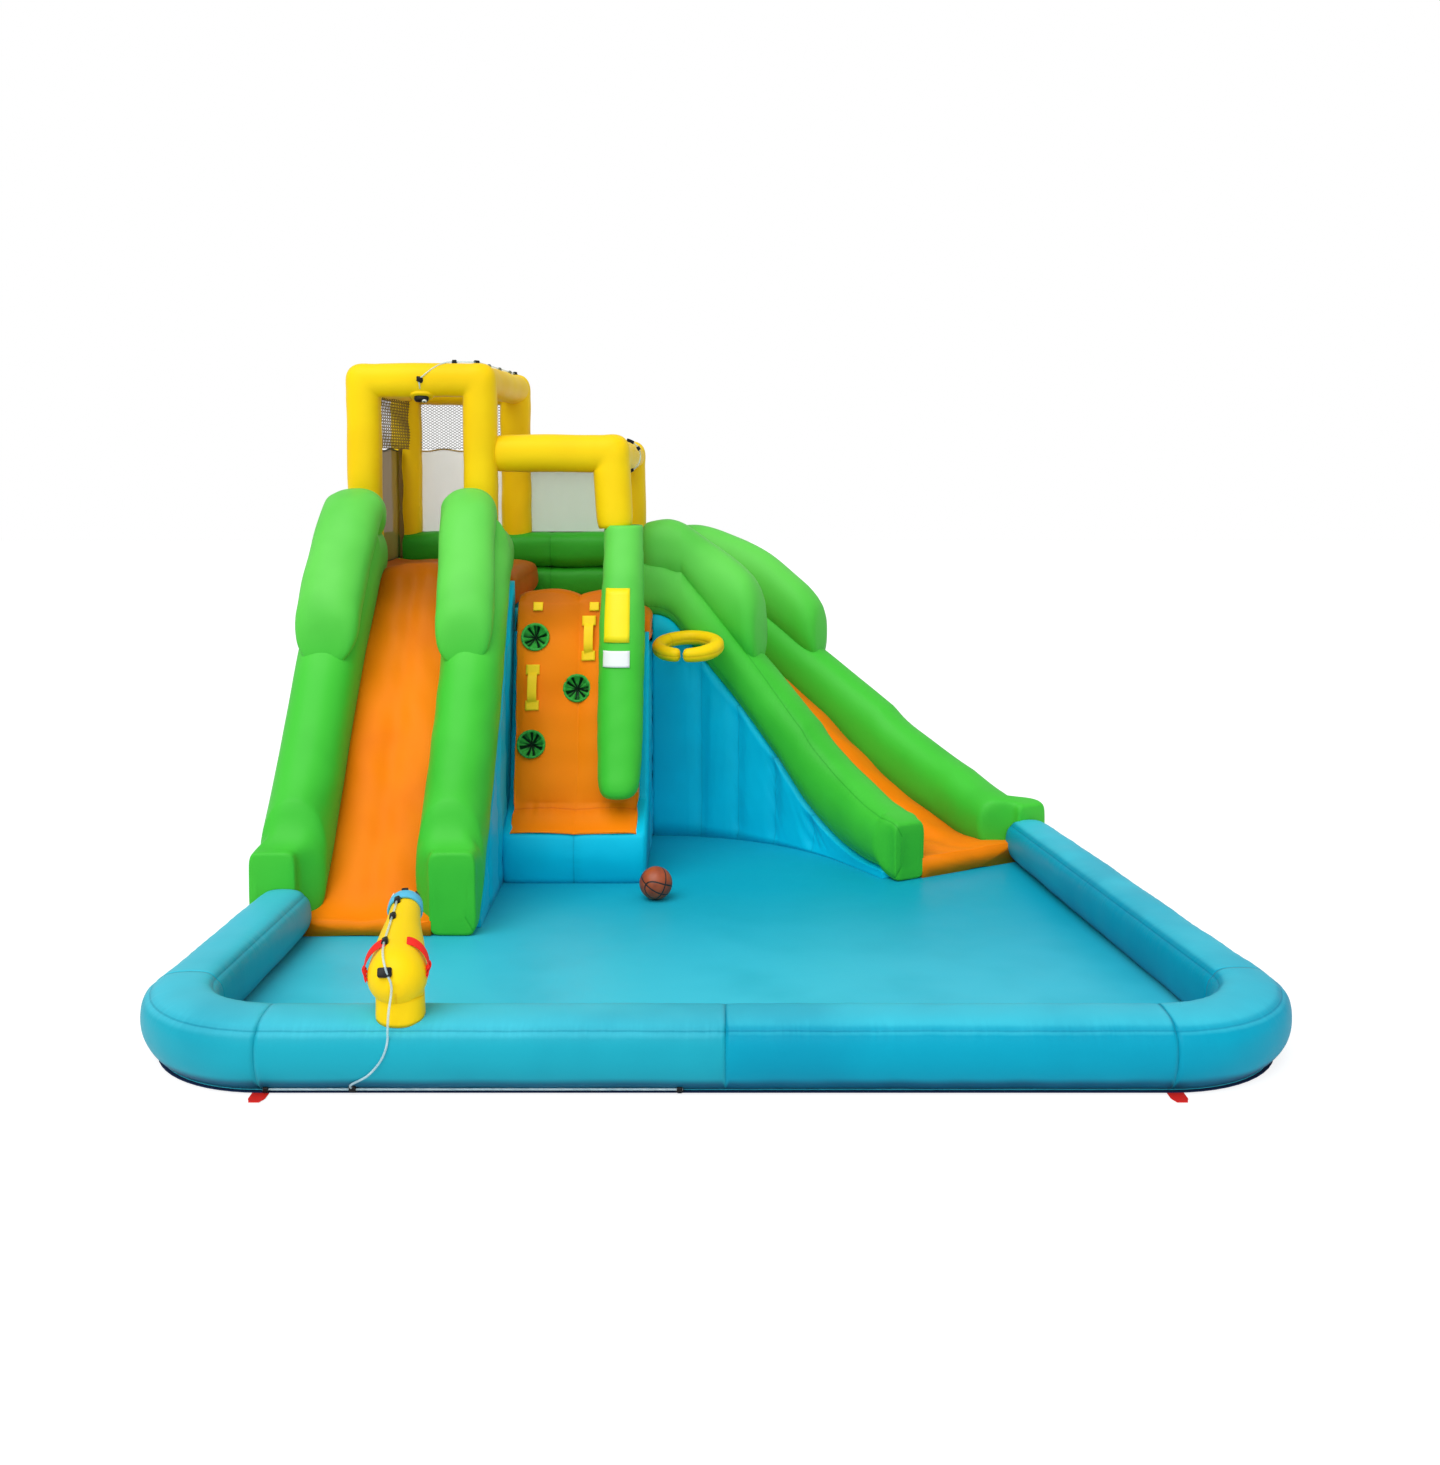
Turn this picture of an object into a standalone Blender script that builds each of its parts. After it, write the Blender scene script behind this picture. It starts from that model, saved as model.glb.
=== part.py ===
"""Inflatable water slide: a straight slide, a curved slide, a climbing wall and a splash pool.

Lengths are in metres, +Z is up and +Y runs from the pool's front wall to the tower's back.
The origin lies on the ground under the middle of the footprint. Neighbouring chambers are
separate closed solids that meet along a seam gap.
"""

import math

import bmesh
import bpy
from mathutils import Vector
from mathutils.geometry import delaunay_2d_cdt

# Seams between chambers, and how far a cutter runs past what it cuts
SEAM_GAP = 0.0003
CUT_GAP = 0.0004
OVERRUN = 0.05

# Footprint
OVERALL_WIDTH = 3.92
POOL_LENGTH = 2.93
TOWER_DEPTH = 1.24
SLEEVE_LENGTH = 0.22

# Ground sheet and pool floor
SHEET_THICKNESS = 0.005
FLOOR_THICKNESS = 0.005
SHEET_MARGIN = 0.03
FLOOR_MARGIN = 0.026

# Pool wall: a tube flattened where it lies on the floor
WALL_RADIUS = 0.155
WALL_FLAT_ANGLE = math.radians(35)
WALL_CORNER_RADIUS = 0.36
WALL_REAR_SHARE = 0.74
WALL_MIDDLE_SEAM_X = 0.03
WALL_SIDES = 18

# Tower base, decks and back wall
HIGH_WIDTH = 0.925
LOW_WIDTH = 0.67
TOWER_INSET = 0.03
HIGH_DECK_HEIGHT = 1.45
LOW_DECK_HEIGHT = 1.25
DECK_THICKNESS = 0.20
DECK_EDGE_RADIUS = 0.05
BACK_DEPTH = 0.25
BACK_PANEL_HEIGHT = 1.20
BACK_RAIL_HEIGHT = 0.192

# Tower frames: inflated tubes
FRAME_RADIUS = 0.085
FRAME_INNER_BEND = 0.007
FRAME_BEND_STEPS = 6
FRAME_CORNER_SHARE = 0.247
FRAME_SETBACK = 0.005
FRAME_SIDES = 12
SIDE_BAR_SHARE = 0.94
HIGH_BAR_HEIGHT = 2.395
LOW_BAR_HEIGHT = 2.02
HIGH_OUTER_POST_INSET = 0.148
HIGH_INNER_POST_INSET = 0.185
HIGH_REAR_POST_INSET = 0.135
LOW_FRONT_POST_INSET = 0.160
LOW_REAR_POST_INSET = 0.15

# Screens and net behind the decks
SCREEN_THICKNESS = 0.004
SCREEN_HEIGHT = 2.06
NET_CELL = 0.042
NET_STRAND = 0.008

# Straight slide
LEFT_TOP = 1.46
LEFT_LANDING = 0.08
LEFT_ANGLE = math.radians(50)
LEFT_CREST_RADIUS = 0.18
LEFT_RUNOUT_RADIUS = 0.20
LEFT_RAIL_DIAMETER = 0.29
LEFT_RAIL_OUTER_INSET = 0.125
LEFT_RAIL_INNER_INSET = 0.13
LEFT_RAIL_SINK = 0.09
LEFT_FOOT_WIDTH = 0.20
LEFT_GUARD_LENGTH = 0.66
LEFT_GUARD_PEAKS = (1.86, 1.86)

# Curved slide
RIGHT_WIDTH = 0.875
RIGHT_TOP = 1.25
RIGHT_LANDING = 0.11
RIGHT_ANGLE = math.radians(50)
RIGHT_CREST_RADIUS = 0.20
RIGHT_RUNOUT_RADIUS = 0.70
RIGHT_CURVE_RADIUS = 1.12
RIGHT_TURN = math.radians(60)
RIGHT_STRAIGHT = 0.40
RIGHT_RAIL_DIAMETER = 0.26
RIGHT_RAIL_NEAR_INSET = 0.10
RIGHT_RAIL_FAR_INSET = 0.13
RIGHT_FAR_SPREAD = 0.05
RIGHT_RAIL_SINK = 0.07
RIGHT_FOOT_WIDTH = 0.165
RIGHT_GUARD_LENGTH = 0.58
RIGHT_GUARD_PEAKS = (1.69, 1.655)

# Both slides: height of a rail's top over the lane, as shares of the rail's diameter, and
# height of a guard's top, as shares of its peak, along shares of the rail's and guard's length
LEFT_RAIL_RISE_SHARES = ((0.0, 0.79), (0.75, 0.79), (1.0, 1.0))
RIGHT_RAIL_RISE_SHARES = (
    (0.0, 0.80), (0.32, 0.68), (0.445, 0.705), (0.534, 0.77), (0.636, 1.04), (0.763, 1.09), (0.875, 0.90),
    (1.0, 0.72),
)
LEFT_GUARD_TOP_SHARES = ((0.0, 0.995), (0.15, 1.0), (0.39, 0.968), (0.62, 0.887), (0.92, 0.753), (1.0, 0.71))
RIGHT_GUARD_TOP_SHARES = (
    (0.0, 0.994), (0.14, 1.0), (0.26, 0.988), (0.41, 0.953), (0.65, 0.882), (0.83, 0.801), (1.0, 0.73),
)
RAIL_SIDES = 14
RAIL_ROUNDNESS = 2.4
FOOT_ROUNDNESS = 7.0
FOOT_LENGTH = 0.30
FOOT_BLEND = 0.18
GUARD_WIDTH_SHARE = 0.90
GUARD_OVERLAP = 0.10
GUARD_NOSE = 0.05
PILLOW_EDGE = 0.012
PILLOW_SHARE = 0.93
MAT_THICKNESS = 0.06
MAT_CROWN = 0.028
MAT_UNDER_RAIL_SHARE = 0.6
MAT_BULGES = 2
MAT_ACROSS = 12
SLIDE_STATIONS = 18
BODY_LEAST_HEIGHT = 0.03

# Climbing wall
CLIMB_STEP_HEIGHT = 0.244
CLIMB_STEP_REACH = 0.54
CLIMB_CREASE_REACH = 0.39
CLIMB_CREASE_HEIGHT = 0.36
CLIMB_TOP_REACH = 0.11
CLIMB_TOP_HEIGHT = 1.30
CLIMB_CREST = 0.03
CLIMB_THICKNESS = 0.12
CLIMB_BULGE = 0.018
CLIMB_SIDE_PANEL = 0.012
PILLAR_RADIUS = 0.105
PILLAR_INSET = 0.128
PILLAR_TOP = 1.65
PILLAR_BOTTOM = 0.40
PILLAR_STAND_OFF = 0.08

# Footholds: gathered green pockets, placed by shares across and up the steep wall
FOOTHOLD_RADIUS = 0.06
FOOTHOLD_DEPTH = 0.05
FOOTHOLD_WALL = 0.006
FOOTHOLD_SIDES = 16
FOOTHOLD_SHARES = ((0.18, 0.82), (0.49, 0.565), (0.17, 0.285))

# Climbing handles: webbing straps, placed by shares across and up the steep wall
HANDLE_LENGTH = 0.19
HANDLE_WIDTH = 0.045
HANDLE_THICKNESS = 0.005
HANDLE_STAND_OFF = 0.03
HANDLE_SHARES = ((0.57, 0.815), (0.17, 0.565))

# Splash hoop on the curved slide's near rail
HOOP_RADIUS = 0.148
HOOP_TUBE_RADIUS = 0.0375
HOOP_HEIGHT = 1.05
HOOP_ALONG = 0.235
HOOP_OVERLAP = 0.018
HOOP_GAP_ANGLE = math.radians(6)
HOOP_TILT = math.radians(8)
HOOP_STEPS = 24
HOOP_SIDES = 10

# Water cannon on the pool's front wall
CANNON_X = -1.012
CANNON_FORWARD = 0.055
CANNON_STAND_RADIUS = 0.0735
CANNON_STAND_HEIGHT = 0.31
CANNON_BULB_RADIUS = 0.095
CANNON_AXIS_HEIGHT = 0.372
CANNON_LENGTH = 0.58
CANNON_TIP_RADIUS = 0.045
CANNON_YAW = math.radians(8)
CANNON_PITCH = math.radians(12)
CANNON_SIDES = 16
CANNON_COLLAR_WALL = 0.012
CANNON_COLLAR_SHARES = (0.84, 0.94)
# Shares of the cannon's length, and of the way from its tip's radius to its bulb's radius
CANNON_SHAPE_SHARES = (
    (0.0, -0.35), (0.03, 0.30), (0.08, 0.78), (0.16, 1.0), (0.30, 0.88), (0.50, 0.58), (0.75, 0.22), (1.0, 0.0),
)
CANNON_HANDLE_SHARES = (0.22, 0.46)
CANNON_HANDLE_REACH = 0.042
CANNON_HANDLE_WIDTH = 0.022
CANNON_HANDLE_THICKNESS = 0.004

# Hoses: the supply hose's ends and the tee to the cannon are distances from the left wall's axis
HOSE_RADIUS = 0.005
HOSE_STEP = 0.028
HOSE_CLEARANCE = 0.0004
HOSE_GAP = 0.025
SUPPLY_START = 0.37
SUPPLY_END = 1.70
SUPPLY_TEE = 0.655
HOSE_CLIMB_ANGLES = (-38, -22, -4, 10, 22)
HOSE_STAND_GAP = 0.010
CANNON_HOSE_LIFT = 0.003
CANNON_HOSE_SHARES = (0.0, 0.015, 0.03, 0.05, 0.08, 0.12, 0.16, 0.22, 0.3, 0.4, 0.5, 0.62, 0.74, 0.815)
SPRAYER_ANGLE = math.radians(-30)
TOWER_HOSE_SHARES = (0.535, 0.794)

# Anchor tabs, air inlet sleeve, deflation zip and ball
TAB_WIDTH = 0.055
TAB_LENGTH = 0.055
TAB_THICKNESS = 0.004
TAB_INSETS = (0.363, 0.35)
SLEEVE_RADIUS = 0.09
SLEEVE_WALL = 0.006
SLEEVE_SIDES = 20
SLEEVE_SHARE = 0.35
ZIP_LENGTH = 0.32
ZIP_WIDTH = 0.035
ZIP_THICKNESS = 0.003
ZIP_HEIGHT = 0.22
ZIP_SHARE = 0.78
SLIDER_LENGTH = 0.03
SLIDER_WIDTH = 0.018
SLIDER_THICKNESS = 0.008
BALL_RADIUS = 0.075
BALL_X = -0.273
BALL_REACH = 0.80
BALL_SIDES = 20

# Colours
GREEN = (0.16, 0.62, 0.10, 1.0)
YELLOW = (0.93, 0.62, 0.01, 1.0)
ORANGE = (0.91, 0.26, 0.02, 1.0)
POOL_BLUE = (0.03, 0.42, 0.60, 1.0)
WALL_BLUE = (0.0, 0.33, 0.52, 1.0)
NAVY = (0.02, 0.04, 0.10, 1.0)
RED = (0.75, 0.03, 0.02, 1.0)
CLOTH_WHITE = (0.83, 0.86, 0.80, 1.0)
CLOTH_GREEN = (0.58, 0.74, 0.55, 1.0)
BLACK = (0.02, 0.02, 0.02, 1.0)
HOSE_CLEAR = (0.75, 0.85, 0.85, 1.0)
BALL_BROWN = (0.50, 0.11, 0.03, 1.0)
SOFT_ROUGHNESS = 0.55

# Places worked out from the sizes above
TOTAL_DEPTH = POOL_LENGTH + TOWER_DEPTH + SLEEVE_LENGTH
FRONT_Y = -TOTAL_DEPTH / 2
TOWER_Y = FRONT_Y + POOL_LENGTH
REAR_Y = TOWER_Y + TOWER_DEPTH
BACK_Y = REAR_Y - BACK_DEPTH
FLOOR_Z = SHEET_THICKNESS + SEAM_GAP
BASE_Z = FLOOR_Z + FLOOR_THICKNESS + SEAM_GAP
TOWER_LEFT_X = -OVERALL_WIDTH / 2 + TOWER_INSET
STEP_X = TOWER_LEFT_X + HIGH_WIDTH
TOWER_RIGHT_X = STEP_X + LOW_WIDTH
FRAME_BEND_RADIUS = FRAME_RADIUS + FRAME_INNER_BEND
FRONT_FRAME_Y = TOWER_Y + FRAME_SETBACK + FRAME_RADIUS
REAR_FRAME_Y = REAR_Y - BACK_DEPTH / 2
BACK_TOP = BACK_PANEL_HEIGHT + 2 * BACK_RAIL_HEIGHT
WALL_AXIS_Z = BASE_Z + WALL_RADIUS * math.cos(WALL_FLAT_ANGLE)
WALL_LEFT_X = -OVERALL_WIDTH / 2 + WALL_RADIUS
WALL_RIGHT_X = OVERALL_WIDTH / 2 - WALL_RADIUS
WALL_FRONT_Y = FRONT_Y + WALL_RADIUS
UP = Vector((0, 0, 1))


def clear_scene():
    """Remove every object of the open scene."""
    for obj in list(bpy.data.objects):
        bpy.data.objects.remove(obj)


def material(name, colour, roughness=SOFT_ROUGHNESS):
    """A Principled material of one colour."""
    made = bpy.data.materials.new(name)
    made.use_nodes = True
    shader = made.node_tree.nodes["Principled BSDF"]
    shader.inputs["Base Color"].default_value = colour
    shader.inputs["Roughness"].default_value = roughness
    made.diffuse_color = colour
    return made


def finish(name, bm, colour, smooth=True, origin=None):
    """Turn a bmesh into a named object, with its own origin on a joint's axis where it moves."""
    bmesh.ops.recalc_face_normals(bm, faces=bm.faces)
    if origin is not None:
        bmesh.ops.translate(bm, verts=bm.verts, vec=-origin)
    mesh = bpy.data.meshes.new(name)
    bm.to_mesh(mesh)
    bm.free()
    if smooth:
        mesh.shade_smooth()
        mesh.set_sharp_from_angle(angle=math.radians(40))
    mesh.materials.append(material(name, colour))
    obj = bpy.data.objects.new(name, mesh)
    bpy.context.scene.collection.objects.link(obj)
    if origin is not None:
        obj.location = origin
    return obj


def as_cutter(obj):
    """Keep an object as a tool only: it shows as wire and stays out of renders."""
    obj.hide_render = True
    obj.display_type = "WIRE"
    return obj


def cut(obj, *cutters, operation="DIFFERENCE", tolerant=False):
    """Add an exact Boolean to an object for each cutter; a tolerant one copes with touching skins."""
    for cutter in cutters:
        boolean = obj.modifiers.new(f"{operation.lower()}_{cutter.name}", "BOOLEAN")
        boolean.operation = operation
        boolean.solver = "EXACT"
        boolean.use_hole_tolerant = tolerant
        boolean.object = cutter
    return obj


def split_quad(bm, a, b, c, d):
    """Two triangles for a quad; neighbours that share its corners pick the same diagonal."""
    weight = Vector((1.0, 0.7, 0.3))
    if (a.co + c.co).dot(weight) < (b.co + d.co).dot(weight):
        bm.faces.new((a, b, c))
        bm.faces.new((a, c, d))
    else:
        bm.faces.new((a, b, d))
        bm.faces.new((b, c, d))


def loft_mesh(rings, closed=False):
    """A bmesh through rings of equal count, capped at its ends or closed on itself."""
    bm = bmesh.new()
    rows = [[bm.verts.new(point) for point in ring] for ring in rings]
    count = len(rows[0])
    pairs = list(zip(rows, rows[1:]))
    if closed:
        pairs.append((rows[-1], rows[0]))
    for near, far in pairs:
        for k in range(count):
            following = (k + 1) % count
            split_quad(bm, near[k], near[following], far[following], far[k])
    if not closed:
        bm.faces.new(rows[0])
        bm.faces.new(rows[-1])
    return bm


def loft(name, rings, colour, **options):
    """A named solid through rings."""
    return finish(name, loft_mesh(rings), colour, **options)


def oval(centre, across, up, half_width, half_height, roundness=2.0, sides=RAIL_SIDES):
    """A ring of points on a superellipse: roundness 2 is an ellipse, more is boxier."""
    points = []
    for k in range(sides):
        angle = math.tau * k / sides
        c, s = math.cos(angle), math.sin(angle)
        x = math.copysign(abs(c) ** (2 / roundness), c)
        y = math.copysign(abs(s) ** (2 / roundness), s)
        points.append(centre + across * half_width * x + up * half_height * y)
    return points


def tube_rings(points, radius, sides=FRAME_SIDES, up=UP):
    """Round rings along a path, each square to the path there."""
    rings = []
    for k, point in enumerate(points):
        ahead = points[min(k + 1, len(points) - 1)] - points[max(k - 1, 0)]
        across = ahead.normalized().cross(up).normalized()
        rise = across.cross(ahead).normalized()
        rings.append(oval(point, across, rise, radius, radius, sides=sides))
    return rings


def box_mesh(low, high, edge=0.0, segments=2):
    """A box between two corners, with rounded edges."""
    bm = bmesh.new()
    bmesh.ops.create_cube(bm, size=1.0)
    size = Vector(high) - Vector(low)
    bmesh.ops.scale(bm, vec=size, verts=bm.verts)
    bmesh.ops.translate(bm, vec=(Vector(low) + Vector(high)) / 2, verts=bm.verts)
    if edge:
        bmesh.ops.bevel(bm, geom=bm.edges[:], offset=edge, segments=segments, profile=0.5, affect="EDGES")
    return bm


def prism(name, outline, low, high, colour):
    """A flat plate with a plan outline between two heights."""
    rings = [[Vector((x, y, z)) for x, y in outline] for z in (low, high)]
    return loft(name, rings, colour, smooth=False)


def blend(table, share):
    """Smooth value of a table of (share, value) pairs at a share."""
    if share <= table[0][0]:
        return table[0][1]
    for k, ((x0, y0), (x1, y1)) in enumerate(zip(table, table[1:])):
        if share <= x1:
            before = table[max(k - 1, 0)]
            after = table[min(k + 2, len(table) - 1)]
            m0 = (y1 - before[1]) / (x1 - before[0])
            m1 = (after[1] - y0) / (after[0] - x0)
            t = (share - x0) / (x1 - x0)
            span = x1 - x0
            return (
                (2 * t**3 - 3 * t**2 + 1) * y0
                + (t**3 - 2 * t**2 + t) * span * m0
                + (3 * t**2 - 2 * t**3) * y1
                + (t**3 - t**2) * span * m1
            )
    return table[-1][1]


def ease(share):
    """Smooth step from 0 to 1."""
    share = min(max(share, 0.0), 1.0)
    return share * share * (3 - 2 * share)


class Chute:
    """A slide's space: s runs from the tower's face to the landing, w across it and z up."""

    def __init__(self, start, heading, top, landing, angle, crest, runout, curve=0.0, turn=0.0, straight=0.0):
        self.start = Vector(start)
        self.ahead = Vector((math.cos(heading), math.sin(heading), 0))
        self.left = Vector((-math.sin(heading), math.cos(heading), 0))
        self.top, self.landing, self.angle = top, landing, angle
        self.crest, self.runout = crest, runout
        self.curve, self.turn = curve, turn
        drop = top - landing - (crest + runout) * (1 - math.cos(angle))
        self.crest_end = crest * math.sin(angle)
        self.runout_start = self.crest_end + drop / math.tan(angle)
        self.run = self.runout_start + runout * math.sin(angle)
        self.length = max(curve * turn + straight, self.run)

    def place(self, s, w, z):
        """The point at s, w and z."""
        bend = min(max(s, 0.0), self.curve * self.turn)
        angle = bend / self.curve if self.curve else 0.0
        c, d = math.cos(angle), math.sin(angle)
        ahead = self.ahead * c - self.left * d
        left = self.left * c + self.ahead * d
        point = self.start + left * (w + self.curve) - self.left * self.curve
        return point + ahead * (s - bend) + UP * z

    def across(self, s):
        """The direction of growing w at s."""
        return (self.place(s, 1, 0) - self.place(s, 0, 0)).normalized()

    def height(self, s):
        """The lane's height at s: a round crest, a straight slope and a round run-out."""
        s = min(max(s, 0.0), self.run)
        if s < self.crest_end:
            return self.top - self.crest + math.sqrt(self.crest**2 - s**2)
        if s < self.runout_start:
            crest_drop = self.crest * (1 - math.cos(self.angle))
            return self.top - crest_drop - (s - self.crest_end) * math.tan(self.angle)
        back = self.run - s
        return self.landing + self.runout - math.sqrt(self.runout**2 - back**2)

    def steep(self, s):
        """How much longer a length square to the lane is when measured upright."""
        s = min(max(s, 0.0), self.run)
        if s < self.crest_end:
            slope = math.asin(s / self.crest)
        elif s < self.runout_start:
            slope = self.angle
        else:
            slope = math.asin((self.run - s) / self.runout)
        return 1 / math.cos(slope)


class Slide:
    """One slide: its chute, width, rails and guards."""

    def __init__(self, chute, width, diameter, sink, foot, rises, guard_length, guard_peaks, guard_shares):
        self.chute, self.width = chute, width
        self.radius, self.sink, self.foot = diameter / 2, sink, foot
        self.rises = rises
        self.guard_length, self.guard_peaks, self.guard_shares = guard_length, guard_peaks, guard_shares

    def set_rails(self, top_insets, insets, spread=0.0):
        """Place the rails' centres at the top, along the lane and at the feet."""
        self.top_centres = (top_insets[0], self.width - top_insets[1])
        self.centres = (insets[0], self.width - insets[1])
        self.foot_centres = (self.foot / 2, self.width - self.foot / 2 + spread)
        return self

    def stations(self, start, end, count=SLIDE_STATIONS):
        """Even places along the chute."""
        return [start + (end - start) * k / count for k in range(count + 1)]

    def rail_top(self, s):
        """Height of a rail's top at s."""
        rise = blend(self.rises, s / self.chute.length) * 2 * self.radius
        return self.chute.height(s) + rise * self.chute.steep(s)

    def rail_bottom(self, s):
        """Height of a rail's underside at s: on the floor at its foot."""
        bottom = max(self.chute.height(s) - self.sink * self.chute.steep(s), BASE_Z)
        return bottom + (BASE_Z - bottom) * self.foot_share(s)

    def foot_share(self, s):
        """0 along the rail, growing to 1 in its boxy foot."""
        return ease((s - self.chute.length + FOOT_LENGTH) / FOOT_BLEND)

    def rail_plan(self, side, s):
        """A rail's centre across the slide and its half width at s."""
        top = 1 - ease(s / self.guard_length)
        share = self.foot_share(s)
        w = self.centres[side] + (self.top_centres[side] - self.centres[side]) * top
        w += (self.foot_centres[side] - w) * share
        return w, self.radius + (self.foot / 2 - self.radius) * share

    def rail_ring(self, side, s, grow=0.0, scale=1.0):
        """A rail's upright section at s."""
        share = self.foot_share(s)
        w, half_width = self.rail_plan(side, s)
        top, bottom = self.rail_top(s), self.rail_bottom(s)
        half_height = (top - bottom) / 2
        roundness = RAIL_ROUNDNESS + (FOOT_ROUNDNESS - RAIL_ROUNDNESS) * share
        middle = self.chute.place(s, w, (top + bottom) / 2)
        across = self.chute.across(s)
        return oval(middle, across, UP, half_width * scale + grow, half_height * scale + grow, roundness)

    def rail(self, name, side):
        """A rail: a tube along the lane's edge with a boxy foot on the floor."""
        last = self.chute.length
        places = self.stations(SEAM_GAP, last - PILLOW_EDGE)
        rings = [self.rail_ring(side, s) for s in places]
        nose = self.rail_ring(side, last, scale=PILLOW_SHARE)
        return loft(name, rings + [nose], GREEN)

    def rail_cutter(self, name, side):
        """The rail's space with its seam gap, for what the rail nests in."""
        last = self.chute.length
        places = self.stations(SEAM_GAP, last - PILLOW_EDGE)
        rings = [self.rail_ring(side, s, grow=CUT_GAP) for s in places]
        first = [point + self.chute.ahead * -OVERRUN for point in rings[0]]
        end = self.rail_ring(side, last, grow=CUT_GAP)
        run_on = self.chute.place(last + OVERRUN, 0, 0) - self.chute.place(last, 0, 0)
        beyond = [point + run_on for point in end]
        return as_cutter(loft(name, [first] + rings + [end, beyond], GREEN))

    def guard_ring(self, side, s, scale=1.0):
        """A guard's upright section at s; its lower part lies in the rail until it is cut."""
        top = blend(self.guard_shares, s / self.guard_length) * self.guard_peaks[side]
        bottom = self.rail_top(s) - GUARD_OVERLAP
        w, half_width = self.rail_plan(side, s)
        middle = self.chute.place(s, w, (top + bottom) / 2)
        half_width *= GUARD_WIDTH_SHARE * scale
        return oval(middle, self.chute.across(s), UP, half_width, (top - bottom) / 2 * scale, RAIL_ROUNDNESS)

    def guard(self, name, side):
        """A guard: a second tube on the rail's upper part, with a blunt round end."""
        end = self.guard_length
        places = self.stations(SEAM_GAP, end - GUARD_NOSE, SLIDE_STATIONS // 2)
        rings = [self.guard_ring(side, s) for s in places]
        rings.append(self.guard_ring(side, end - GUARD_NOSE / 3, scale=0.88))
        rings.append(self.guard_ring(side, end, scale=0.6))
        return loft(name, rings, GREEN)

    def mat_edges(self, s):
        """The lane's two edges at s, a little under the rails."""
        near, near_half = self.rail_plan(0, s)
        far, far_half = self.rail_plan(1, s)
        return near + near_half * MAT_UNDER_RAIL_SHARE, far - far_half * MAT_UNDER_RAIL_SHARE

    def mat_bottom(self, s):
        """Height of the mat's underside at s."""
        return max(self.chute.height(s) - MAT_THICKNESS * self.chute.steep(s), BASE_Z)

    def mat(self, name):
        """The lane: an upper chamber with lengthwise bulges between the rails."""
        shares = [k / MAT_ACROSS for k in range(MAT_ACROSS + 1)]
        rings = []
        for s in self.stations(SEAM_GAP, self.chute.length):
            low_w, high_w = self.mat_edges(s)
            under = [self.chute.place(s, low_w + (high_w - low_w) * u, self.mat_bottom(s)) for u in shares]
            over = []
            for u in reversed(shares):
                crown = MAT_CROWN * (abs(math.sin(math.pi * MAT_BULGES * u)) - 0.5) * self.chute.steep(s)
                over.append(self.chute.place(s, low_w + (high_w - low_w) * u, self.chute.height(s) + crown))
            rings.append(under + over)
        return loft(name, rings, ORANGE)

    def body(self, name):
        """The chamber under the lane, from the floor up to the mat and the rails."""
        shares = [k / MAT_ACROSS for k in range(MAT_ACROSS + 1)]
        rings = []
        for s in self.stations(SEAM_GAP, self.chute.length):
            low_w, high_w = self.mat_edges(s)
            lines = [0.0] + [low_w + (high_w - low_w) * u for u in shares] + [self.width]
            top = self.mat_bottom(s) - SEAM_GAP * self.chute.steep(s)
            if top - BASE_Z < BODY_LEAST_HEIGHT:
                break
            ring = [self.chute.place(s, 0.0, BASE_Z), self.chute.place(s, self.width, BASE_Z)]
            rings.append(ring + [self.chute.place(s, w, top) for w in reversed(lines)])
        return loft(name, rings, WALL_BLUE, smooth=False)


def left_slide():
    """The straight slide, which runs forward from the high deck."""
    chute = Chute(
        (TOWER_LEFT_X, TOWER_Y, 0), -math.pi / 2,
        LEFT_TOP, LEFT_LANDING, LEFT_ANGLE, LEFT_CREST_RADIUS, LEFT_RUNOUT_RADIUS,
    )
    slide = Slide(
        chute, HIGH_WIDTH, LEFT_RAIL_DIAMETER, LEFT_RAIL_SINK, LEFT_FOOT_WIDTH,
        LEFT_RAIL_RISE_SHARES, LEFT_GUARD_LENGTH, LEFT_GUARD_PEAKS, LEFT_GUARD_TOP_SHARES,
    )
    top_insets = (HIGH_OUTER_POST_INSET, HIGH_INNER_POST_INSET)
    return slide.set_rails(top_insets, (LEFT_RAIL_OUTER_INSET, LEFT_RAIL_INNER_INSET))


def right_slide():
    """The curved slide, which leaves the low deck sideways and turns towards the pool."""
    chute = Chute(
        (TOWER_RIGHT_X, REAR_Y - RIGHT_WIDTH, 0), 0.0,
        RIGHT_TOP, RIGHT_LANDING, RIGHT_ANGLE, RIGHT_CREST_RADIUS, RIGHT_RUNOUT_RADIUS,
        RIGHT_CURVE_RADIUS, RIGHT_TURN, RIGHT_STRAIGHT,
    )
    slide = Slide(
        chute, RIGHT_WIDTH, RIGHT_RAIL_DIAMETER, RIGHT_RAIL_SINK, RIGHT_FOOT_WIDTH,
        RIGHT_RAIL_RISE_SHARES, RIGHT_GUARD_LENGTH, RIGHT_GUARD_PEAKS, RIGHT_GUARD_TOP_SHARES,
    )
    insets = (RIGHT_RAIL_NEAR_INSET, RIGHT_RAIL_FAR_INSET)
    return slide.set_rails(insets, insets, RIGHT_FAR_SPREAD)


def make_slide(slide, prefix, names):
    """All the pieces of one slide; gives its rail cutters for other pieces."""
    body = slide.body(f"{prefix}_slide_body")
    mat = slide.mat(f"{prefix}_slide_mat")
    cutters = []
    for side, name in enumerate(names):
        slide.rail(f"{prefix}_slide_{name}_rail", side)
        cutter = slide.rail_cutter(f"{prefix}_{name}_rail_space", side)
        guard = slide.guard(f"{prefix}_slide_{name}_guard", side)
        cut(guard, cutter)
        cutters.append(cutter)
    cut(body, *cutters)
    cut(mat, *cutters, tolerant=True)
    return body, cutters


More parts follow.
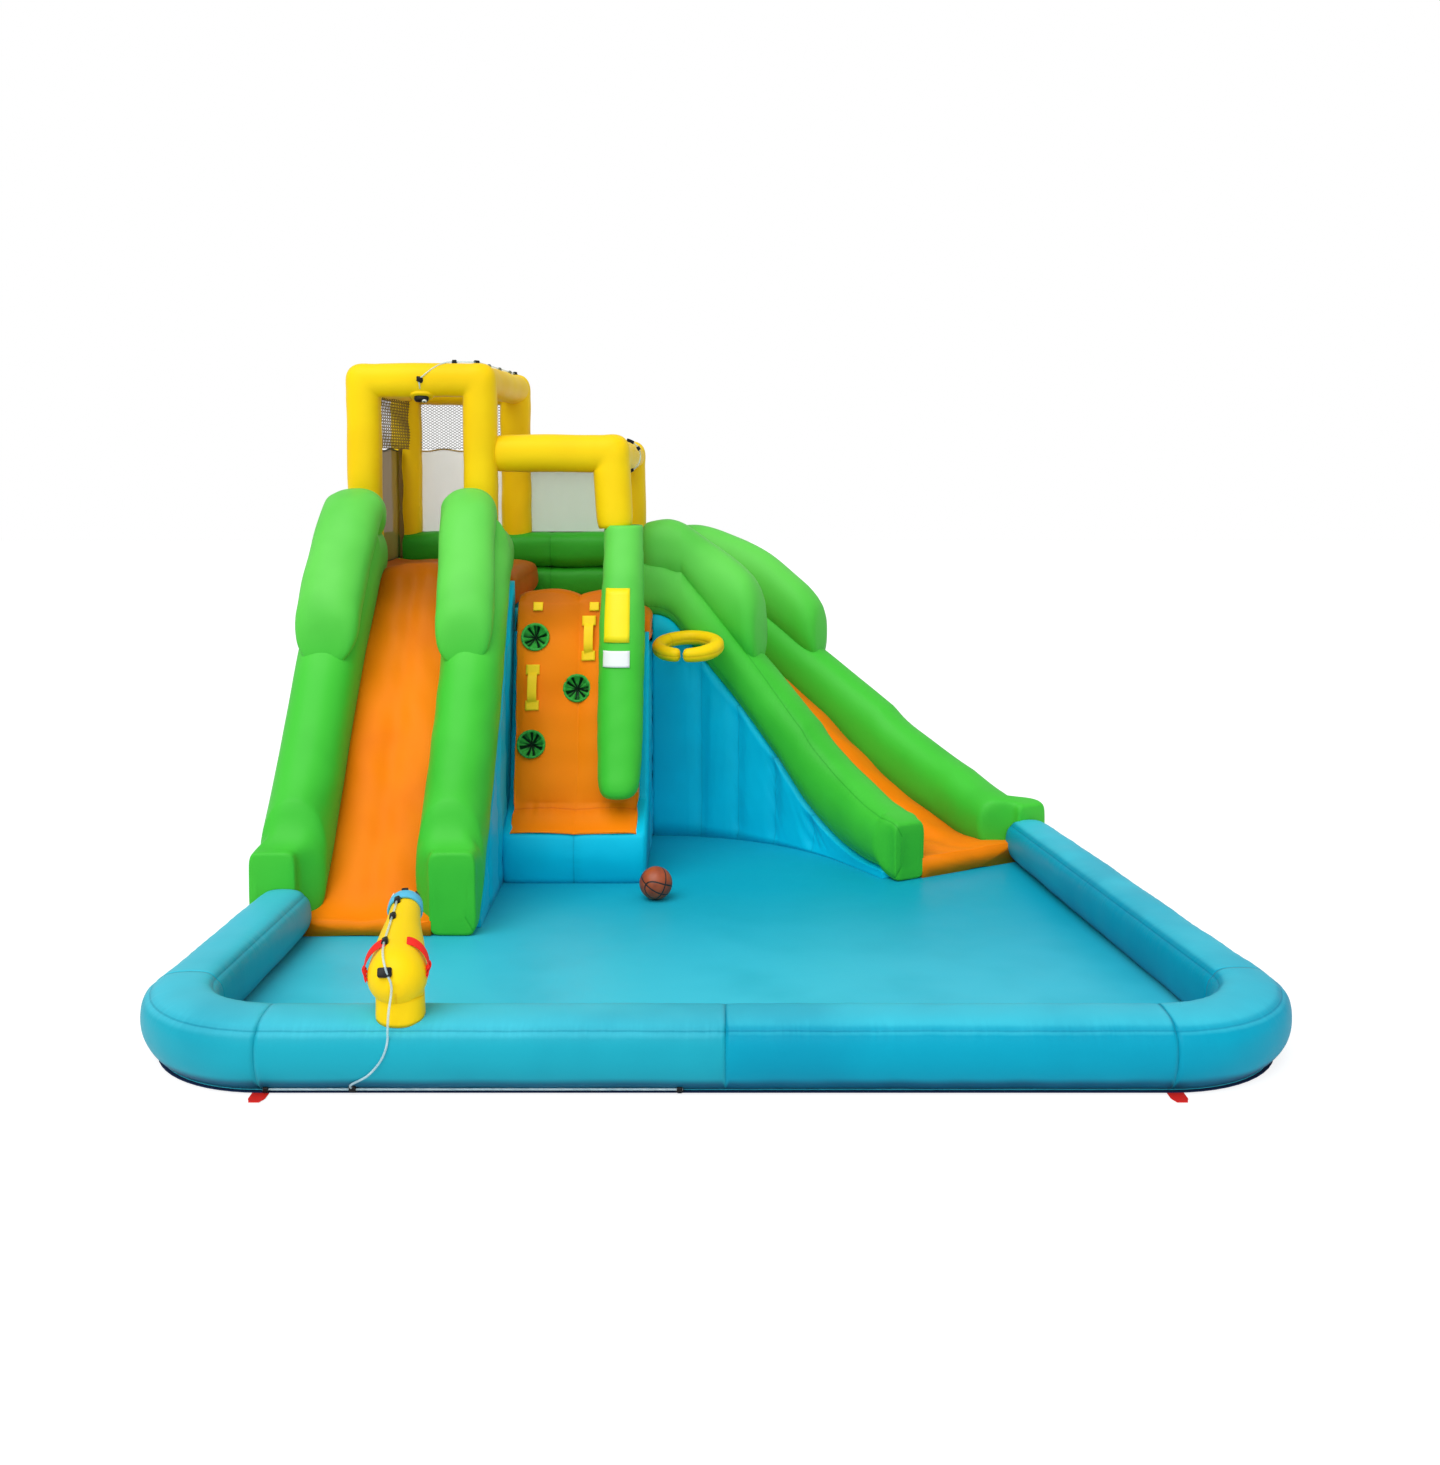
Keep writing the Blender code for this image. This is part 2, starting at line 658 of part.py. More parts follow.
def fillet(before, corner, after, radius, steps=8):
    """Points of a round corner between two straight runs."""
    back = (before - corner).normalized()
    ahead = (after - corner).normalized()
    half = back.angle(ahead) / 2
    middle = corner + (back + ahead).normalized() * radius / math.sin(half)
    start = corner + back * radius / math.tan(half) - middle
    end = corner + ahead * radius / math.tan(half) - middle
    turn = start.angle(end)
    points = []
    for k in range(steps + 1):
        t = k / steps
        spoke = start * math.sin((1 - t) * turn) + end * math.sin(t * turn)
        points.append(middle + spoke / math.sin(turn))
    return points


def wall_ring(point, across, share=1.0):
    """The pool wall's section: round, and flat underneath. A share under 1 makes it slimmer."""
    ring = []
    span = math.tau - 2 * WALL_FLAT_ANGLE
    radius = WALL_RADIUS * share
    point = Vector((point.x, point.y, BASE_Z + (WALL_AXIS_Z - BASE_Z) * share))
    for k in range(WALL_SIDES):
        angle = -math.pi / 2 + WALL_FLAT_ANGLE + span * k / (WALL_SIDES - 1)
        ring.append(point + across * radius * math.cos(angle) + UP * radius * math.sin(angle))
    return ring


def wall_path(slide):
    """The wall's centreline: left foot, two round front corners, right foot."""
    straight, curved = slide
    foot = straight.chute.place(straight.chute.length + SEAM_GAP, 0, WALL_AXIS_Z)
    rear_left = Vector((WALL_LEFT_X, foot.y, WALL_AXIS_Z))
    front_left = Vector((WALL_LEFT_X, WALL_FRONT_Y, WALL_AXIS_Z))
    front_right = Vector((WALL_RIGHT_X, WALL_FRONT_Y, WALL_AXIS_Z))
    reach = curved.foot_centres[1] + (curved.foot / 2 - WALL_RADIUS * WALL_REAR_SHARE)
    rear_right = curved.chute.place(curved.chute.length + SEAM_GAP, reach, WALL_AXIS_Z)
    for _ in range(3):
        flare = math.atan((front_right.x - rear_right.x) / (rear_right.y - WALL_FRONT_Y))
        front_right.x = WALL_RIGHT_X + WALL_CORNER_RADIUS * (math.tan((math.pi / 2 + flare) / 2) - 1)
    return rear_left, front_left, front_right, rear_right


def wall_piece(name, points, starts, ends, colour, shares=(1.0, 1.0)):
    """A stretch of pool wall, cut at each end by the plane given or square to itself."""
    rings = []
    for k, point in enumerate(points):
        ahead = (points[min(k + 1, len(points) - 1)] - points[max(k - 1, 0)]).normalized()
        share = shares[0] + (shares[1] - shares[0]) * k / (len(points) - 1)
        rings.append(wall_ring(point, ahead.cross(UP), share))
    both = ((rings[0], points[1] - points[0], starts), (rings[-1], points[-1] - points[-2], ends))
    for ring, ahead, plane in both:
        if plane is None:
            continue
        at, normal = plane
        for k, corner in enumerate(ring):
            ring[k] = corner + ahead * ((at - corner).dot(normal) / ahead.dot(normal))
    return loft(name, rings, colour)


def pool(slides):
    """The pool's walls: six stretches that end at the slides' feet."""
    rear_left, front_left, front_right, rear_right = wall_path(slides)
    left_arc = fillet(rear_left, front_left, front_right, WALL_CORNER_RADIUS)
    right_arc = fillet(front_left, front_right, rear_right, WALL_CORNER_RADIUS)
    middle = Vector((WALL_MIDDLE_SEAM_X, WALL_FRONT_Y, WALL_AXIS_Z))
    chute = slides[1].chute
    foot_normal = (chute.place(chute.length, 0, 0) - chute.place(chute.length - SEAM_GAP, 0, 0)).normalized()
    gap_back = (left_arc[0] - rear_left).normalized() * SEAM_GAP
    gap_left = Vector((SEAM_GAP, 0, 0))
    right_ahead = (rear_right - right_arc[-1]).normalized()
    slim = WALL_REAR_SHARE
    wall_piece("pool_wall_left", [rear_left, left_arc[0] - gap_back], None, None, POOL_BLUE, (slim, 1.0))
    left_ends = ((left_arc[0], gap_back), (left_arc[-1], gap_left))
    wall_piece("pool_corner_left", left_arc, *left_ends, POOL_BLUE)
    wall_piece("pool_wall_front_left", [left_arc[-1] + gap_left, middle], None, None, POOL_BLUE)
    wall_piece("pool_wall_front_right", [middle + gap_left, right_arc[0] - gap_left], None, None, POOL_BLUE)
    right_ends = ((right_arc[0], gap_left), (right_arc[-1], right_ahead))
    wall_piece("pool_corner_right", right_arc, *right_ends, POOL_BLUE)
    start = right_arc[-1] + right_ahead * SEAM_GAP
    wall_piece("pool_wall_right", [start, rear_right], None, (rear_right, foot_normal), POOL_BLUE, (1.0, slim))


def sheet_outline(slides, margin):
    """The plan outline of the sheets under the whole slide."""
    rear_left, front_left, front_right, rear_right = wall_path(slides)
    left_arc = fillet(rear_left, front_left, front_right, WALL_CORNER_RADIUS)
    right_arc = fillet(front_left, front_right, rear_right, WALL_CORNER_RADIUS)
    reach = WALL_RADIUS * math.sin(WALL_FLAT_ANGLE) + margin
    points = []
    path = [rear_left] + left_arc + right_arc + [rear_right]
    for k, point in enumerate(path):
        ahead = (path[min(k + 1, len(path) - 1)] - path[max(k - 1, 0)]).normalized()
        points.append(point + ahead.cross(UP) * reach)
    curved = slides[1].chute
    width = slides[1].width
    for s in slides[1].stations(curved.length, 0.0, 12):
        points.append(curved.place(s, width + margin, 0))
    points.append(Vector((TOWER_LEFT_X - margin, REAR_Y + margin, 0)))
    points.append(Vector((TOWER_LEFT_X - margin, rear_left.y, 0)))
    return [(point.x, point.y) for point in points]


def sheets(slides):
    """The ground sheet and the pool floor on it, under every chamber."""
    prism("ground_sheet", sheet_outline(slides, SHEET_MARGIN), 0.0, SHEET_THICKNESS, NAVY)
    outline = sheet_outline(slides, FLOOR_MARGIN)
    prism("pool_floor", outline, FLOOR_Z, FLOOR_Z + FLOOR_THICKNESS, POOL_BLUE)


def deck(name, low_x, high_x, height):
    """A deck: a thick slab with round edges."""
    low = (low_x, TOWER_Y, height - DECK_THICKNESS + SEAM_GAP)
    high = (high_x, BACK_Y - SEAM_GAP, height)
    return finish(name, box_mesh(low, high, DECK_EDGE_RADIUS), ORANGE)


def tower():
    """The tower's stepped base, its two decks, its back panel and the two rails on it."""
    high_top = HIGH_DECK_HEIGHT - DECK_THICKNESS
    low_top = LOW_DECK_HEIGHT - DECK_THICKNESS
    profile = (
        (TOWER_LEFT_X, BASE_Z), (TOWER_RIGHT_X - SEAM_GAP, BASE_Z), (TOWER_RIGHT_X - SEAM_GAP, low_top),
        (STEP_X, low_top), (STEP_X, high_top), (TOWER_LEFT_X, high_top),
    )
    rings = [[Vector((x, y, z)) for x, z in profile] for y in (TOWER_Y, BACK_Y - SEAM_GAP)]
    loft("tower_base", rings, WALL_BLUE, smooth=False)
    deck("high_deck", TOWER_LEFT_X, STEP_X, HIGH_DECK_HEIGHT)
    low_deck = deck("low_deck", STEP_X + SEAM_GAP, TOWER_RIGHT_X - SEAM_GAP, LOW_DECK_HEIGHT)
    low = (TOWER_LEFT_X, BACK_Y, BASE_Z)
    high = (TOWER_RIGHT_X - SEAM_GAP, REAR_Y, BACK_PANEL_HEIGHT)
    finish("tower_back_panel", box_mesh(low, high), WALL_BLUE, smooth=False)
    back_rail("back_rail_lower", BACK_PANEL_HEIGHT + BACK_RAIL_HEIGHT / 2)
    upper = BACK_PANEL_HEIGHT + BACK_RAIL_HEIGHT * 3 / 2
    back_rail("back_rail_upper", upper)
    return low_deck, as_cutter(back_rail("back_rail_space", upper, CUT_GAP))


def back_rail(name, middle, grow=0.0):
    """One of the two stacked tubes along the tower's back."""
    rings = []
    for x in (TOWER_LEFT_X - grow, TOWER_RIGHT_X - SEAM_GAP + grow):
        centre = Vector((x, REAR_FRAME_Y, middle))
        half_height = BACK_RAIL_HEIGHT / 2 - SEAM_GAP / 2 + grow
        rings.append(oval(centre, Vector((0, 1, 0)), UP, BACK_DEPTH / 2 + grow, half_height, 3.0))
    return loft(name, rings, GREEN)


def bent_path(points):
    """A path with rounded corners: its points, how full the tube is there and which way."""
    path = [(points[0], 0.0, UP)]
    for before, corner, after in zip(points, points[1:], points[2:]):
        outward = (corner - before).normalized() + (corner - after).normalized()
        for k, point in enumerate(fillet(before, corner, after, FRAME_BEND_RADIUS, FRAME_BEND_STEPS)):
            path.append((point, math.sin(math.pi * k / FRAME_BEND_STEPS) ** 3, outward))
    return path + [(points[-1], 0.0, UP)]


def frame_tube(name, points, grow=0.0):
    """An inflated tube in an upright plane, filled out at its corners."""
    path = bent_path(points)
    flat = Vector((0, 1, 0))
    rings = []
    for k, (point, fullness, outward) in enumerate(path):
        ahead = (path[min(k + 1, len(path) - 1)][0] - path[max(k - 1, 0)][0]).normalized()
        side = flat if abs(ahead.y) < 0.5 else UP
        across = ahead.cross(side)
        swell = FRAME_CORNER_SHARE * FRAME_RADIUS * fullness
        middle = point + across * math.copysign(swell, across.dot(outward))
        half = FRAME_RADIUS + grow
        rings.append(oval(middle, across, side, half + swell, half, sides=FRAME_SIDES))
    return loft(name, rings, YELLOW)


def portal(name, y, left, right, height, bottoms, grow=0.0):
    """A post, a bar and a post in one tube; a post with no bottom is left out."""
    points = []
    if bottoms[0] is not None:
        points.append(Vector((left, y, bottoms[0] - grow)))
    points.append(Vector((left, y, height)))
    points.append(Vector((right, y, height)))
    points.append(Vector((right, y, bottoms[1] - grow)))
    return frame_tube(name, points, grow)


def frames(back_space):
    """The yellow frames over the two decks."""
    outer = TOWER_LEFT_X + HIGH_OUTER_POST_INSET
    inner = STEP_X - HIGH_INNER_POST_INSET
    inner_rear = STEP_X - HIGH_REAR_POST_INSET
    right = TOWER_RIGHT_X - LOW_FRONT_POST_INSET
    right_rear = TOWER_RIGHT_X - LOW_REAR_POST_INSET
    on_back = BACK_TOP - BACK_RAIL_HEIGHT / 2
    on_deck = HIGH_DECK_HEIGHT + SEAM_GAP
    on_pillar = PILLAR_TOP + SEAM_GAP
    front = (FRONT_FRAME_Y, outer, inner, HIGH_BAR_HEIGHT, (on_deck, on_deck))
    rear = (REAR_FRAME_Y, outer, inner_rear, HIGH_BAR_HEIGHT, (on_back, on_back))
    low_front = (FRONT_FRAME_Y, inner, right, LOW_BAR_HEIGHT, (None, on_pillar))
    low_rear = (REAR_FRAME_Y, inner_rear, right_rear, LOW_BAR_HEIGHT, (None, on_back))
    portal("left_tower_front_frame", *front)
    cut(portal("left_tower_rear_frame", *rear), back_space)
    front_space = as_cutter(portal("left_front_frame_space", *front, grow=CUT_GAP))
    rear_space = as_cutter(portal("left_rear_frame_space", *rear, grow=CUT_GAP))
    cut(portal("right_tower_front_frame", *low_front), front_space)
    cut(portal("right_tower_rear_frame", *low_rear), rear_space, back_space)
    low_front_space = as_cutter(portal("right_front_frame_space", *low_front, grow=CUT_GAP))
    low_rear_space = as_cutter(portal("right_rear_frame_space", *low_rear, grow=CUT_GAP))
    bars = (
        ("left_tower_outer_side_bar", outer, outer, HIGH_BAR_HEIGHT, front_space, rear_space),
        ("left_tower_inner_side_bar", inner, inner_rear, HIGH_BAR_HEIGHT, front_space, rear_space),
        ("right_tower_side_bar", right, right_rear, LOW_BAR_HEIGHT, low_front_space, low_rear_space),
    )
    for name, front_x, rear_x, height, front_cutter, rear_cutter in bars:
        path = [Vector((front_x, FRONT_FRAME_Y, height)), Vector((rear_x, REAR_FRAME_Y, height))]
        bar = loft(name, tube_rings(path, FRAME_RADIUS * SIDE_BAR_SHARE), YELLOW)
        cut(bar, front_cutter, rear_cutter)
    return rear_space


def net_mesh(low_x, high_x, low_z, high_z, y):
    """A flat diamond net in a hem: a plate with two crossed lattices of diamond gaps."""
    width, height = high_x - low_x, high_z - low_z
    columns = int(width / NET_CELL)
    rows = int(height / NET_CELL)
    cell_x, cell_z = width / columns, height / rows
    half_x, half_z = (cell_x - NET_STRAND) / 2, (cell_z - NET_STRAND) / 2
    centres = [(i + 0.5, k + 0.5) for i in range(columns) for k in range(rows)]
    centres += [(i, k) for i in range(1, columns) for k in range(1, rows)]
    points = [Vector((0, 0)), Vector((width, 0)), Vector((width, height)), Vector((0, height))]
    edges = [(k, (k + 1) % len(points)) for k in range(len(points))]
    spans = []
    for i, k in centres:
        middle = Vector((i * cell_x, k * cell_z))
        first = len(points)
        points += [middle + Vector(step) for step in ((half_x, 0), (0, half_z), (-half_x, 0), (0, -half_z))]
        edges += [(first + n, first + (n + 1) % 4) for n in range(4)]
        spans.append(middle)
    flat, _, faces, _, _, _ = delaunay_2d_cdt(points, edges, [], 1, SEAM_GAP / 10)
    bm = bmesh.new()
    verts = [bm.verts.new((low_x + p.x, y - SCREEN_THICKNESS / 2, low_z + p.y)) for p in flat]
    for face in faces:
        middle = sum((flat[k] for k in face), Vector((0, 0))) / len(face)
        inside = any(
            abs(middle.x - gap.x) / half_x + abs(middle.y - gap.y) / half_z < 1 for gap in spans
        )
        if not inside:
            bm.faces.new([verts[k] for k in face])
    made = bmesh.ops.extrude_face_region(bm, geom=bm.faces[:])
    moved = [item for item in made["geom"] if isinstance(item, bmesh.types.BMVert)]
    bmesh.ops.translate(bm, verts=moved, vec=(0, SCREEN_THICKNESS, 0))
    return bm


def screens(rear_space):
    """Cloth screens and a net between the posts."""
    reach = FRAME_RADIUS + SEAM_GAP
    outer = TOWER_LEFT_X + HIGH_OUTER_POST_INSET
    inner_rear = STEP_X - HIGH_REAR_POST_INSET
    right_rear = TOWER_RIGHT_X - LOW_REAR_POST_INSET
    half = SCREEN_THICKNESS / 2
    low = (outer + reach, REAR_FRAME_Y - half, BACK_TOP + SEAM_GAP)
    high = (inner_rear - reach, REAR_FRAME_Y + half, SCREEN_HEIGHT)
    finish("left_tower_rear_screen", box_mesh(low, high), CLOTH_WHITE, smooth=False)
    net = net_mesh(low[0], high[0], SCREEN_HEIGHT + SEAM_GAP, HIGH_BAR_HEIGHT - reach, REAR_FRAME_Y)
    cut(finish("left_tower_rear_net", net, CLOTH_WHITE, smooth=False), rear_space)
    low = (inner_rear + reach, REAR_FRAME_Y - half, BACK_TOP + SEAM_GAP)
    high = (right_rear - reach, REAR_FRAME_Y + half, LOW_BAR_HEIGHT - FRAME_BEND_RADIUS)
    finish("right_tower_rear_screen", box_mesh(low, high), CLOTH_GREEN, smooth=False)


class ClimbingWall:
    """The steep face between the slides: u runs across it, v up its front line, lift out of it."""

    def __init__(self):
        front = (
            (CLIMB_STEP_REACH, CLIMB_STEP_HEIGHT + SEAM_GAP), (CLIMB_CREASE_REACH, CLIMB_CREASE_HEIGHT),
            (CLIMB_TOP_REACH, CLIMB_TOP_HEIGHT),
            (CLIMB_TOP_REACH - CLIMB_CREST, CLIMB_TOP_HEIGHT + CLIMB_CREST / 2),
        )
        self.front = [Vector((0, TOWER_Y - reach, height)) for reach, height in front]
        self.low_x, self.high_x = STEP_X + SEAM_GAP, TOWER_RIGHT_X - SEAM_GAP
        rise = self.front[2] - self.front[1]
        self.normal = Vector((0, -rise.z, rise.y)).normalized()
        self.slope = rise

    def point(self, u, v, lift=0.0):
        """A point on the steep face, at shares across and up, raised square to it."""
        x = self.low_x + (self.high_x - self.low_x) * u
        fade = math.sin(math.pi * min(max(v, 0.0), 1.0)) ** 0.5
        crown = CLIMB_BULGE * abs(math.sin(math.pi * MAT_BULGES * u)) * fade
        return Vector((x, 0, 0)) + self.front[1] + self.slope * v + self.normal * (crown + lift)

    def rows(self):
        """Front places up the wall, each with the point behind it."""
        behind = Vector((0, CLIMB_THICKNESS, 0))
        rows = [(self.front[0], self.front[0] + behind)]
        steps = 6
        for k in range(steps + 1):
            at = self.front[1] + self.slope * k / steps
            rows.append((at, at + behind))
        last = self.front[3]
        rows.append((last, Vector((0, TOWER_Y - SEAM_GAP, last.z))))
        return rows

    def wall(self, name, grow=0.0):
        """The orange face, with upright bulges."""
        shares = [k / MAT_ACROSS for k in range(MAT_ACROSS + 1)]
        rings = []
        places = [None] + [k / 6 for k in range(7)] + [None]
        back_limit = TOWER_Y - SEAM_GAP
        for (ahead, behind), v in zip(self.rows(), places):
            front = []
            for u in shares:
                x = Vector((self.low_x + (self.high_x - self.low_x) * u, 0, 0))
                base = ahead + x if v is None else self.point(u, v)
                front.append(base + self.normal * grow)
            back = Vector((0, min(behind.y, back_limit), behind.z))
            width = self.high_x - self.low_x
            rear = [Vector((self.low_x + width * u, back.y, back.z)) for u in reversed(shares)]
            rings.append(front + rear)
        return loft(name, rings, ORANGE)

    def body(self, name):
        """The blue chamber behind the face, with the step's front below it."""
        step = self.front[0]
        profile = [
            Vector((0, step.y, BASE_Z)), Vector((0, step.y, CLIMB_STEP_HEIGHT)),
        ]
        for _, behind in self.rows()[:-1]:
            y = behind.y + SEAM_GAP
            if y > TOWER_Y - SEAM_GAP - CLIMB_SIDE_PANEL:
                break
            profile.append(Vector((0, y, behind.z - SEAM_GAP)))
        profile.append(Vector((0, TOWER_Y - SEAM_GAP, profile[-1].z)))
        profile.append(Vector((0, TOWER_Y - SEAM_GAP, BASE_Z)))
        rings = [[point + Vector((x, 0, 0)) for point in profile] for x in (self.low_x, self.high_x)]
        return loft(name, rings, WALL_BLUE, smooth=False)

    def pillar_rings(self, grow=0.0):
        """The green guard up the wall's right edge: its ends are level."""
        x = TOWER_RIGHT_X - PILLAR_INSET
        top = Vector((x, FRONT_FRAME_Y, PILLAR_TOP + grow))
        foot = self.front[1] + self.slope * ((PILLAR_BOTTOM - self.front[1].z) / self.slope.z)
        foot = Vector((x, foot.y - PILLAR_STAND_OFF, PILLAR_BOTTOM - grow))
        rings = []
        for k in range(7):
            t = k / 6
            swell = 1 - 0.06 * (2 * t - 1) ** 2
            centre = foot.lerp(top, t)
            half = PILLAR_RADIUS * swell + grow
            rings.append(oval(centre, Vector((1, 0, 0)), Vector((0, 1, 0)), half, half * 1.08, RAIL_ROUNDNESS))
        return rings

    def foothold_frame(self, u, v):
        """Centre and two directions in the wall's plane for a pocket."""
        along = self.slope.normalized()
        return self.point(u, v), Vector((1, 0, 0)), along

    def foothold_rings(self, u, v, profile):
        """Turned rings about the pocket's axis, for a profile of radius and depth."""
        centre, across, along = self.foothold_frame(u, v)
        return [
            oval(centre - self.normal * depth, across, along, radius, radius, sides=FOOTHOLD_SIDES)
            for radius, depth in profile
        ]

    def footholds(self, wall):
        """Round pockets sunk in the wall, each with a dished green lining."""
        radius, wall_size, deep = FOOTHOLD_RADIUS, FOOTHOLD_WALL, FOOTHOLD_DEPTH
        for k, (u, v) in enumerate(FOOTHOLD_SHARES):
            space = [(radius + CUT_GAP, -OVERRUN), (radius + CUT_GAP, deep + CUT_GAP)]
            cutter = loft(f"foothold_space_{k + 1}", self.foothold_rings(u, v, space), GREEN)
            cut(wall, as_cutter(cutter))
            lining = [
                (radius, 0.0), (radius, deep), (wall_size, deep - wall_size),
                (radius * 0.5, deep - wall_size * 1.5), (radius - wall_size, wall_size),
            ]
            outer = self.foothold_rings(u, v, lining[:2])
            inner = self.foothold_rings(u, v, lining[2:])
            bm = loft_mesh(outer)
            self.open_cup(bm, outer, inner)
            finish(f"foothold_{k + 1}", bm, GREEN)

    @staticmethod
    def open_cup(bm, outer, inner):
        """Replace a drum's front cap by a dish."""
        caps = [face for face in bm.faces if len(face.verts) == FOOTHOLD_SIDES]
        front = next(
            cap for cap in caps
            if all((vert.co - Vector(point)).length < SEAM_GAP for vert, point in zip(cap.verts, outer[0]))
        )
        rim = list(front.verts)
        bm.faces.remove(front)
        rows = [[bm.verts.new(point) for point in ring] for ring in reversed(inner)]
        previous = rim
        for row in rows:
            for k in range(FOOTHOLD_SIDES):
                following = (k + 1) % FOOTHOLD_SIDES
                bm.faces.new((previous[k], previous[following], row[following], row[k]))
            previous = row
        bm.faces.new(previous)

    def handles(self, space):
        """Webbing handles bowed out from the wall."""
        for k, (u, v) in enumerate(HANDLE_SHARES):
            half = HANDLE_LENGTH / 2 / self.slope.length
            lifts = (-HANDLE_STAND_OFF / 3, HANDLE_STAND_OFF * 0.75, HANDLE_STAND_OFF, HANDLE_STAND_OFF,
                     HANDLE_STAND_OFF * 0.75, -HANDLE_STAND_OFF / 3)
            shares = (-1.0, -0.75, -0.45, 0.45, 0.75, 1.0)
            path = [self.point(u, v + half * share, lift) for share, lift in zip(shares, lifts)]
            across = Vector((1, 0, 0))
            handle = strap(f"climb_handle_{k + 1}", path, across, HANDLE_WIDTH, HANDLE_THICKNESS, YELLOW)
            cut(handle, space)


def strap(name, path, across, width, thickness, colour):
    """A flat strap along a path."""
    rings = []
    for k, point in enumerate(path):
        ahead = (path[min(k + 1, len(path) - 1)] - path[max(k - 1, 0)]).normalized()
        out = ahead.cross(across).normalized()
        half, deep = across * width / 2, out * thickness / 2
        rings.append([point - half - deep, point + half - deep, point + half + deep, point - half + deep])
    return loft(name, rings, colour)


def hoop(slide, cutters):
    """The splash hoop: an open ring of tube that leans out from the near rail."""
    chute = slide.chute
    out = -chute.across(HOOP_ALONG)
    wall = slide.rail_plan(0, HOOP_ALONG)[0] - slide.radius
    reach = HOOP_RADIUS + HOOP_TUBE_RADIUS - HOOP_OVERLAP
    centre = chute.place(HOOP_ALONG, wall, HOOP_HEIGHT) + out * reach
    ahead = UP.cross(out)
    outward = out * math.cos(HOOP_TILT) - UP * math.sin(HOOP_TILT)
    path = []
    for k in range(HOOP_STEPS + 1):
        angle = HOOP_GAP_ANGLE + (math.tau - 2 * HOOP_GAP_ANGLE) * k / HOOP_STEPS
        path.append(centre + (outward * math.cos(angle) + ahead * math.sin(angle)) * HOOP_RADIUS)
    normal = outward.cross(ahead).normalized()
    rings = []
    for k, point in enumerate(path):
        spoke = (point - centre).normalized()
        rings.append(oval(point, spoke, normal, HOOP_TUBE_RADIUS, HOOP_TUBE_RADIUS, sides=HOOP_SIDES))
    return cut(loft("splash_hoop", rings, YELLOW), *cutters)


